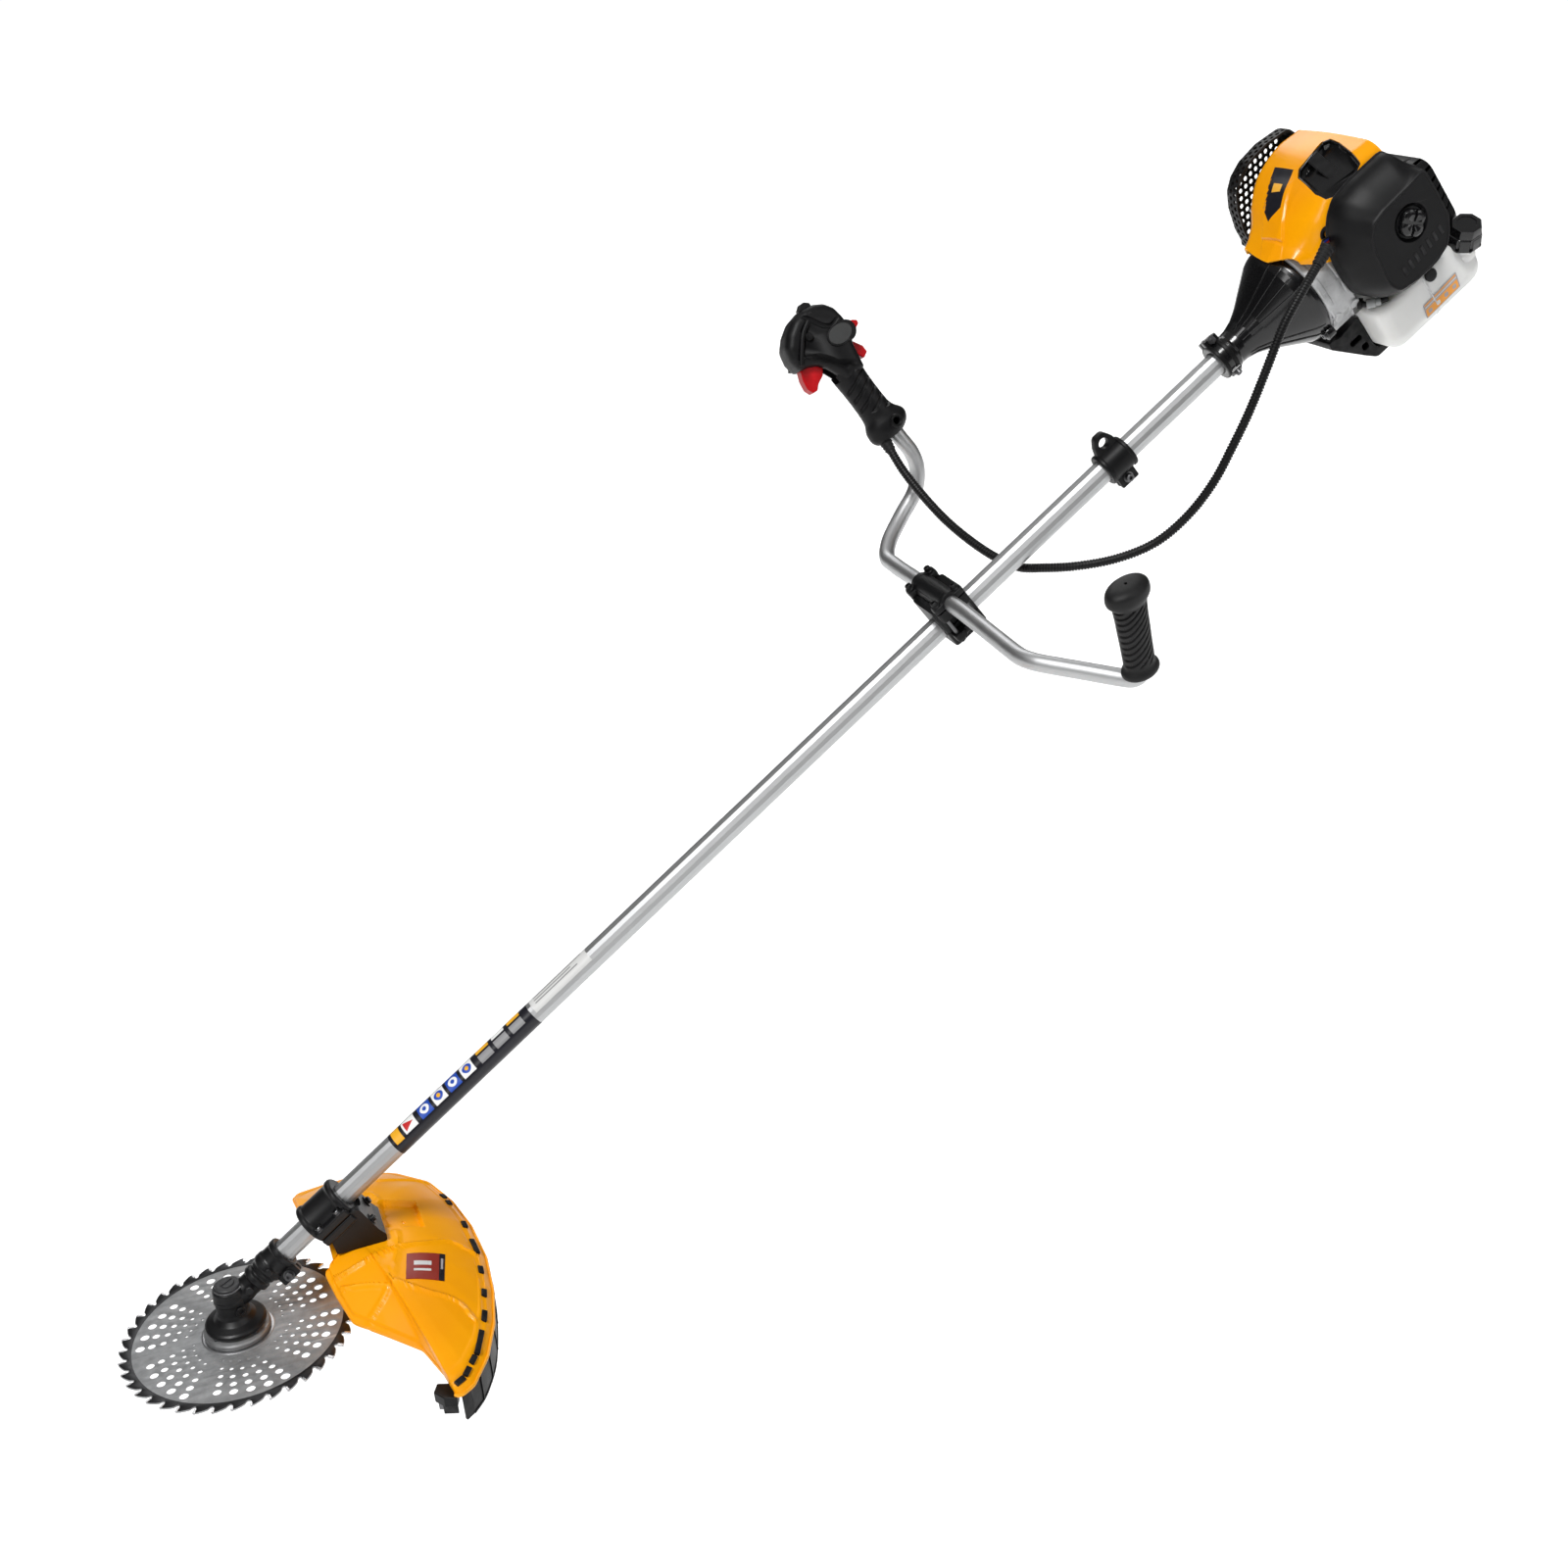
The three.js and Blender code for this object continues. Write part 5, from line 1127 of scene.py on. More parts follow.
# fitting between the casting and the tank: hose, clip and tap
TF = spline([(137, -50, -34), (143, -60, -40), (151, -66, -43), (162, -70, -47)], 8)
obj("fuel_hose", *sweep(TF, 3.1, 20), ENGINE, RUBBER, smooth=60)
lathe("fuel_tap", [(0, 0), (5.2, 0), (5.2, 9), (4.2, 9.6), (4.2, 15), (0, 15)], ENGINE @ along((143, -60, -40), (0.72, -0.5, -0.3)), seg=32, r=0.5, mat=plastic("tap_plastic", (0.30, 0.31, 0.31), 0.35, 500, 0.05))
lathe("hose_clip", [(3.0, 0), (5.8, 0), (5.8, 4.5), (3.0, 4.5), (3.0, 0)], ENGINE @ along((138.5, -53.5, -36), (0.6, -0.7, -0.4)), seg=32, r=0.4, mat=BLACK)

# ------------------------------------------------------------------ foot under the tank
outer = [(p[0], p[1]) for p in fillet([(97, -62, 0), (112, -66, 0), (140.5, -62, 0), (140.5, -103, 0), (143, -110.4, 0), (168, -110.4, 0), (168, -117.8, 0), (137, -117.8, 0), (127, -107, 0), (96, -70, 0)], [3, 4, 2, 6, 5, 2.5, 2.5, 10, 6, 3], 5, True)]
swap = Matrix(((1, 0, 0, 0), (0, 0, 1, 0), (0, 1, 0, 0), (0, 0, 0, 1)))
foot = plate("foot_frame", outer, [], -32, 32, ENGINE @ swap, mat=BLACK, bevel=1.2, seg=3, replaces="engine_foot", slot="black_plastic")
hollow = [(p[0], p[1]) for p in fillet([(108, -72, 0), (136, -70.5, 0), (136.5, -104, 0), (131, -105.5, 0)], 3, 4, True)]
cf = [slab([(a, b) for a, b in hollow], -28.6, 28.6, ENGINE @ swap), slab(rrect(117, 133, -86.5, -79.5, 3.2), -40, 40, ENGINE @ swap), slab(rrect(126.5, 135.5, -100.5, -92.5, 3.2), -40, 40, ENGINE @ swap), rod(64, 90, 145, ENGINE @ turn("x"), 96)]
carve(foot, cf)
for y in (-20, -10, 0, 10, 20):
    block("foot_rib", 141, 167, y - 1, y + 1, -118.6, -117.0, ENGINE, r=0.5, mat=BLACK)

# plain raised bars on the face plate of the filter cover
for i in range(7):
    u = i / 6
    block("face_bar", 172 + 9.2 * i, 175.6 + 9.2 * i, -111.0, -109.4, -17 + 1.2 * i, -6.5 + 1.2 * i, ENGINE, r=0.5, seg=2, mat=BLACK_SATIN)
# label on the yellow cover, laid on its surface
PENT = [(182.3, 48.6), (181.6, 12.0), (139.6, -8.0), (125.2, 4.1), (138.5, 27.2)]


def cover_height(a, y):
    """Outer surface of the cover above a place in plan, from its grid."""
    best = sorted(((grid[i][k].x - a) ** 2 + (grid[i][k].y - y) ** 2, i, k) for i in range(0, R_) for k in range(8, N_ - 8) if abs(grid[i][k].x - a) < 4 and abs(grid[i][k].y - y) < 4 and grid[i][k].z > 40)[:4]
    w = [1 / (b[0] + 0.05) for b in best]
    return sum(grid[b[1]][b[2]].z * q for b, q in zip(best, w)) / sum(w)


def laid(name, poly, mat, lift=0.18, step=3.0):
    """A thin film on the cover, over a polygon in plan."""
    from mathutils.geometry import delaunay_2d_cdt
    edge_pts = []
    n = len(poly)
    for i in range(n):
        p, q = Vector(poly[i]), Vector(poly[(i + 1) % n])
        m = max(1, int((q - p).length / step))
        edge_pts += [p.lerp(q, k / m) for k in range(m)]
    ne = len(edge_pts)
    xs, ys = [p.x for p in edge_pts], [p.y for p in edge_pts]
    inner_pts = []
    x = min(xs) + step / 2
    while x < max(xs):
        y = min(ys) + step / 2
        while y < max(ys):
            c = 0
            for i in range(n):
                (x0, y0), (x1, y1) = poly[i], poly[(i + 1) % n]
                if (y0 > y) != (y1 > y) and x < (x1 - x0) * (y - y0) / (y1 - y0) + x0:
                    c += 1
            if c % 2 and min((Vector((x, y)) - e).length for e in edge_pts) > step * 0.5:
                inner_pts.append(Vector((x, y)))
            y += step
        x += step
    vo, eo, fo, *_ = delaunay_2d_cdt(edge_pts + inner_pts, [(i, (i + 1) % ne) for i in range(ne)], [], 1, 1e-5)
    hs_ = [cover_height(p.x, p.y) for p in vo]
    top = [(p.x, p.y, h + lift) for p, h in zip(vo, hs_)]
    low = [(p.x, p.y, h - 0.3) for p, h in zip(vo, hs_)]
    m = len(vo)
    fs = [list(f) for f in fo] + [[q + m for q in f][::-1] for f in fo]
    count = {}
    for f in fo:
        for a_, b_ in zip(f, list(f[1:]) + [f[0]]):
            count[(a_, b_)] = 1
    for (a_, b_) in count:
        if (b_, a_) not in count:
            fs.append([b_, a_, a_ + m, b_ + m])
    return obj(name, top + low, fs, ENGINE, mat, smooth=40)


laid("cover_label", PENT, DARK_PRINT)
PALE_YELLOW = plastic("label_yellow", (0.86, 0.42, 0.03), 0.35, 500, 0.03, 0.5, vary=0.05)
laid("cover_label_bar", [(163.0, 27.5), (163.0, 11.0), (154.5, 7.0), (152.5, 21.5)], PALE_YELLOW, 0.34, 2.0)


# ------------------------------------------------------------------ muffler guard: perforated shell
def hexagon(cx, cz, r, rot=0.0, round_=0.8):
    pts = [(cx + r * math.cos(tau * k / 6 + rot), cz + r * math.sin(tau * k / 6 + rot), 0) for k in range(6)]
    return [(p[0], p[1]) for p in fillet(pts, round_, 3, True)]


MG = [(0.0, [(131, 4), (243, 4), (245, 58), (240, 92), (236, 101), (205, 106), (178, 104), (161, 97.5), (148, 87), (139, 70), (132.5, 44)])]
outline_m = [(p[0], p[1]) for p in fillet([(a, z, 0) for a, z in MG[0][1]], [6, 8, 14, 10, 8, 14, 14, 14, 14, 14, 14], 5, True)]
side_holes = []
rows = 0
for j in range(12):
    for i in range(16):
        a = 133 + i * 8.0 + (4.0 if j % 2 else 0)
        z = 12 + j * 7.4
        # stay clear of the border
        inside = True
        n = len(outline_m)
        dmin = 1e9
        for q in range(n):
            p0, p1 = Vector(outline_m[q]), Vector(outline_m[(q + 1) % n])
            d = p1 - p0
            t = max(0, min(1, (Vector((a, z)) - p0).dot(d) / d.length_squared))
            dmin = min(dmin, (p0 + d * t - Vector((a, z))).length)
        cross_ = 0
        for q in range(n):
            (x0, y0), (x1, y1) = outline_m[q], outline_m[(q + 1) % n]
            if (y0 > z) != (y1 > z) and a < (x1 - x0) * (z - y0) / (y1 - y0) + x0:
                cross_ += 1
        if cross_ % 2 and dmin > 9.5 and not (218 < a < 232 and 60 < z < 74):
            side_holes.append(hexagon(a, z, 3.0, 0.26))
SW = Matrix(((1, 0, 0, 0), (0, 0, 1, 0), (0, 1, 0, 0), (0, 0, 0, 1)))
inner_o = inset(outline_m, 6.5)
mg_plate = plate("muffler_guard_face", inner_o, side_holes, 115.4, 118.4, ENGINE @ SW, edge=0.4, mat=BLACK, smooth=40)
# rim: rolls from the face back to the engine, itself pierced
n = len(outline_m)
i65 = inset(outline_m, 6.5)
rim_prof = [(0.0, 89.8), (0.0, 104), (0.8, 108.5), (2.6, 113), (5.0, 116.8), (7.4, 118.4)]
rings = [[(x, y, z) for x, z in inset(outline_m, d)] for d, y in rim_prof]
rings += [[(x, y, z) for x, z in inset(outline_m, d)] for d, y in ((7.4, 115.6), (6.6, 115.2), (4.6, 112), (3.2, 107.5), (2.6, 103.5), (2.6, 89.8))]
v, f = skin(rings, cap=False, closed=True)
rim = obj("muffler_guard_rim", v, f, ENGINE, BLACK, smooth=50, replaces="muffler_guard", slot="black_plastic")
rim_tools = []
P = [Vector((*p, 0)) for p in outline_m] + [Vector((*outline_m[0], 0))]
walk = resample(P, 7.6)
for row, (y, ph) in enumerate(((94.5, 0.0), (101.5, 0.5), (108.3, 0.0))):
    for i in range(len(walk) - 1):
        a = walk[i].lerp(walk[(i + 1) % (len(walk) - 1)], ph)
        b = walk[(i + 1) % (len(walk) - 1)].lerp(walk[(i + 2) % (len(walk) - 1)], ph)
        d = (b - a).normalized()
        nrm = Vector((d.y, -d.x, 0))
        if a.y < 14:
            continue
        M = ENGINE @ along((a.x, y, a.y), (nrm.x, 0.25 * row, nrm.y), (0, 1, 0))
        rim_tools.append(tool(*prism_data([(q[0], q[1]) for q in hexagon(0, 0, 2.75 if row != 2 else 2.2, 0.0, 0.7)], -9, 9), M))
carve(rim, merge("cutters", rim_tools, body=None))
for a, z in ((226, 67), (140, 20), (236, 14)):
    merge("muffler_guard_screw", cap_screw(ENGINE @ along((a, 118.3, z), (0, 1, 0)), 3.8, 3.2, ZINC, socket="cross"))


# ------------------------------------------------------------------ cutting disc
def disc_outline(r_tip=127.5, teeth=40, r_root=118.5):
    """Hooked teeth: a steep front with a carbide tip's seat, and a long back."""
    pts = []
    for i in range(teeth):
        a0 = tau * i / teeth
        s = tau / teeth
        for f_, r in ((0.0, r_tip), (0.16, r_tip - 0.7), (0.42, r_tip - 3.0), (0.62, r_tip - 5.2), (0.74, r_root + 0.6), (0.84, r_root - 0.3), (0.92, r_root + 0.5), (0.965, r_root + 3.0), (0.985, r_tip - 2.5)):
            t = a0 + s * f_
            pts.append((r * math.cos(t), r * math.sin(t)))
    return pts


def circle(cx, cy, r, n=20):
    return [(cx + r * math.cos(tau * i / n), cy + r * math.sin(tau * i / n)) for i in range(n)]


holes = [circle(0, 0, 12.7, 48)]
GROUPS = 6
for g in range(GROUPS):
    a0 = tau * g / GROUPS
    # each group: curved rows, holes growing towards the rim
    for row in range(5):
        for k in range(5):
            rr = 48 + 12.2 * k + row * 2.0
            rad = 1.5 + 0.80 * k + 0.12 * row
            t = a0 + math.radians(4 + 10.2 * row + 3.0 * k - 0.35 * k * k)
            if rr + rad < 111:
                holes.append(circle(rr * math.cos(t), rr * math.sin(t), rad, 10 if rad < 2.4 else 16))


DISC_STEEL = cast("disc_steel", (0.30, 0.305, 0.31), 0.5, 0.45, 420, 0.06)
DISC_RIM = metal("disc_rim", (0.05, 0.05, 0.052), 0.4, (1, 1, 1), 260, 0.05, 0.1, 0.1, 0.05)
CARBIDE = metal("carbide_tip", (0.55, 0.55, 0.56), 0.25, (1, 1, 1), 260, 0.05, 0.1, 0.1, 0.05)
DZ = HEAD @ Matrix.Translation((0, 0, -40))
plate("disc_plate", disc_outline(), holes, -0.85, 0.85, DZ, edge=0.12, mat=DISC_STEEL, smooth=30, body="cutter", replaces="blade", slot="blade_steel")
plate("disc_rim_band", [(0.996 * x, 0.996 * y) for x, y in disc_outline()], [circle(0, 0, 113.6, 120)], -1.05, 1.05, DZ, edge=0.08, mat=DISC_RIM, smooth=30, body="cutter")
lathe("disc_middle", [(13.0, -1.5), (38, -1.5), (39.5, -0.95), (39.5, 0.95), (38, 1.5), (13.0, 1.5), (13.0, -1.5)], DZ, seg=96, r=0.3, mat=metal("polished_middle", (0.42, 0.42, 0.43), 0.36, (1, 1, 1), 260, 0.05, 0.1, 0.1, 0.05), body="cutter")
tips = []
for i in range(40):
    t = tau * i / 40
    M = DZ @ Matrix.Rotation(t, 4, "Z")
    v, f = prism_data([(120.9, -2.4), (127.5, -2.3), (127.9, -0.4), (127.3, 0.3), (121.2, 0.1)], -1.35, 1.35)
    tips.append(obj("tip", v, f, M, CARBIDE, body=None, bevel=0.2, seg=1))
merge("disc_tips", tips, body="cutter")

# ------------------------------------------------------------------ drive flange and its studs
SATIN_STEEL = cast("satin_steel", (0.26, 0.262, 0.265), 0.42, 0.6, 420, 0.08)
lathe("flange_ring", [(12.8, -39.0), (34.5, -39.0), (36, -37.6), (36, -34), (34.6, -32.2), (30, -30.6), (27, -29.0), (26, -28.4), (12.8, -28.4), (12.8, -39.0)], HEAD, seg=96, r=0.5, mat=SATIN_STEEL, body="cutter", replaces="drive_flange", slot="bright_steel")
for i in range(4):
    t = tau * (i + 0.4) / 4
    lathe("flange_stud", [(0, 0), (3.4, 0), (3.4, 3.4), (2.8, 3.9), (0, 3.9)], HEAD @ Matrix.Translation((28.5 * math.cos(t), 28.5 * math.sin(t), -32.0)), seg=24, mat=DARK_STEEL, body="cutter")

# ------------------------------------------------------------------ gear head
lathe("gear_case", [(0, 21), (13.9, 21), (16.4, 20.4), (17.6, 18.6), (17.6, 9.5), (18.4, 8.2), (18.4, 4.2), (17.6, 3), (17.2, -9), (18.6, -13.5), (23, -18.4), (30.6, -21.6), (33, -23.6), (33, -26.4), (32, -27.4), (28.5, -27.4), (28.5, -25.2), (0, -25.2)],
      HEAD, seg=112, r=1.4, mat=PAINT_BLACK, smooth=40, replaces="gearbox_housing", slot="gearbox_paint")
NECK = SHAFT @ turn("x")
lathe("gear_neck", [(0, 6), (13.6, 6), (13.8, 20), (13.0, 26), (13.2, 33.8), (15.6, 35.4), (16.0, 36.4), (16.0, 41), (15.2, 42.2), (13.6, 43.4), (13.6, 46), (15.6, 47), (15.8, 50.4), (17.6, 52.4), (18.2, 54), (18.2, 60), (17.4, 61.4), (17.0, 63), (17.0, 72.4), (17.6, 73.6), (18.4, 74.4), (18.4, 79.4), (17.8, 80.2), (13.4, 80.2), (13.4, 76), (0, 76)],
      SHAFT, "x", 112, r=0.8, mat=PAINT_BLACK, smooth=40)
CAP_GREY = cast("cap_grey", (0.035, 0.035, 0.037), 0.5, 0.1, 420, 0.15)
lathe("gear_lid", [(0, 24.8), (11.4, 24.8), (12.6, 24.4), (13.7, 23.2), (13.8, 21.2), (0, 21.2)], HEAD, seg=80, r=0.5, mat=CAP_GREY, replaces="gearbox_cap", slot="gearbox_paint")
lid = lathe("gear_lid_screw", [(0, 26.4), (7.0, 26.4), (7.6, 25.8), (7.6, 24.6), (0, 24.6)], HEAD, seg=48, r=0.3, mat=CAP_GREY)
carve(lid, tool(*prism_data([(-9, -1.1), (9, -1.1), (9, 1.1), (-9, 1.1)], 25.3, 28), HEAD @ Matrix.Rotation(0.6, 4, "Z")))
lathe("gear_lid_ring", [(13.9, 20.8), (16.0, 20.8), (15.8, 21.9), (14.4, 22.2), (13.9, 21.6), (13.9, 20.8)], HEAD, seg=80, r=0.2, mat=DARK_STEEL)
# clamp lug with its screw, on the camera side of the socket
LUG = SHAFT
for s in (-1, 1):
    block("socket_ear", 55, 78, s * 5.2 - 3.9, s * 5.2 + 3.9, -27.5, -12, SHAFT @ Matrix.Rotation(math.radians(-20), 4, "X"), r=1.8, seg=3, mat=PAINT_BLACK)
EM = SHAFT @ Matrix.Rotation(math.radians(-20), 4, "X")
merge("socket_screw", cap_screw(EM @ along((66.5, -9.2, -21.5), (0, -1, 0)), 4.6, 5.4, DARK_STEEL))
lathe("socket_nut", [(0, 0), (4.8, 0), (4.8, 3.6), (0, 3.6)], EM @ along((66.5, 9.2, -21.5), (0, 1, 0)), seg=6, mat=ZINC, smooth=30)
lathe("grease_screw", [(0, 0), (4.6, 0), (4.8, 0.6), (4.8, 4.4), (4.2, 5.0), (0, 5.0)], SHAFT @ along((28, -12.6, 3), (0, -1, 0.2)), seg=6, mat=PAINT_BLACK, smooth=30)
lathe("index_screw", [(0, 0), (4.0, 0), (4.0, 3.2), (3.4, 3.8), (0, 3.8)], SHAFT @ along((58, -17.2, 5), (0, -1, 0.28)), seg=28, r=0.3, mat=PAINT_BLACK)
lathe("lock_hole_collar", [(0, 0), (5.6, 0), (5.6, 2.2), (4.8, 2.8), (3.0, 2.8), (2.8, 0.8), (0, 0.8)], HEAD @ along((0.4 * 17, -0.9 * 17.0, -4), (0.4, -0.9, 0)), seg=28, r=0.3, mat=PAINT_BLACK)

# ------------------------------------------------------------------ guard bracket
TILT = math.radians(34.67)
bk = prism("bracket_block", [(p[2], p[0]) for p in fillet([(118, 0, 40.4), (173, 0, 40.4), (173, 0, 49), (166, 0, 58), (148, 0, 92), (112, 0, 76)], [2, 4, 3, 6, 8, 4], 4, True)], -26, 26, HEAD, "y", bevel=2.2, seg=3, mat=PAINT_BLACK, replaces="guard_bracket", slot="gearbox_paint")
carve(bk, rod(20.5, 90, 200, SHAFT @ turn("x"), 96))
sleeve = lathe("bracket_sleeve", [(13.3, 119), (21.6, 119), (23.5, 120), (24.4, 121.4), (24.4, 124.4), (23.4, 126), (22.6, 127), (22.4, 159), (23.2, 161), (24.2, 162.4), (24.2, 165.6), (23.2, 167.4), (21.6, 168), (13.3, 168), (13.3, 119)], SHAFT, "x", 112, r=0.9, mat=PAINT_BLACK, smooth=40)
# cap half over the tube, with its ears and four screws
for s_ in (-1, 1):
    block("bracket_ear", 122, 165, s_ * 22.5 - 6.5, s_ * 22.5 + 6.5, -7, 3.2, SHAFT, r=2.2, seg=3, mat=PAINT_BLACK)
    block("bracket_ear_low", 122, 165, s_ * 22.5 - 6.5, s_ * 22.5 + 6.5, -18, -7.8, SHAFT, r=2.2, seg=3, mat=PAINT_BLACK)
    for x_ in (130.5, 156.5):
        merge("bracket_screw", cap_screw(SHAFT @ along((x_, s_ * 23.4, 3.2), (0, 0, 1)), 3.9, 4.4, DARK_STEEL))
for y_ in (-17, 17):
    merge("bracket_foot_screw", cap_screw(HEAD @ along((161.5, y_, 67.5), (0.882, 0, 0.471)), 4.0, 4.2, PAINT_BLACK))
    lathe("bracket_foot_washer", [(2, -0.4), (6.6, -0.4), (6.6, 0.8), (2, 0.8), (2, -0.4)], HEAD @ along((161.5, y_, 67.5), (0.882, 0, 0.471)), seg=32, r=0.2, mat=PAINT_BLACK)

# ------------------------------------------------------------------ guard
GC = Vector((142, 0, 40))
RIM = [
    (88, 174, -8, 0), (97, 182, -12, 1), (125, 188, -14, 1), (165, 190, -15, 1), (208, 176, -16, 1), (242, 140, -16, 1), (260, 90, -16, 1), (270, 35, -16, 1),
    (273, -30, -16, 1), (267, -90, -16, 1), (256, -140, -17, 1), (238, -188, -17, 1), (216, -222, -18, 1), (197, -234, -18, 1),
    (190, -192, -12, 0), (178, -157, -6, 0), (149, -128, 0, 0), (117, -94, 4, 0), (107, -62, 18, 0), (101, -34, 30, 0), (113, -27.5, 38, 0),
    (113, 27.5, 38, 0), (99, 34, 33, 0), (96, 62, 27, 0), (93, 100, 16, 0), (90, 140, 2, 0)]
radii = [5, 8, 20, 25, 25, 30, 40, 60, 60, 60, 40, 30, 14, 6, 20, 16, 16, 12, 10, 6, 4, 4, 6, 20, 30, 20]
rim_p = fillet([Vector(r[:3]) for r in RIM], radii, 5, True)
rim_p = [Vector(p) for p in rim_p]
# flag of the outer rim carried along the boundary
def rim_flag(p):
    best = None
    for i in range(len(RIM)):
        a_, b_ = Vector(RIM[i][:3]), Vector(RIM[(i + 1) % len(RIM)][:3])
        d_ = b_ - a_
        t_ = max(0, min(1, (p - a_).dot(d_) / d_.length_squared))
        q_ = (a_ + d_ * t_ - p).length
        if best is None or q_ < best[0]:
            best = (q_, RIM[i][3] * (1 - t_) + RIM[(i + 1) % len(RIM)][3] * t_)
    return best[1]


loop = resample([*rim_p, rim_p[0]], 3.4)[:-1]
flags = [rim_flag(p) for p in loop]
# the surface's height over the plan, blended between a rolled outer rim and a plain inner edge
def guard_z(k_, zb, flag):
    r = 0.12 + 0.88 * k_
    q = max(0.0, (r - 0.24) / 0.76)
    inner_z = GC.z + (zb - GC.z) * q ** 1.5
    crest = -2
    outer_z = GC.z + (crest - GC.z) * (min(q, 0.87) / 0.87) ** 1.7 if r < 0.9 else None
    if outer_z is None:
        e_ = (q - 0.868) / 0.132
        outer_z = crest + (zb - crest) * (e_ * e_ * (1.7 - 0.7 * e_))
    return inner_z * (1 - flag) + outer_z * flag


def seg_dist(x, y, line):
    best = 1e9
    for (x0, y0), (x1, y1) in zip(line, line[1:]):
        dx_, dy_ = x1 - x0, y1 - y0
        t_ = max(0, min(1, ((x - x0) * dx_ + (y - y0) * dy_) / (dx_ * dx_ + dy_ * dy_)))
        best = min(best, math.hypot(x0 + dx_ * t_ - x, y0 + dy_ * t_ - y))
    return best


smoothline = lambda pts: [(p.x, p.y) for p in spline([Vector((*p, 0)) for p in pts], 6)]
RIDGE_A = smoothline([(108, -47), (141, -47), (175, -41), (210, -34), (240, -24), (262, -34)])
RIDGE_B = smoothline([(114, -61), (140, -74), (162, -88), (193, -110), (226, -124), (238, -146)])
ARC = smoothline([(184, -12), (180, -48), (159, -89), (131, -108)])
TOPR = smoothline([(170, 79), (176, 64), (178, 50)])
BACKR = smoothline([(185, 119), (215, 126), (243, 128)])


def guard_relief(x, y):
    h_ = 0
    for line, w_, amp in ((RIDGE_A, 1.4, 2.8), (RIDGE_B, 1.4, 2.8), (ARC, 2.2, 1.9), (TOPR, 1.5, 1.6), (BACKR, 1.6, 2.2)):
        d_ = seg_dist(x, y, line)
        h_ = max(h_, amp * max(0.0, 1 - max(0, d_ - w_) / 1.3))
    # pocket beside the bracket
    ax, ay = (x - 196), (y - 26)
    px_ = max(abs(ax) - 19, abs(ay) - 27)
    h_ -= 7.5 * smooth01((1.6 - px_) / 3.2) if px_ < 1.6 else 0
    return h_


RAD = [0.0, 0.06, 0.12, 0.18, 0.24, 0.3, 0.345, 0.39, 0.43, 0.47, 0.51, 0.545, 0.58, 0.61, 0.64, 0.67, 0.70, 0.73, 0.755, 0.78, 0.80, 0.82, 0.84, 0.857, 0.87, 0.885, 0.90, 0.915, 0.93, 0.945, 0.96, 0.975, 0.988, 1.0]
RAD = [r for a_, b_ in zip(RAD, RAD[1:]) for r in (a_, (a_ + b_) / 2)] + [1.0]
top_rows = []
for k_ in RAD:
    row = []
    for p, fl in zip(loop, flags):
        x, y = GC.x + (p.x - GC.x) * (0.12 + 0.88 * k_), GC.y + (p.y - GC.y) * (0.12 + 0.88 * k_)
        z = guard_z(k_, p.z, fl) + guard_relief(x, y) * (1 if k_ < 0.97 else 0.3)
        # the inner edges carry a step, the outer rim a groove for its clips
        d_in = (1 - k_) * 0.88 * math.hypot(p.x - GC.x, p.y - GC.y)
        z -= (1 - fl) * 3.0 * (1 - smooth01((d_in - 5.0) / 2.0))
        z -= fl * 1.2 * smooth01((3.2 - abs(d_in - 10.5)) / 1.6)
        row.append(Vector((x, y, z)))
    top_rows.append(row)
nl = len(loop)
low_rows = [[p + Vector((0, 0, -2.6)) for p in row] for row in top_rows]
# rolled bead along the edge
bead = []
for q_, (dz_, out_) in enumerate(((0.5, 0.6), (0.5, 1.7), (-0.6, 2.4), (-2.2, 2.4), (-3.6, 1.8), (-3.8, 0.6))):
    row = []
    for i, p in enumerate(top_rows[-1]):
        t_ = (loop[(i + 1) % nl] - loop[i - 1]).normalized()
        n_ = Vector((t_.y, -t_.x, 0)).normalized()
        if n_.dot(Vector((p.x - GC.x, p.y - GC.y, 0))) < 0:
            n_ = -n_
        s_ = 1.0 if flags[i] > 0.5 else 0.3
        row.append(p + n_ * (out_ * s_) + Vector((0, 0, dz_)))
    bead.append(row)
rows_ = top_rows + bead + low_rows[::-1]
gv = [p for r in rows_ for p in r]
gf = [[i * nl + k_, i * nl + (k_ + 1) % nl, (i + 1) * nl + (k_ + 1) % nl, (i + 1) * nl + k_] for i in range(len(rows_) - 1) for k_ in range(nl)]
gf.append(list(range(nl))[::-1])
gf.append([(len(rows_) - 1) * nl + k_ for k_ in range(nl)])
guard = obj("guard_body", gv, gf, HEAD, YELLOW_GUARD, smooth=46, replaces="guard_shell", slot="yellow_plastic")
gcuts = [rod(2.2, 10, 60, HEAD @ Matrix.Translation((196, 16, 0)), 24)]
carve(guard, gcuts)


def surf(x, y):
    """Height of the guard's top over the plan."""
    best = sorted(((p.x - x) ** 2 + (p.y - y) ** 2, p.z) for row in top_rows for p in row if abs(p.x - x) < 5 and abs(p.y - y) < 5)[:4]
    w_ = [1 / (b[0] + 0.1) for b in best]
    return sum(b[1] * q for b, q in zip(best, w_)) / sum(w_) if best else -14


# black clips of the skirt along the rim
def rim_point(deg, inset_=0.0):
    """A place on the outer rim, by its direction from the middle of the cutter."""
    best = None
    for i, p in enumerate(loop):
        if flags[i] < 0.5:
            continue
        t_ = abs((math.atan2(p.y, p.x) - math.radians(deg) + pi) % tau - pi)
        if best is None or t_ < best[0]:
            best = (t_, i)
    i = best[1]
    p, t_ = loop[i], (loop[(i + 1) % nl] - loop[i - 1])
    t_ = Vector((t_.x, t_.y, 0)).normalized()
    n_ = Vector((t_.y, -t_.x, 0))
    if n_.dot(p) < 0:
        n_ = -n_
    return p - n_ * inset_, t_, n_


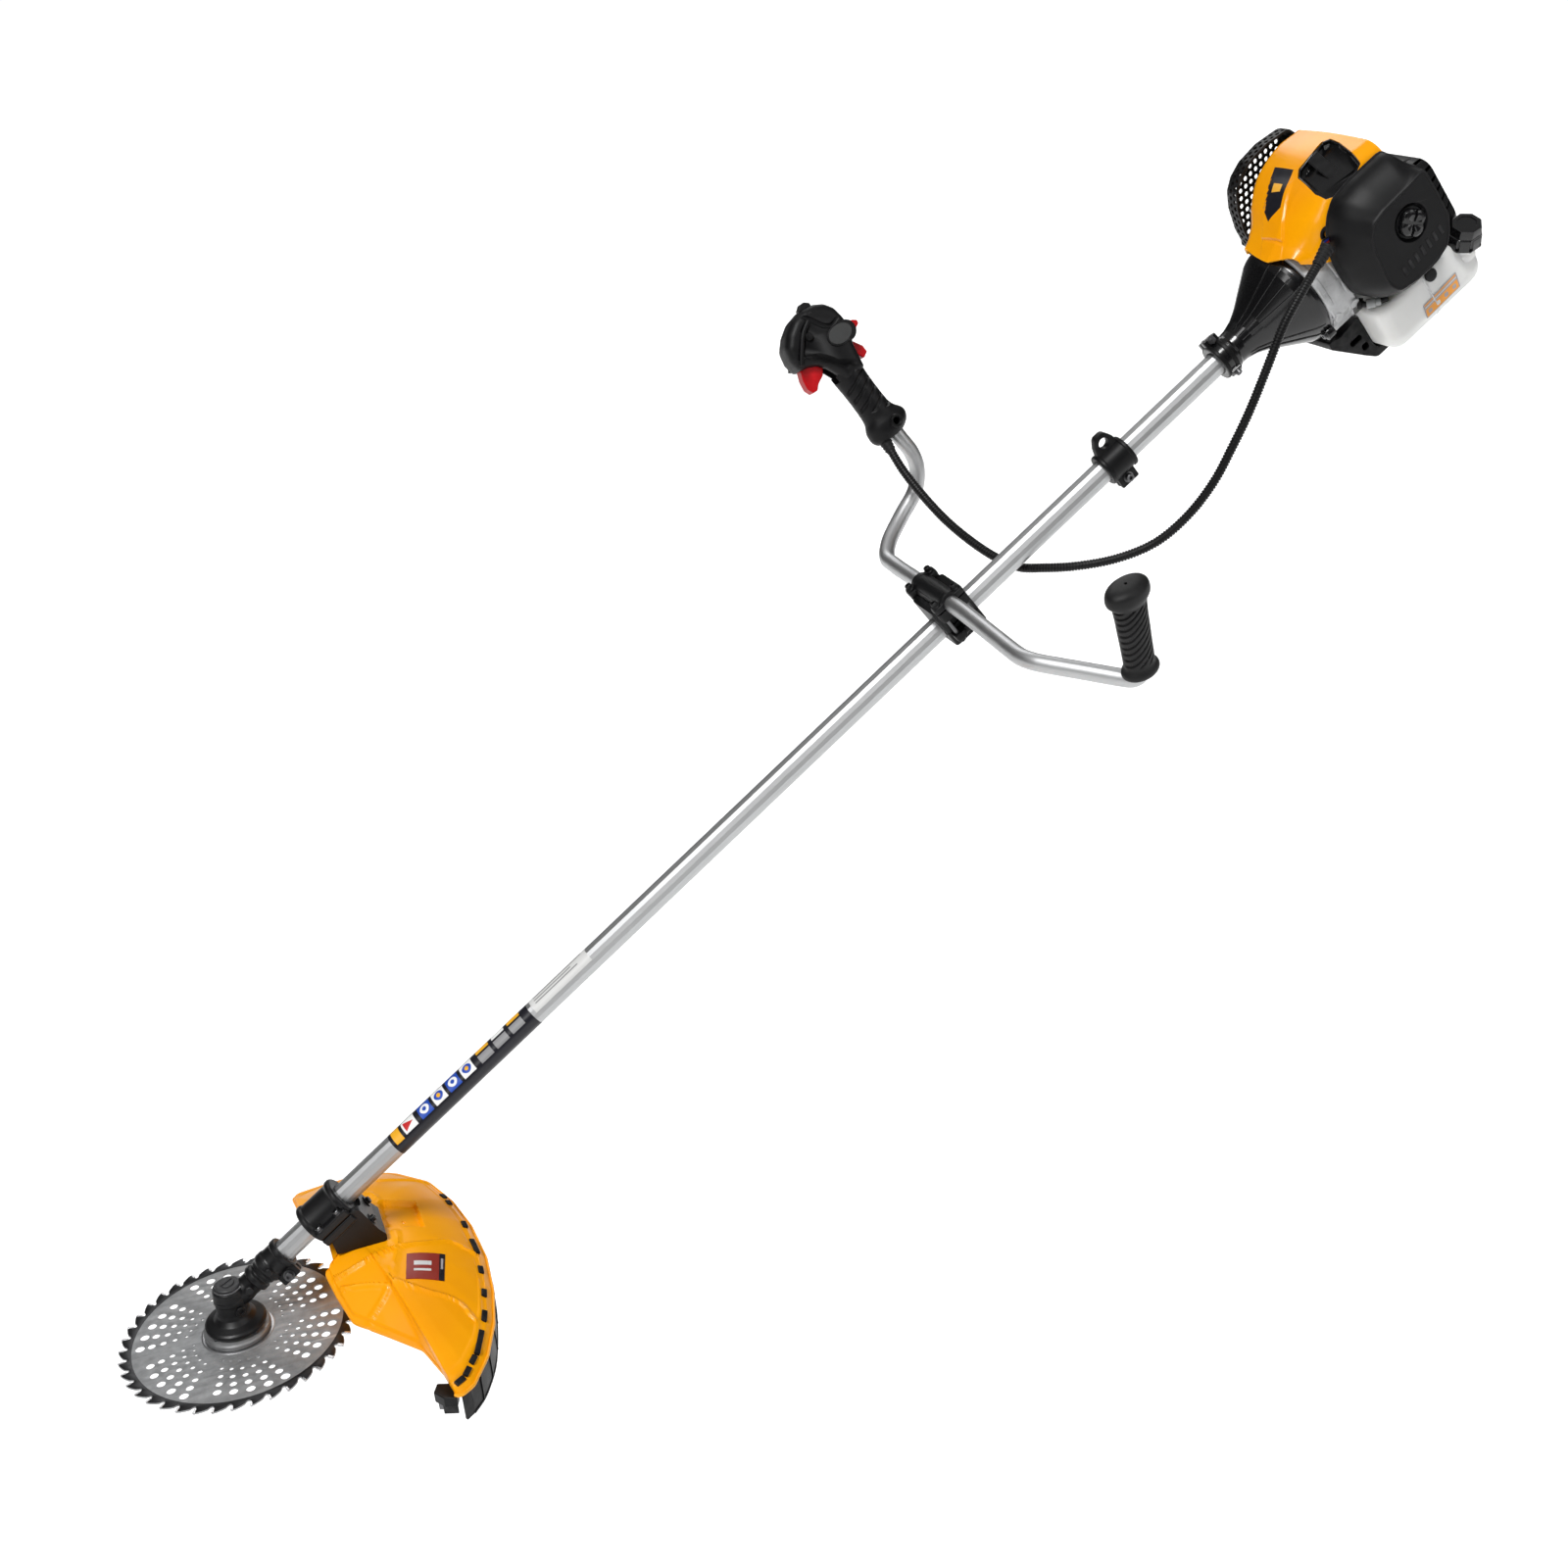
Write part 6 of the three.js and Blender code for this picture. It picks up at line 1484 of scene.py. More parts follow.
for deg, length in ((20.0, 7), (16.5, 7), (5.5, 9), (-4, 20), (-13, 9), (-21.5, 9), (-28.5, 12), (-36, 26), (-41.5, 9), (-44.5, 9), (-47.5, 9)):
    p, t_, n_ = rim_point(deg, 8.0)
    z_ = surf(p.x, p.y)
    M = HEAD @ along((p.x, p.y, z_ + 0.1), (n_ * 0.42 + Vector((0, 0, 0.9))).normalized(), t_)
    block("rim_clip", -length * 0.68, length * 0.68, -3.2, 3.2, -3.0, 2.2, M, r=0.9, seg=2, mat=BLACK)
# plain tile on the top
TILE = [(187.9, -53.9), (228.2, -51.0), (218.1, -95.9), (179.3, -93.0)]
BROWN = plastic("tile_brown", (0.26, 0.022, 0.012), 0.34, 500, 0.03, 0.5, vary=0.1)


def laid_guard(name, poly, mat, lift):
    from mathutils.geometry import delaunay_2d_cdt
    pts_ = []
    n_ = len(poly)
    for i in range(n_):
        p, q = Vector(poly[i]), Vector(poly[(i + 1) % n_])
        m_ = max(1, int((q - p).length / 2.5))
        pts_ += [p.lerp(q, k / m_) for k in range(m_)]
    ne = len(pts_)
    inn = []
    for i in range(1, 14):
        for j in range(1, 11):
            u_, v_ = i / 14, j / 11
            a_, b_, c_, d_ = (Vector(p) for p in poly)
            inn.append((a_.lerp(b_, u_)).lerp(d_.lerp(c_, u_), v_))
    vo, eo, fo, *_ = delaunay_2d_cdt(pts_ + inn, [(i, (i + 1) % ne) for i in range(ne)], [], 1, 1e-5)
    H = [surf(p.x, p.y) for p in vo]
    m_ = len(vo)
    fs = [list(f) for f in fo] + [[q + m_ for q in f][::-1] for f in fo]
    es = {(a_, b_) for f in fo for a_, b_ in zip(f, list(f[1:]) + [f[0]])}
    for a_, b_ in es:
        if (b_, a_) not in es:
            fs.append([b_, a_, a_ + m_, b_ + m_])
    return obj(name, [(p.x, p.y, h + lift) for p, h in zip(vo, H)] + [(p.x, p.y, h - 0.6) for p, h in zip(vo, H)], fs, HEAD, mat, smooth=40)


laid_guard("guard_tile", TILE, BROWN, 0.9)
part = lambda u0, u1, v0, v1: quad(TILE[0], TILE[1], TILE[2], TILE[3], u0, u1, v0, v1)
laid_guard("guard_tile_strip", part(0.86, 1.0, 0.0, 1.0), DARK_PRINT, 1.1)
laid_guard("guard_tile_mark", part(0.2, 0.66, 0.32, 0.48), PALE_PRINT, 1.1)
laid_guard("guard_tile_mark_low", part(0.2, 0.66, 0.62, 0.70), PALE_PRINT, 1.1)
laid_guard("guard_tile_dot", part(0.90, 0.96, 0.2, 0.6), GREY_PRINT, 1.3)

# ------------------------------------------------------------------ skirt below the rim, line cutter
LIP = [(270.5, 0), (271.5, -30), (269, -62), (265.5, -90), (260.5, -115), (254.5, -140), (246.5, -166), (236.5, -188), (225, -208), (212, -223)]
lp = resample(spline([Vector((*p, 0)) for p in LIP], 8), 4)
rings = []
for i, p in enumerate(lp):
    k_ = i / (len(lp) - 1)
    top = -20.6 - 0.9 * k_
    low = top - 6 - 26 * math.sin(min(1, k_ * 1.15) * pi / 2)
    n_ = Vector((p.x - 150, p.y + 20, 0)).normalized()
    sec_ = [(0, top), (2.2, top), (2.2, top - 2), (2.6, (top + low) / 2), (2.2, low + 3.2), (3.2, low + 2.6), (3.2, low + 0.6), (2.4, low), (0.4, low), (0, low + 0.8), (0, (top + low) / 2)]
    rings.append([(p.x + n_.x * d_, p.y + n_.y * d_, z_) for d_, z_ in sec_])
obj("skirt_strip", *skin(rings), HEAD, BLACK_SATIN, smooth=40, replaces="guard_skirt", slot="black_plastic")
for k_ in (0.14, 0.3, 0.46, 0.62, 0.78, 0.92):
    i = int(k_ * (len(lp) - 1))
    p, t_ = lp[i], (lp[i + 1] - lp[i - 1]).normalized()
    n_ = Vector((p.x - 150, p.y + 20, 0)).normalized()
    top = -20.6 - 0.9 * k_
    low = top - 6 - 26 * math.sin(min(1, k_ * 1.15) * pi / 2)
    M = HEAD @ axes(p + n_ * 2.2, t_, n_, Vector((0, 0, 1)))
    block("skirt_rib", -1.0, 1.0, 0, 1.6, low + 2, top - 1, M, r=0.4, mat=BLACK_SATIN)
prism("skirt_end", [(p[0], p[1]) for p in fillet([(214.5, -220.5, 0), (212.5, -225.5, 0), (203.5, -232.0, 0), (201.5, -229.2, 0), (210, -222.5, 0)], 0.8, 3, True)], -53, -21.6, HEAD, bevel=0.6, mat=BLACK_SATIN)
lc = prism("cutter_block", [(p[0], p[1]) for p in fillet([(176, -213, 0), (184, -226, 0), (196, -231, 0), (200, -221, 0), (196, -207, 0), (182, -201, 0)], 2, 4, True)], -34, -21.6, HEAD, bevel=1.0, seg=3, mat=BLACK, replaces="line_cutter", slot="black_plastic")
prism("cutter_knife", [(179, -211), (195, -218), (195.8, -216.4), (179.8, -209.4)], -47, -26, HEAD, bevel=0.3, mat=DARK_STEEL)
prism("cutter_jaw", [(182, -223), (196, -229), (197, -227), (183, -221)], -44, -26, HEAD, bevel=0.5, mat=BLACK)
for x_, y_ in ((184, -209), (190, -221)):
    merge("cutter_screw", cap_screw(HEAD @ along((x_, y_, -34), (0, 0, -1)), 3.0, 3.0, ZINC, socket="cross"))


# ------------------------------------------------------------------ handlebar and its clamp
BAR_R = 9.0
gp = lambda t: GRIP_BASE + GRIP_DIR * t
hp = lambda t: HANDLE_BASE + HANDLE_DIR * t
corner_ = gp(-12)
bend_ = Vector((-3, -216, -4))
along_ = (corner_ - bend_).normalized()


def arc_(at, d0_, d1_, r, m):
    turn_ = math.acos(d0_.dot(d1_))
    l_ = r * math.tan(turn_ / 2)
    c_, n_ = at - d0_ * l_, (d1_ - d0_ * d1_.dot(d0_)).normalized()
    return [c_ + d0_ * (r * math.sin(turn_ * i / m)) + n_ * (r * (1 - math.cos(turn_ * i / m))) for i in range(m + 1)]


BAR_PTS = [gp(84), gp(60), gp(35), gp(14), *arc_(corner_, along_, GRIP_DIR, 14, 6)[::-1], bend_ + along_ * 60, *arc_(bend_, Vector((0, -1, 0)), along_, 45, 4)[::-1], (-2, -150, -2.7), (-0.6, -90, -0.8), (0, -45, 0), (0, 0, 0), (0, 60, 0), (0, 112, 0),
           (1, 135, 2), (12, 154, 13), (38, 175, 34), (62, 187, 58), (67, 190, 81), (62, 192, 101), hp(-22), hp(0), hp(30), hp(64)]
obj("bar_tube", *sweep(spline([Vector(p) for p in BAR_PTS], 9), 8.95, 40), BAR, TUBE, smooth=70, replaces="handlebar", slot="tube_aluminium")
CL = SHAFT @ Matrix.Translation((1082, 0, 0))
BZ = 33


def clamp_block(name, z0, z1, mat, x=22, y=26, r=5.0, **kw):
    return prism(name, [(p[0], p[1]) for p in fillet([(-x, -y, 0), (x, -y, 0), (x, y, 0), (-x, y, 0)], r, 5, True)], z0, z1, CL, bevel=1.6, seg=3, mat=mat, **kw)


def clamp_arm(s_, z0, z1, x=19):
    """Two lugs joined by a waist, on one side of the tube, each round a bolt."""
    w_ = [(-x - 0.6, 27, 0), (-x - 0.6, 39.5, 0), (-7.5, 39.5, 0), (-5, 35.5, 0), (5, 35.5, 0), (7.5, 39.5, 0), (x + 0.6, 39.5, 0), (x + 0.6, 27, 0), (13, 24, 0), (-13, 24, 0)]
    return prism("arm", [(p[0], p[1] * s_) for p in fillet(w_, [4, 5, 4, 2, 2, 4, 5, 4, 2, 2], 5, True)], z0, z1, CL, bevel=1.3, seg=3, mat=BLACK, body=None)


basec = clamp_block("clamp_base", -18, -0.4, BLACK, replaces="handlebar_clamp_base", slot="black_plastic")
midc = clamp_block("clamp_middle", 0.4, BZ, BLACK, replaces="handlebar_clamp_middle", slot="black_plastic")
capc = obj("clamp_cap", *revolve([(0, -38.5), (11.6, -38.5), (13.2, -37.4), (13.5, -36), (13.5, -30), (12.9, -29), (12.9, 29), (13.5, 30), (13.5, 36), (13.2, 37.4), (11.6, 38.5), (0, 38.5)], 96, 0.6, 3), CL @ Matrix.Translation((0, 0, BZ)) @ turn("y"), BLACK_SATIN, smooth=40, replaces="handlebar_clamp_cap", slot="black_plastic")
carve(basec, [clamp_arm(s_, -9, -0.5) for s_ in (-1, 1)], op="UNION")
carve(midc, [clamp_arm(s_, 20, BZ + 0.7) for s_ in (-1, 1)] + [rod(12.9, -38.5, 38.5, CL @ Matrix.Translation((0, 0, BZ - 0.4)) @ turn("y"), 64)], op="UNION")
carve(capc, [clamp_arm(s_, BZ + 0.5, BZ + 7.6, 19.4) for s_ in (-1, 1)], op="UNION")
side_w = []
for s_ in (-1, 1):
    # hollows in the sides of the base and the middle block
    for z0_, z1_ in ((-14, -4), (4.5, 15)):
        side_w.append((s_, z0_, z1_))
carve(basec, [rod(13.35, -60, 60, CL @ turn("x"), 96)] + [tool(*prism_data(rrect(-12, 12, z0_, z1_, 2), -31, -23.6) if s_ < 0 else prism_data(rrect(-12, 12, z0_, z1_, 2), 23.6, 31), CL @ Matrix(((1, 0, 0, 0), (0, 0, 1, 0), (0, 1, 0, 0), (0, 0, 0, 1)))) for s_, z0_, z1_ in side_w if z0_ < 0])
carve(midc, [tool(*prism_data([(-60, -60), (60, -60), (60, 60), (-60, 60)], BZ - 0.62, 80), CL), rod(13.35, -60, 60, CL @ turn("x"), 96), rod(9.3, -60, 60, CL @ Matrix.Translation((0, 0, BZ)) @ turn("y"), 80)]
      + [tool(*prism_data(rrect(-12, 12, z0_, z1_, 2), -31, -23.6) if s_ < 0 else prism_data(rrect(-12, 12, z0_, z1_, 2), 23.6, 31), CL @ Matrix(((1, 0, 0, 0), (0, 0, 1, 0), (0, 1, 0, 0), (0, 0, 0, 1)))) for s_, z0_, z1_ in side_w if z0_ > 0])
carve(capc, [tool(*prism_data([(-60, -60), (60, -60), (60, 60), (-60, 60)], -30, BZ + 0.4), CL), rod(9.3, -60, 60, CL @ Matrix.Translation((0, 0, BZ)) @ turn("y"), 80)])
for x_ in (-14, 14):
    for y_ in (-33, 33):
        lathe("clamp_boss", [(0, BZ + 7.2), (5.8, BZ + 7.2), (5.6, BZ + 9.0), (5.0, BZ + 9.6), (0, BZ + 9.6)], CL @ Matrix.Translation((x_, y_, 0)), seg=32, r=0.4, mat=BLACK)
        merge("clamp_bolt", cap_screw(CL @ along((x_, y_, BZ + 9.4), (0, 0, 1)), 3.7, 4.6, BLACK))
        rod_ = lathe("clamp_bolt_shank", [(0, -0.6), (2.4, -0.6), (2.4, 20.4), (0, 20.4)], CL @ Matrix.Translation((x_, y_, 0)), seg=24, mat=DARK_STEEL)
        lathe("clamp_nut", [(0, 0), (4.2, 0), (4.2, 3.2), (0, 3.4)], CL @ along((x_, y_, -9), (0, 0, -1)), seg=6, mat=BLACK, smooth=30)

# ------------------------------------------------------------------ left grip
GRIP_OVAL = [(0, 16.6, 13.4), (0.5, 18.2, 15.0), (1.6, 19.6, 16.0), (3.4, 20.5, 16.7), (5.4, 20.5, 16.7), (7.4, 19.8, 16.1), (9.4, 18.2, 15.1), (11.5, 16.9, 14.4), (14, 16.5, 14.1), (26, 16.5, 14.1), (40, 16.8, 14.2), (54, 17.3, 14.4), (66, 17.6, 14.4), (76, 18.3, 14.7), (82, 19, 15), (85, 20.2, 15.6),
             (87.4, 22.6, 16.6), (90, 24.6, 17.5), (93, 25.2, 17.8), (96, 25.0, 17.6), (99, 24.2, 17.0), (101.4, 22.4, 15.6), (103.2, 19.4, 13.0), (104.4, 15, 9.6), (104.9, 9, 5.4), (105, 2.2, 2.0)]
GRIP_TURN = 0.35


def oval_at(z, m=144):
    rx_, ry_ = lerp_table(GRIP_OVAL, z)
    row_ = []
    for i in range(m):
        t_ = tau * i / m
        x_, y_ = rx_ * math.cos(t_), ry_ * math.sin(t_)
        # slanting ribs on the inner face of the grip, a plain back
        if 12 < z < 86:
            face_ = smooth01((math.sin(t_ + 0.1) + 0.15) / 0.22) if OVAL_SIDE > 0 else smooth01((-math.sin(t_ + 0.1) + 0.15) / 0.22)
            lim = smooth01((z - 14) / 3) * smooth01((84 - z) / 3)
            ph = (z + RIB_SLOPE * x_) / 7.4
            q_ = abs((ph % 1.0) - 0.5) * 2
            d_ = -1.7 * face_ * lim * smooth01((q_ - 0.5) / 0.2)
            l_ = math.hypot(x_, y_)
            x_, y_ = x_ * (1 + d_ / l_), y_ * (1 + d_ / l_)
        c_, s_ = math.cos(GRIP_TURN), math.sin(GRIP_TURN)
        row_.append((c_ * x_ - s_ * y_, s_ * x_ + c_ * y_, z))
    return row_


OVAL_SIDE, RIB_SLOPE = 1, 0.75
zs_ = [0, 0.5, 1.0, 1.6, 2.4, 3.4, 4.4, 5.4, 6.4, 7.4, 8.4, 9.4, 10.4, 11.5]
while zs_[-1] < 86:
    zs_.append(zs_[-1] + 0.6)
zs_ += [87, 88, 89, 90, 91.5, 93, 94.5, 96, 97.5, 99, 100.2, 101.4, 102.4, 103.2, 103.9, 104.4, 104.7, 104.9, 105]
grip_ = obj("grip_rubber_sleeve", *skin([oval_at(z) for z in zs_]), GRIP, RUBBER_SOFT, smooth=60, replaces="left_grip", slot="rubber")
carve(grip_, [rod(12.9, -5, 21, GRIP, 64), rod(9.75, 10, 88, GRIP, 64), rod(1.7, 86, 110, GRIP, 24)])

# ------------------------------------------------------------------ throttle handle, two halves
SIDE = [(14, 66), (20, 82), (24, 91), (31, 100), (41, 105.5), (52, 108), (54.5, 122), (50.5, 137), (38.5, 148.5), (24, 156.5), (7, 159.5), (-8, 156.5), (-19, 149.5), (-26, 139), (-28, 124), (-26, 106), (-19, 95), (-13, 66)]
side_p = [(p[0], p[1]) for p in fillet([(x_, z_, 0) for x_, z_ in SIDE], [4, 10, 8, 8, 8, 5, 12, 12, 14, 14, 14, 14, 12, 12, 12, 8, 10, 4], 5, True)]
side_p = resample2(side_p, 150)


def side_ring(y, d, dz=0.0):
    out = []
    n_ = len(side_p)
    for i in range(n_):
        p, t_ = Vector(side_p[i]), (Vector(side_p[(i + 2) % n_]) - Vector(side_p[i - 2])).normalized()
        nn_ = Vector((-t_.y, t_.x))
        out.append((p, nn_))
    area2 = sum(side_p[i][0] * side_p[(i + 1) % n_][1] - side_p[(i + 1) % n_][0] * side_p[i][1] for i in range(n_))
    s_ = 1 if area2 > 0 else -1
    return [(p.x + q.x * d * s_, y, p.y + q.y * d * s_) for p, q in out]


ramp_ = [(20.4, 13.0), (20.3, 10.5), (19.9, 8.0), (19.0, 5.4), (17.4, 3.1), (15.0, 1.4), (12.4, 0.4), (9.0, 0.0), (4.0, 0.0)]
rings = [side_ring(-y_, d_) for y_, d_ in ramp_] + [side_ring(y_, d_) for y_, d_ in ramp_[::-1]]
h_all = obj("head", *skin(rings), HANDLE, BLACK_SATIN, body=None, smooth=48)
GIRTH = [(-15.6, 7, 15, 12.5), (-15, 7, 17.4, 14.6), (-13.6, 6.4, 20, 16.4), (-10, 5, 24, 19), (-6, 4, 26.2, 20.4), (-1, 3, 27, 20.9), (4, 3, 26.2, 20.4), (8, 3.2, 24, 19.4), (12, 3.5, 21.2, 18.5), (17, 3.8, 19.4, 17.8), (22, 4, 18.6, 17.4), (33, 4, 18.1, 17.1), (44, 4, 18, 17), (54, 4, 18.2, 17.2), (62, 4, 18.6, 17.4), (70, 4, 19, 17.6), (78, 4, 19.4, 17.6)]


def girth(z):
    return lerp_table(GIRTH, z)


rings = []
z = -15.6
while z < 78:
    cx_, rx_, ry_ = girth(z)
    row = []
    for i in range(120):
        t_ = tau * i / 120
        x_, y_ = cx_ + rx_ * math.cos(t_), ry_ * math.sin(t_)
        d_ = 0
        if 11 < z < 72:
            ph = (z + 0.43 * (x_ - 4)) / 12.2
            q_ = abs((ph % 1.0) - 0.5) * 2
            face_ = smooth01((abs(math.sin(t_)) - 0.25) / 0.2)
            lim = smooth01((z - 12 - 0.3 * (x_ + 14)) / 3) * smooth01((69 - 0.2 * (x_ + 14) - z) / 3)
            d_ = -2.3 * face_ * lim * smooth01((q_ - 0.58) / 0.16)
        row.append((x_ + d_ * math.cos(t_), y_ + d_ * math.sin(t_), z))
    rings.append(row)
    z += 0.7 if -2 < z < 74 else 0.5
g_all = obj("g", *skin(rings), HANDLE, BLACK_SATIN, body=None, smooth=50)
boss_ = obj("b", *revolve([(0, 4), (7.6, 4), (7.8, 21.4), (7.2, 22.8), (5.2, 23.2), (4.4, 22.6), (0, 22.2)], 48, 0.4, 3), HANDLE @ along((-0.6, 0, -2.7), (0, 1, 0)), BLACK_SATIN, body=None)
boss2 = obj("b2", *revolve([(0, -21.4), (10.4, -21.4), (11.8, -20.6), (12.4, -18.6), (12.4, 18.6), (11.8, 20.6), (10.4, 21.4), (0, 21.4)], 56, 0.6, 3), HANDLE @ Matrix.Translation((-19, 0, 111)) @ turn("y"), BLACK_SATIN, body=None)
carve(h_all, [g_all, boss_, boss2], op="UNION")
XZ = Matrix(((1, 0, 0, 0), (0, 0, 1, 0), (0, 1, 0, 0), (0, 0, 0, 1)))
rect = lambda x0_, x1_, z0_, z1_, y0_, y1_, r_=2.0: tool(*prism_data(rrect(x0_, x1_, z0_, z1_, r_), y0_, y1_), HANDLE @ XZ)
holes_ = [rod(4.4, 11.5, 40, HANDLE @ along((-0.6, 0, -2.7), (0, 1, 0)), 32), rod(9.7, -20, 67, HANDLE, 64), rect(14, 70, 70, 104, -8.6, 8.6, 3), rect(14, 50.6, 98, 122, -8.6, 8.6, 3), rect(-44, -9, 66, 104, -5.6, 5.6, 2),
          rod(4.7, -60, -20, HANDLE @ Matrix.Translation((0, 0, 112)) @ turn("x"), 40), rect(-47, -30, 104, 116.5, -3.9, 3.9, 1.0)]
# a long scooped crease on each cheek, from the nose round under the switch boss
for s_ in (-1, 1):
    path_ = spline([Vector(q) for q in ((20, s_ * 21.6, 160), (13, s_ * 21.4, 153), (7, s_ * 21.2, 143), (0, s_ * 21.2, 131), (-8, s_ * 21.4, 126), (-20, s_ * 22.2, 128), (-32, s_ * 23.4, 130))], 6)
    holes_.append(tool(*sweep(path_, 3.4, 16), HANDLE))
    path_ = spline([Vector(q) for q in ((50, s_ * 20.6, 112), (38, s_ * 21.6, 126), (26, s_ * 21.8, 138), (12, s_ * 22.4, 146))], 6)
    holes_.append(tool(*sweep(path_, 2.6, 16), HANDLE))
carve(h_all, holes_)
# split in two along the middle
me_src = h_all.data


def half(side):
    me2 = me_src.copy()
    bm = bmesh.new()
    bm.from_mesh(me2)
    mid_p = (HANDLE @ Vector((0, 0.14 * side, 0)))
    nrm = (HANDLE.to_3x3() @ Vector((0, side, 0))).normalized()
    res = bmesh.ops.bisect_plane(bm, geom=bm.verts[:] + bm.edges[:] + bm.faces[:], dist=1e-7, plane_co=mid_p, plane_no=nrm, clear_inner=True)
    ed = [e for e in res["geom_cut"] if isinstance(e, bmesh.types.BMEdge)]
    bmesh.ops.holes_fill(bm, edges=ed)
    bm.to_mesh(me2)
    bm.free()
    return me2


for side, name, rep in ((1, "handle_half_left", "throttle_housing_left"), (-1, "handle_half_right", "throttle_housing_right")):
    m2 = half(side)
    m2.name = name
    finish(name, m2, None, smooth=44, replaces=rep, slot="black_plastic")
bpy.data.objects.remove(h_all)
for x_, z_ in ((40, 118), (10, 88), (4, 150)):
    for s_ in (-1, 1):
        merge("handle_screw", cap_screw(HANDLE @ along((x_, s_ * 17.6, z_), (0, s_, 0)), 2.6, 2.4, BLACK_SATIN, washer=False, socket="cross"))
# grey pad on the switch boss
pad_m = plastic("grey_pad", (0.042, 0.043, 0.043), 0.5, 700, 0.15, 0.35)
OM = HANDLE @ along((-9.6, 0, 112.6), (0, 1, 0), (1, 0, 0.06))
prism("handle_pad_boss", [(16.6 * math.cos(tau * i / 64), 12.0 * math.sin(tau * i / 64)) for i in range(64)], 8, 22.6, OM, bevel=1.2, seg=3, mat=BLACK_SATIN)
prism("handle_pad", [(15.0 * math.cos(tau * i / 64), 10.4 * math.sin(tau * i / 64)) for i in range(64)], 22.0, 23.3, OM, bevel=0.5, seg=3, mat=pad_m)
lathe("handle_screw_collar", [(4.6, 20.0), (7.4, 20.0), (7.4, 23.6), (6.8, 24.3), (5.4, 24.4), (4.6, 23.8), (4.6, 20.0)], HANDLE @ along((-0.6, 0, -2.7), (0, 1, 0)), seg=48, r=0.3, mat=BLACK)
prism("handle_lug", [(p[0], p[1]) for p in fillet([(150, -7, 0), (160.5, -7, 0), (164.5, -2, 0), (165, 4, 0), (161, 10, 0), (150, 12, 0)], 2.4, 4, True)], 2, 11, HANDLE, "y", bevel=1.4, seg=3, mat=BLACK_SATIN)
TRIG = [(p[0], p[1]) for p in fillet([(x_, z_, 0) for x_, z_ in [(24, 112), (30, 116), (38, 114), (49, 109), (54, 98), (56, 87), (53, 79.5), (47, 79), (41, 84), (31, 88), (24, 97)]], [3, 2, 4, 6, 10, 6, 2.5, 2.5, 6, 5, 6], 6, True)]
prism("trigger_lever", TRIG, -7.9, 7.9, HANDLE @ XZ, bevel=2.4, seg=4, mat=RED, body="trigger", replaces="throttle_trigger", slot="red_plastic")
LOCK = [(p[0], p[1]) for p in fillet([(x_, z_, 0) for x_, z_ in [(-13, 97), (-16, 101), (-22, 99), (-30, 85), (-30, 77), (-22, 73), (-19, 80), (-17.5, 90)]], [1.5, 2, 4, 3, 2, 2.5, 4, 3], 6, True)]
prism("lockout_tongue", LOCK, -4.9, 4.9, HANDLE @ XZ, bevel=1.3, seg=3, mat=RED, body="lockout", replaces="lockout_lever", slot="red_plastic")
sw1 = lathe("switch_stem", [(0, 24), (4.2, 24), (4.2, 38), (0, 38)], HANDLE @ along((0, 0, 112), (-1, 0, 0)), seg=40, r=0.4, mat=RED, body="stop")
prism("switch_wedge", [(p[0], p[1]) for p in fillet([(-36, 105, 0), (-42.5, 107.5, 0), (-43.5, 111.5, 0), (-39, 115, 0), (-35, 115.6, 0)], 0.9, 3, True)], -3.4, 3.4, HANDLE @ XZ, bevel=0.7, seg=3, mat=RED, body="stop", replaces="stop_switch", slot="red_plastic")
lathe("hold_cap", [(0, 14.5), (4.6, 14.5), (4.6, 22.6), (4.0, 23.5), (0, 23.8)], HANDLE @ along((22, 0, 132), (0, 1, 0)), seg=40, r=0.4, mat=BLACK, body="hold_button", replaces="half_throttle_button", slot="black_plastic")

# ------------------------------------------------------------------ harness clamp
EYE_AT, EYE_Z = 1324, 27
HC = SHAFT @ Matrix.Translation((EYE_AT, 0, 0))
lathe("harness_band", [(13.35, -17.6), (18.2, -17.6), (19.2, -16.4), (19.2, -13.6), (18.2, -12.6), (18.2, 12.6), (19.2, 13.6), (19.2, 16.4), (18.2, 17.6), (13.35, 17.6), (13.35, -17.6)], HC, "x", 96, r=0.8, mat=BLACK_SATIN, smooth=40, replaces="harness_clamp", slot="black_plastic")
ey = plate("harness_eye_plate", [(p[0], p[1]) for p in fillet([(-16, 13, 0), (-12, 28, 0), (-6, 38, 0), (6, 38, 0), (12, 28, 0), (16, 13, 0)], [2, 5, 6, 6, 5, 2], 5, True)], [circle(0, 27, 6.0, 36)], -5, 5, HC @ XZ, edge=1.4, mat=BLACK_SATIN, smooth=40)
for s_ in (-1, 1):
    block("harness_ear", -11.6, 11.6, s_ * 4.0 - 2.8, s_ * 4.0 + 2.8, -31, -14, HC, r=1.6, seg=3, mat=BLACK_SATIN)
merge("harness_bolt", cap_screw(HC @ along((0, -6.9, -23.5), (0, -1, 0)), 4.4, 5.0, DARK_STEEL))
lathe("harness_nut", [(0, 0), (4.6, 0), (4.6, 3.6), (0, 3.8)], HC @ along((0, 6.9, -23.5), (0, 1, 0)), seg=6, mat=ZINC, smooth=30)

# ------------------------------------------------------------------ sleeve and plain tiles on the tube
R0 = 13.0
lathe("tube_label_sleeve", [(12.9, 247), (R0 + 0.16, 247), (R0 + 0.16, 453), (12.9, 453), (12.9, 247)], SHAFT, "x", 96, mat=DARK_PRINT, smooth=40)


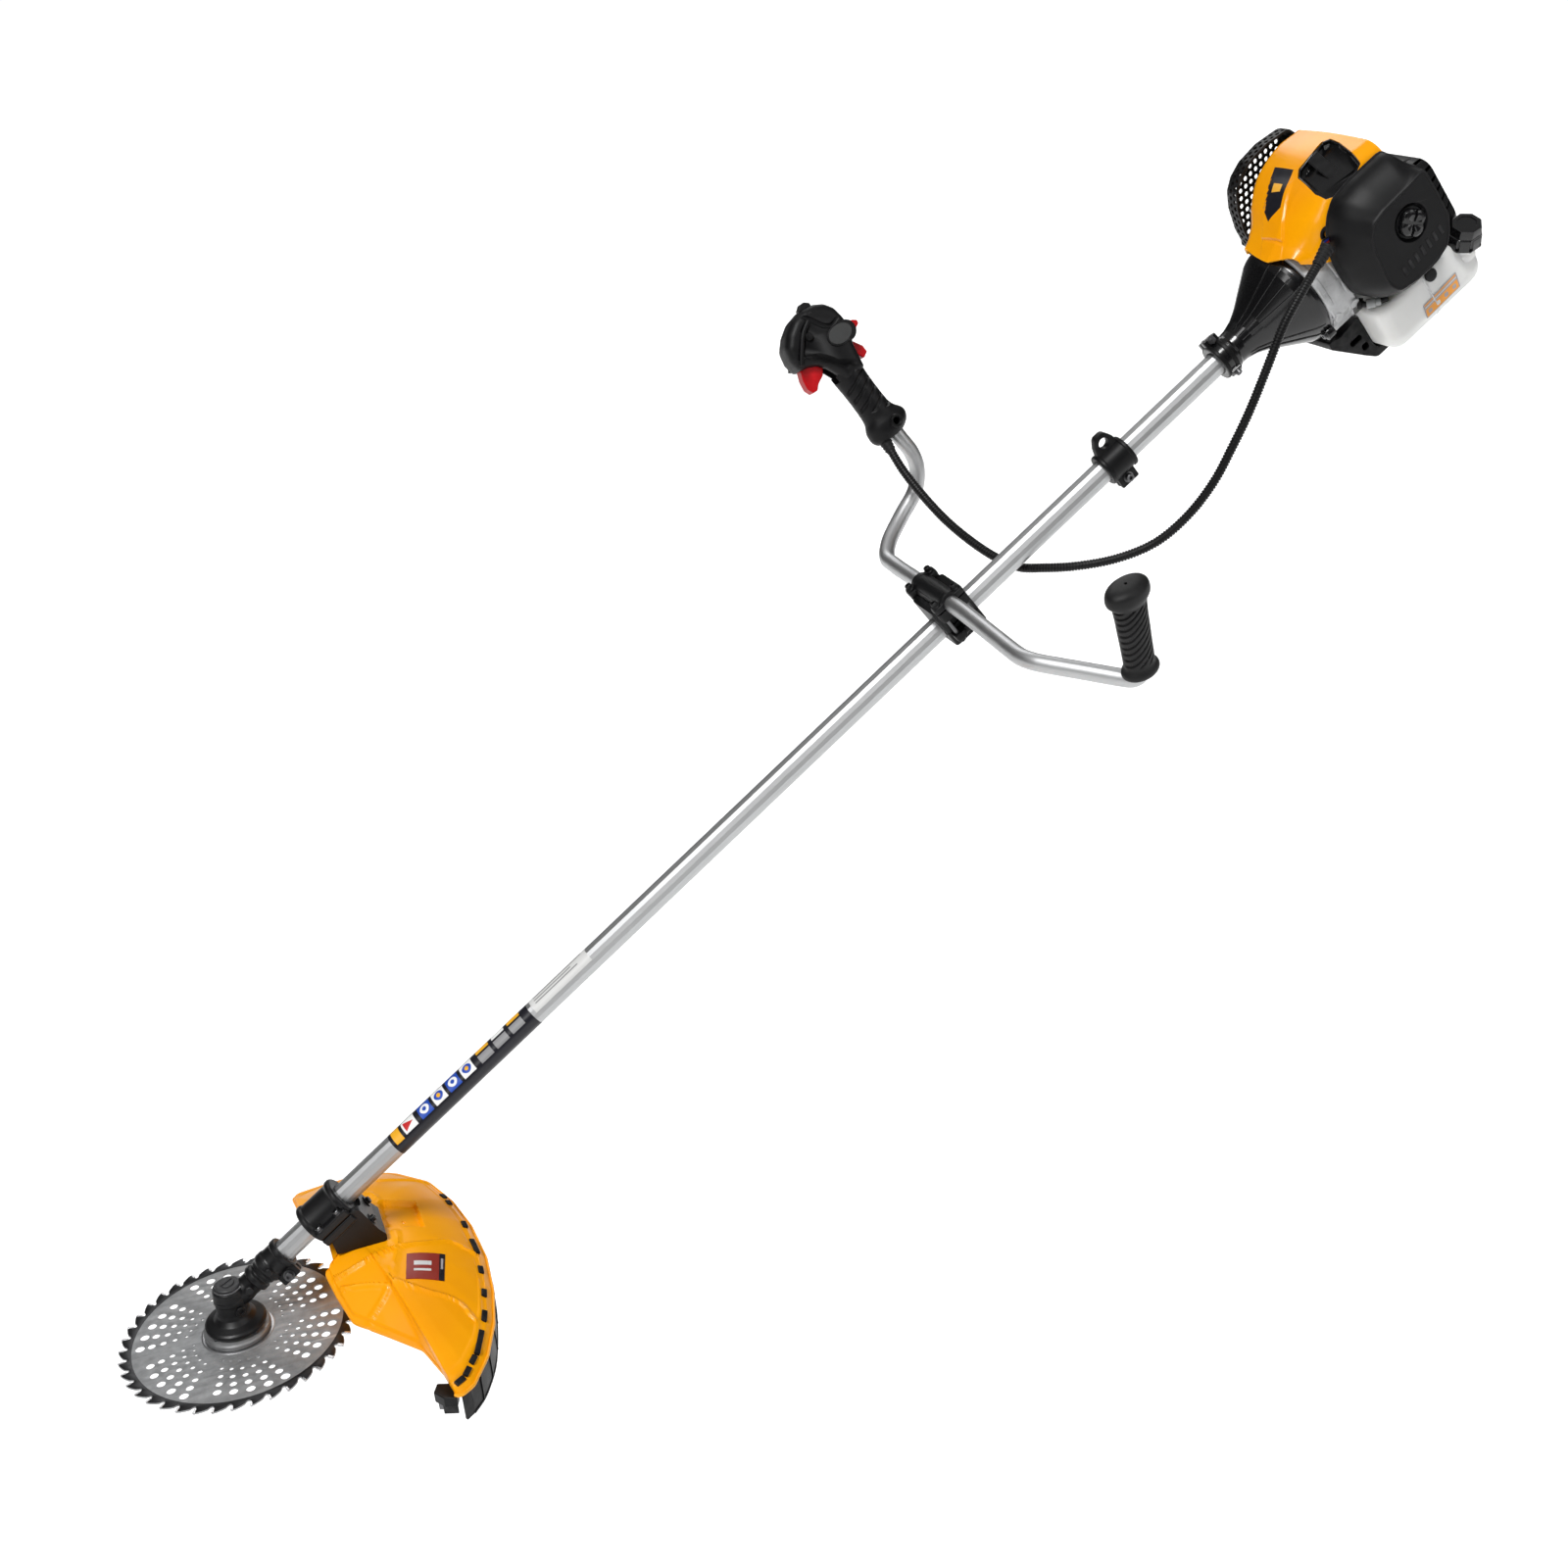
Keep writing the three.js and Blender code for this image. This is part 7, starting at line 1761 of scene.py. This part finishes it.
def wrap(name, x0, x1, t0, t1, mat, lift=0.28, cut_=None):
    """A thin patch bent round the tube; angles in degrees from +Z of the shaft's frame towards the camera's side."""
    n_ = 10
    outer_, inner_ = [], []
    m_ = 8
    for j in range(m_ + 1):
        for i in range(n_ + 1):
            v_ = j / m_
            u_ = i / n_
            x_ = x0 + (x1 - x0) * v_
            w_ = cut_(v_) if cut_ else 1.0
            t_ = math.radians((t0 + t1) / 2 + (t1 - t0) * (u_ - 0.5) * w_)
            outer_.append((x_, -(R0 + lift) * math.sin(t_), (R0 + lift) * math.cos(t_)))
            inner_.append((x_, -(R0 - 0.05) * math.sin(t_), (R0 - 0.05) * math.cos(t_)))
    k_ = (n_ + 1) * (m_ + 1)
    fs = []
    for j in range(m_):
        for i in range(n_):
            a_ = j * (n_ + 1) + i
            fs.append([a_, a_ + 1, a_ + n_ + 2, a_ + n_ + 1])
    fs += [[q + k_ for q in f_][::-1] for f_ in fs]
    lp_ = list(range(n_ + 1)) + [j * (n_ + 1) + n_ for j in range(1, m_ + 1)] + [m_ * (n_ + 1) + i for i in range(n_ - 1, -1, -1)] + [j * (n_ + 1) for j in range(m_ - 1, 0, -1)]
    for a_, b_ in zip(lp_, lp_[1:] + lp_[:1]):
        fs.append([a_, b_, b_ + k_, a_ + k_])
    return obj(name, outer_ + inner_, fs, SHAFT, mat, smooth=50)


BLUE = plastic("tile_blue", (0.015, 0.07, 0.42), 0.35, 500, 0.03, 0.5, vary=0.1)
WHITE = plastic("tile_white", (0.80, 0.80, 0.79), 0.35, 500, 0.03, 0.5, vary=0.03)
RED_T = plastic("tile_red", (0.55, 0.02, 0.02), 0.35, 500, 0.03, 0.5, vary=0.08)
YEL_T = plastic("tile_yellow", (0.85, 0.42, 0.02), 0.35, 500, 0.03, 0.5, vary=0.08)
GREY_T = plastic("tile_grey", (0.25, 0.25, 0.255), 0.35, 500, 0.03, 0.5, vary=0.08)
disc_w = lambda v_: max(0.05, math.sin(pi * min(0.98, max(0.02, v_))) ** 0.5)
tri_w = lambda v_: max(0.06, 1 - v_)
for c_ in (20,):
    wrap("sleeve_end_patch", 251, 262, c_ - 34, c_ + 46, YEL_T)
    wrap("sleeve_white", 266, 284, c_ - 30, c_ + 40, WHITE)
    wrap("sleeve_sign", 268.5, 281, c_ - 20, c_ + 30, RED_T, 0.36, tri_w)
    for i in range(4):
        x_ = 290 + i * 21
        wrap("sleeve_tile", x_, x_ + 17, c_ - 32, c_ + 42, BLUE if i in (0, 2) else WHITE)
        wrap("sleeve_disc", x_ + 2.6, x_ + 14.4, c_ - 19, c_ + 29, WHITE if i in (0, 2) else BLUE, 0.36, disc_w)
        wrap("sleeve_dot", x_ + 6, x_ + 11, c_ - 6, c_ + 16, BLUE if i in (0, 2) else YEL_T, 0.44, disc_w)
    for i in range(3):
        x_ = 378 + i * 23
        wrap("sleeve_band", x_, x_ + 18, c_ - 36, c_ - 10, YEL_T if i != 1 else WHITE)
        wrap("sleeve_band_low", x_, x_ + 18, c_ + 2, c_ + 44, GREY_T)
wrap("tube_pale_label", 458, 541, -28, 66, PALE_PRINT, 0.2)
wrap("tube_pale_bar", 464, 535, -14, -4, GREY_T, 0.28)
wrap("tube_pale_bar_low", 464, 518, 10, 16, GREY_T, 0.28)
wrap("tube_pale_bar_low", 464, 526, 26, 32, GREY_T, 0.28)


# ------------------------------------------------------------------ floor, light
def floor_material():
    n = Nodes("pale_floor")
    n.put(Base_Color=n.mix(n.to(n.noise(1.5, 3), 0, 1, 0.3, 0.7), (0.95, 0.95, 0.95), (0.965, 0.965, 0.965)), Roughness=0.9, Specular_IOR_Level=0.1, Emission_Color=(1, 1, 1, 1), Emission_Strength=0.3, Normal=n.bump(n.noise(80, 3), 0.02, 0.001))
    return n.mat


me = bpy.data.meshes.new("floor")
me.from_pydata([(-60, -60, -6.0), (60, -60, -6.0), (60, 60, -6.0), (-60, 60, -6.0)], [], [(0, 1, 2, 3)])
me.materials.append(floor_material())
floor = bpy.data.objects.new("floor", me)
bpy.context.scene.collection.objects.link(floor)

world = bpy.data.worlds.new("studio")
bpy.context.scene.world = world
world.use_nodes = True
wt = world.node_tree
bg = wt.nodes["Background"]
co = wt.nodes.new("ShaderNodeTexCoord")
sep = wt.nodes.new("ShaderNodeSeparateXYZ")
ramp = wt.nodes.new("ShaderNodeValToRGB")
wt.links.new(co.outputs["Generated"], sep.inputs[0])
wt.links.new(sep.outputs["Z"], ramp.inputs["Fac"])
el = ramp.color_ramp.elements
while len(el) < 5:
    el.new(0.5)
for e, (p, c) in zip(el, [(0.0, 0.12), (0.22, 0.045), (0.45, 0.06), (0.7, 0.30), (1.0, 0.42)]):
    e.position, e.color = p, (c, c, c, 1)
white = wt.nodes.new("ShaderNodeBackground")
white.inputs["Color"].default_value = (1, 1, 1, 1)
white.inputs["Strength"].default_value = 1.05
wt.links.new(ramp.outputs["Color"], bg.inputs["Color"])
bg.inputs["Strength"].default_value = 0.8
lp = wt.nodes.new("ShaderNodeLightPath")
mx = wt.nodes.new("ShaderNodeMixShader")
wt.links.new(lp.outputs["Is Camera Ray"], mx.inputs[0])
wt.links.new(bg.outputs[0], mx.inputs[1])
wt.links.new(white.outputs[0], mx.inputs[2])
wt.links.new(mx.outputs[0], wt.nodes["World Output"].inputs["Surface"])


def lamp(name, kind, at, aim, power, size=1.0, size_y=None, color=(1, 1, 1)):
    d = bpy.data.lights.new(name, kind)
    d.energy, d.color = power, color
    if kind == "AREA":
        d.size = size
        if size_y:
            d.shape, d.size_y = "RECTANGLE", size_y
    else:
        d.angle = math.radians(size)
    o = bpy.data.objects.new(name, d)
    bpy.context.scene.collection.objects.link(o)
    o.location = at
    o.rotation_mode = "QUATERNION"
    o.rotation_quaternion = (Vector(aim) - Vector(at)).to_track_quat("-Z", "Y")
    return o


AIM = (-0.35, 0, -0.25)
lamp("key", "SUN", (-1.6, -1.3, 2.6), AIM, 2.1, 14)
lamp("fill", "SUN", (2.0, -2.6, 1.9), AIM, 0.6, 40)
lamp("rim", "SUN", (0.4, 3.0, 2.2), AIM, 0.6, 30)
lamp("strip", "AREA", (-2.4, -1.6, 1.9), AIM, 26, 0.5, 2.6)
bpy.context.scene.view_settings.view_transform = "Standard"
bpy.context.scene.view_settings.look = "None"
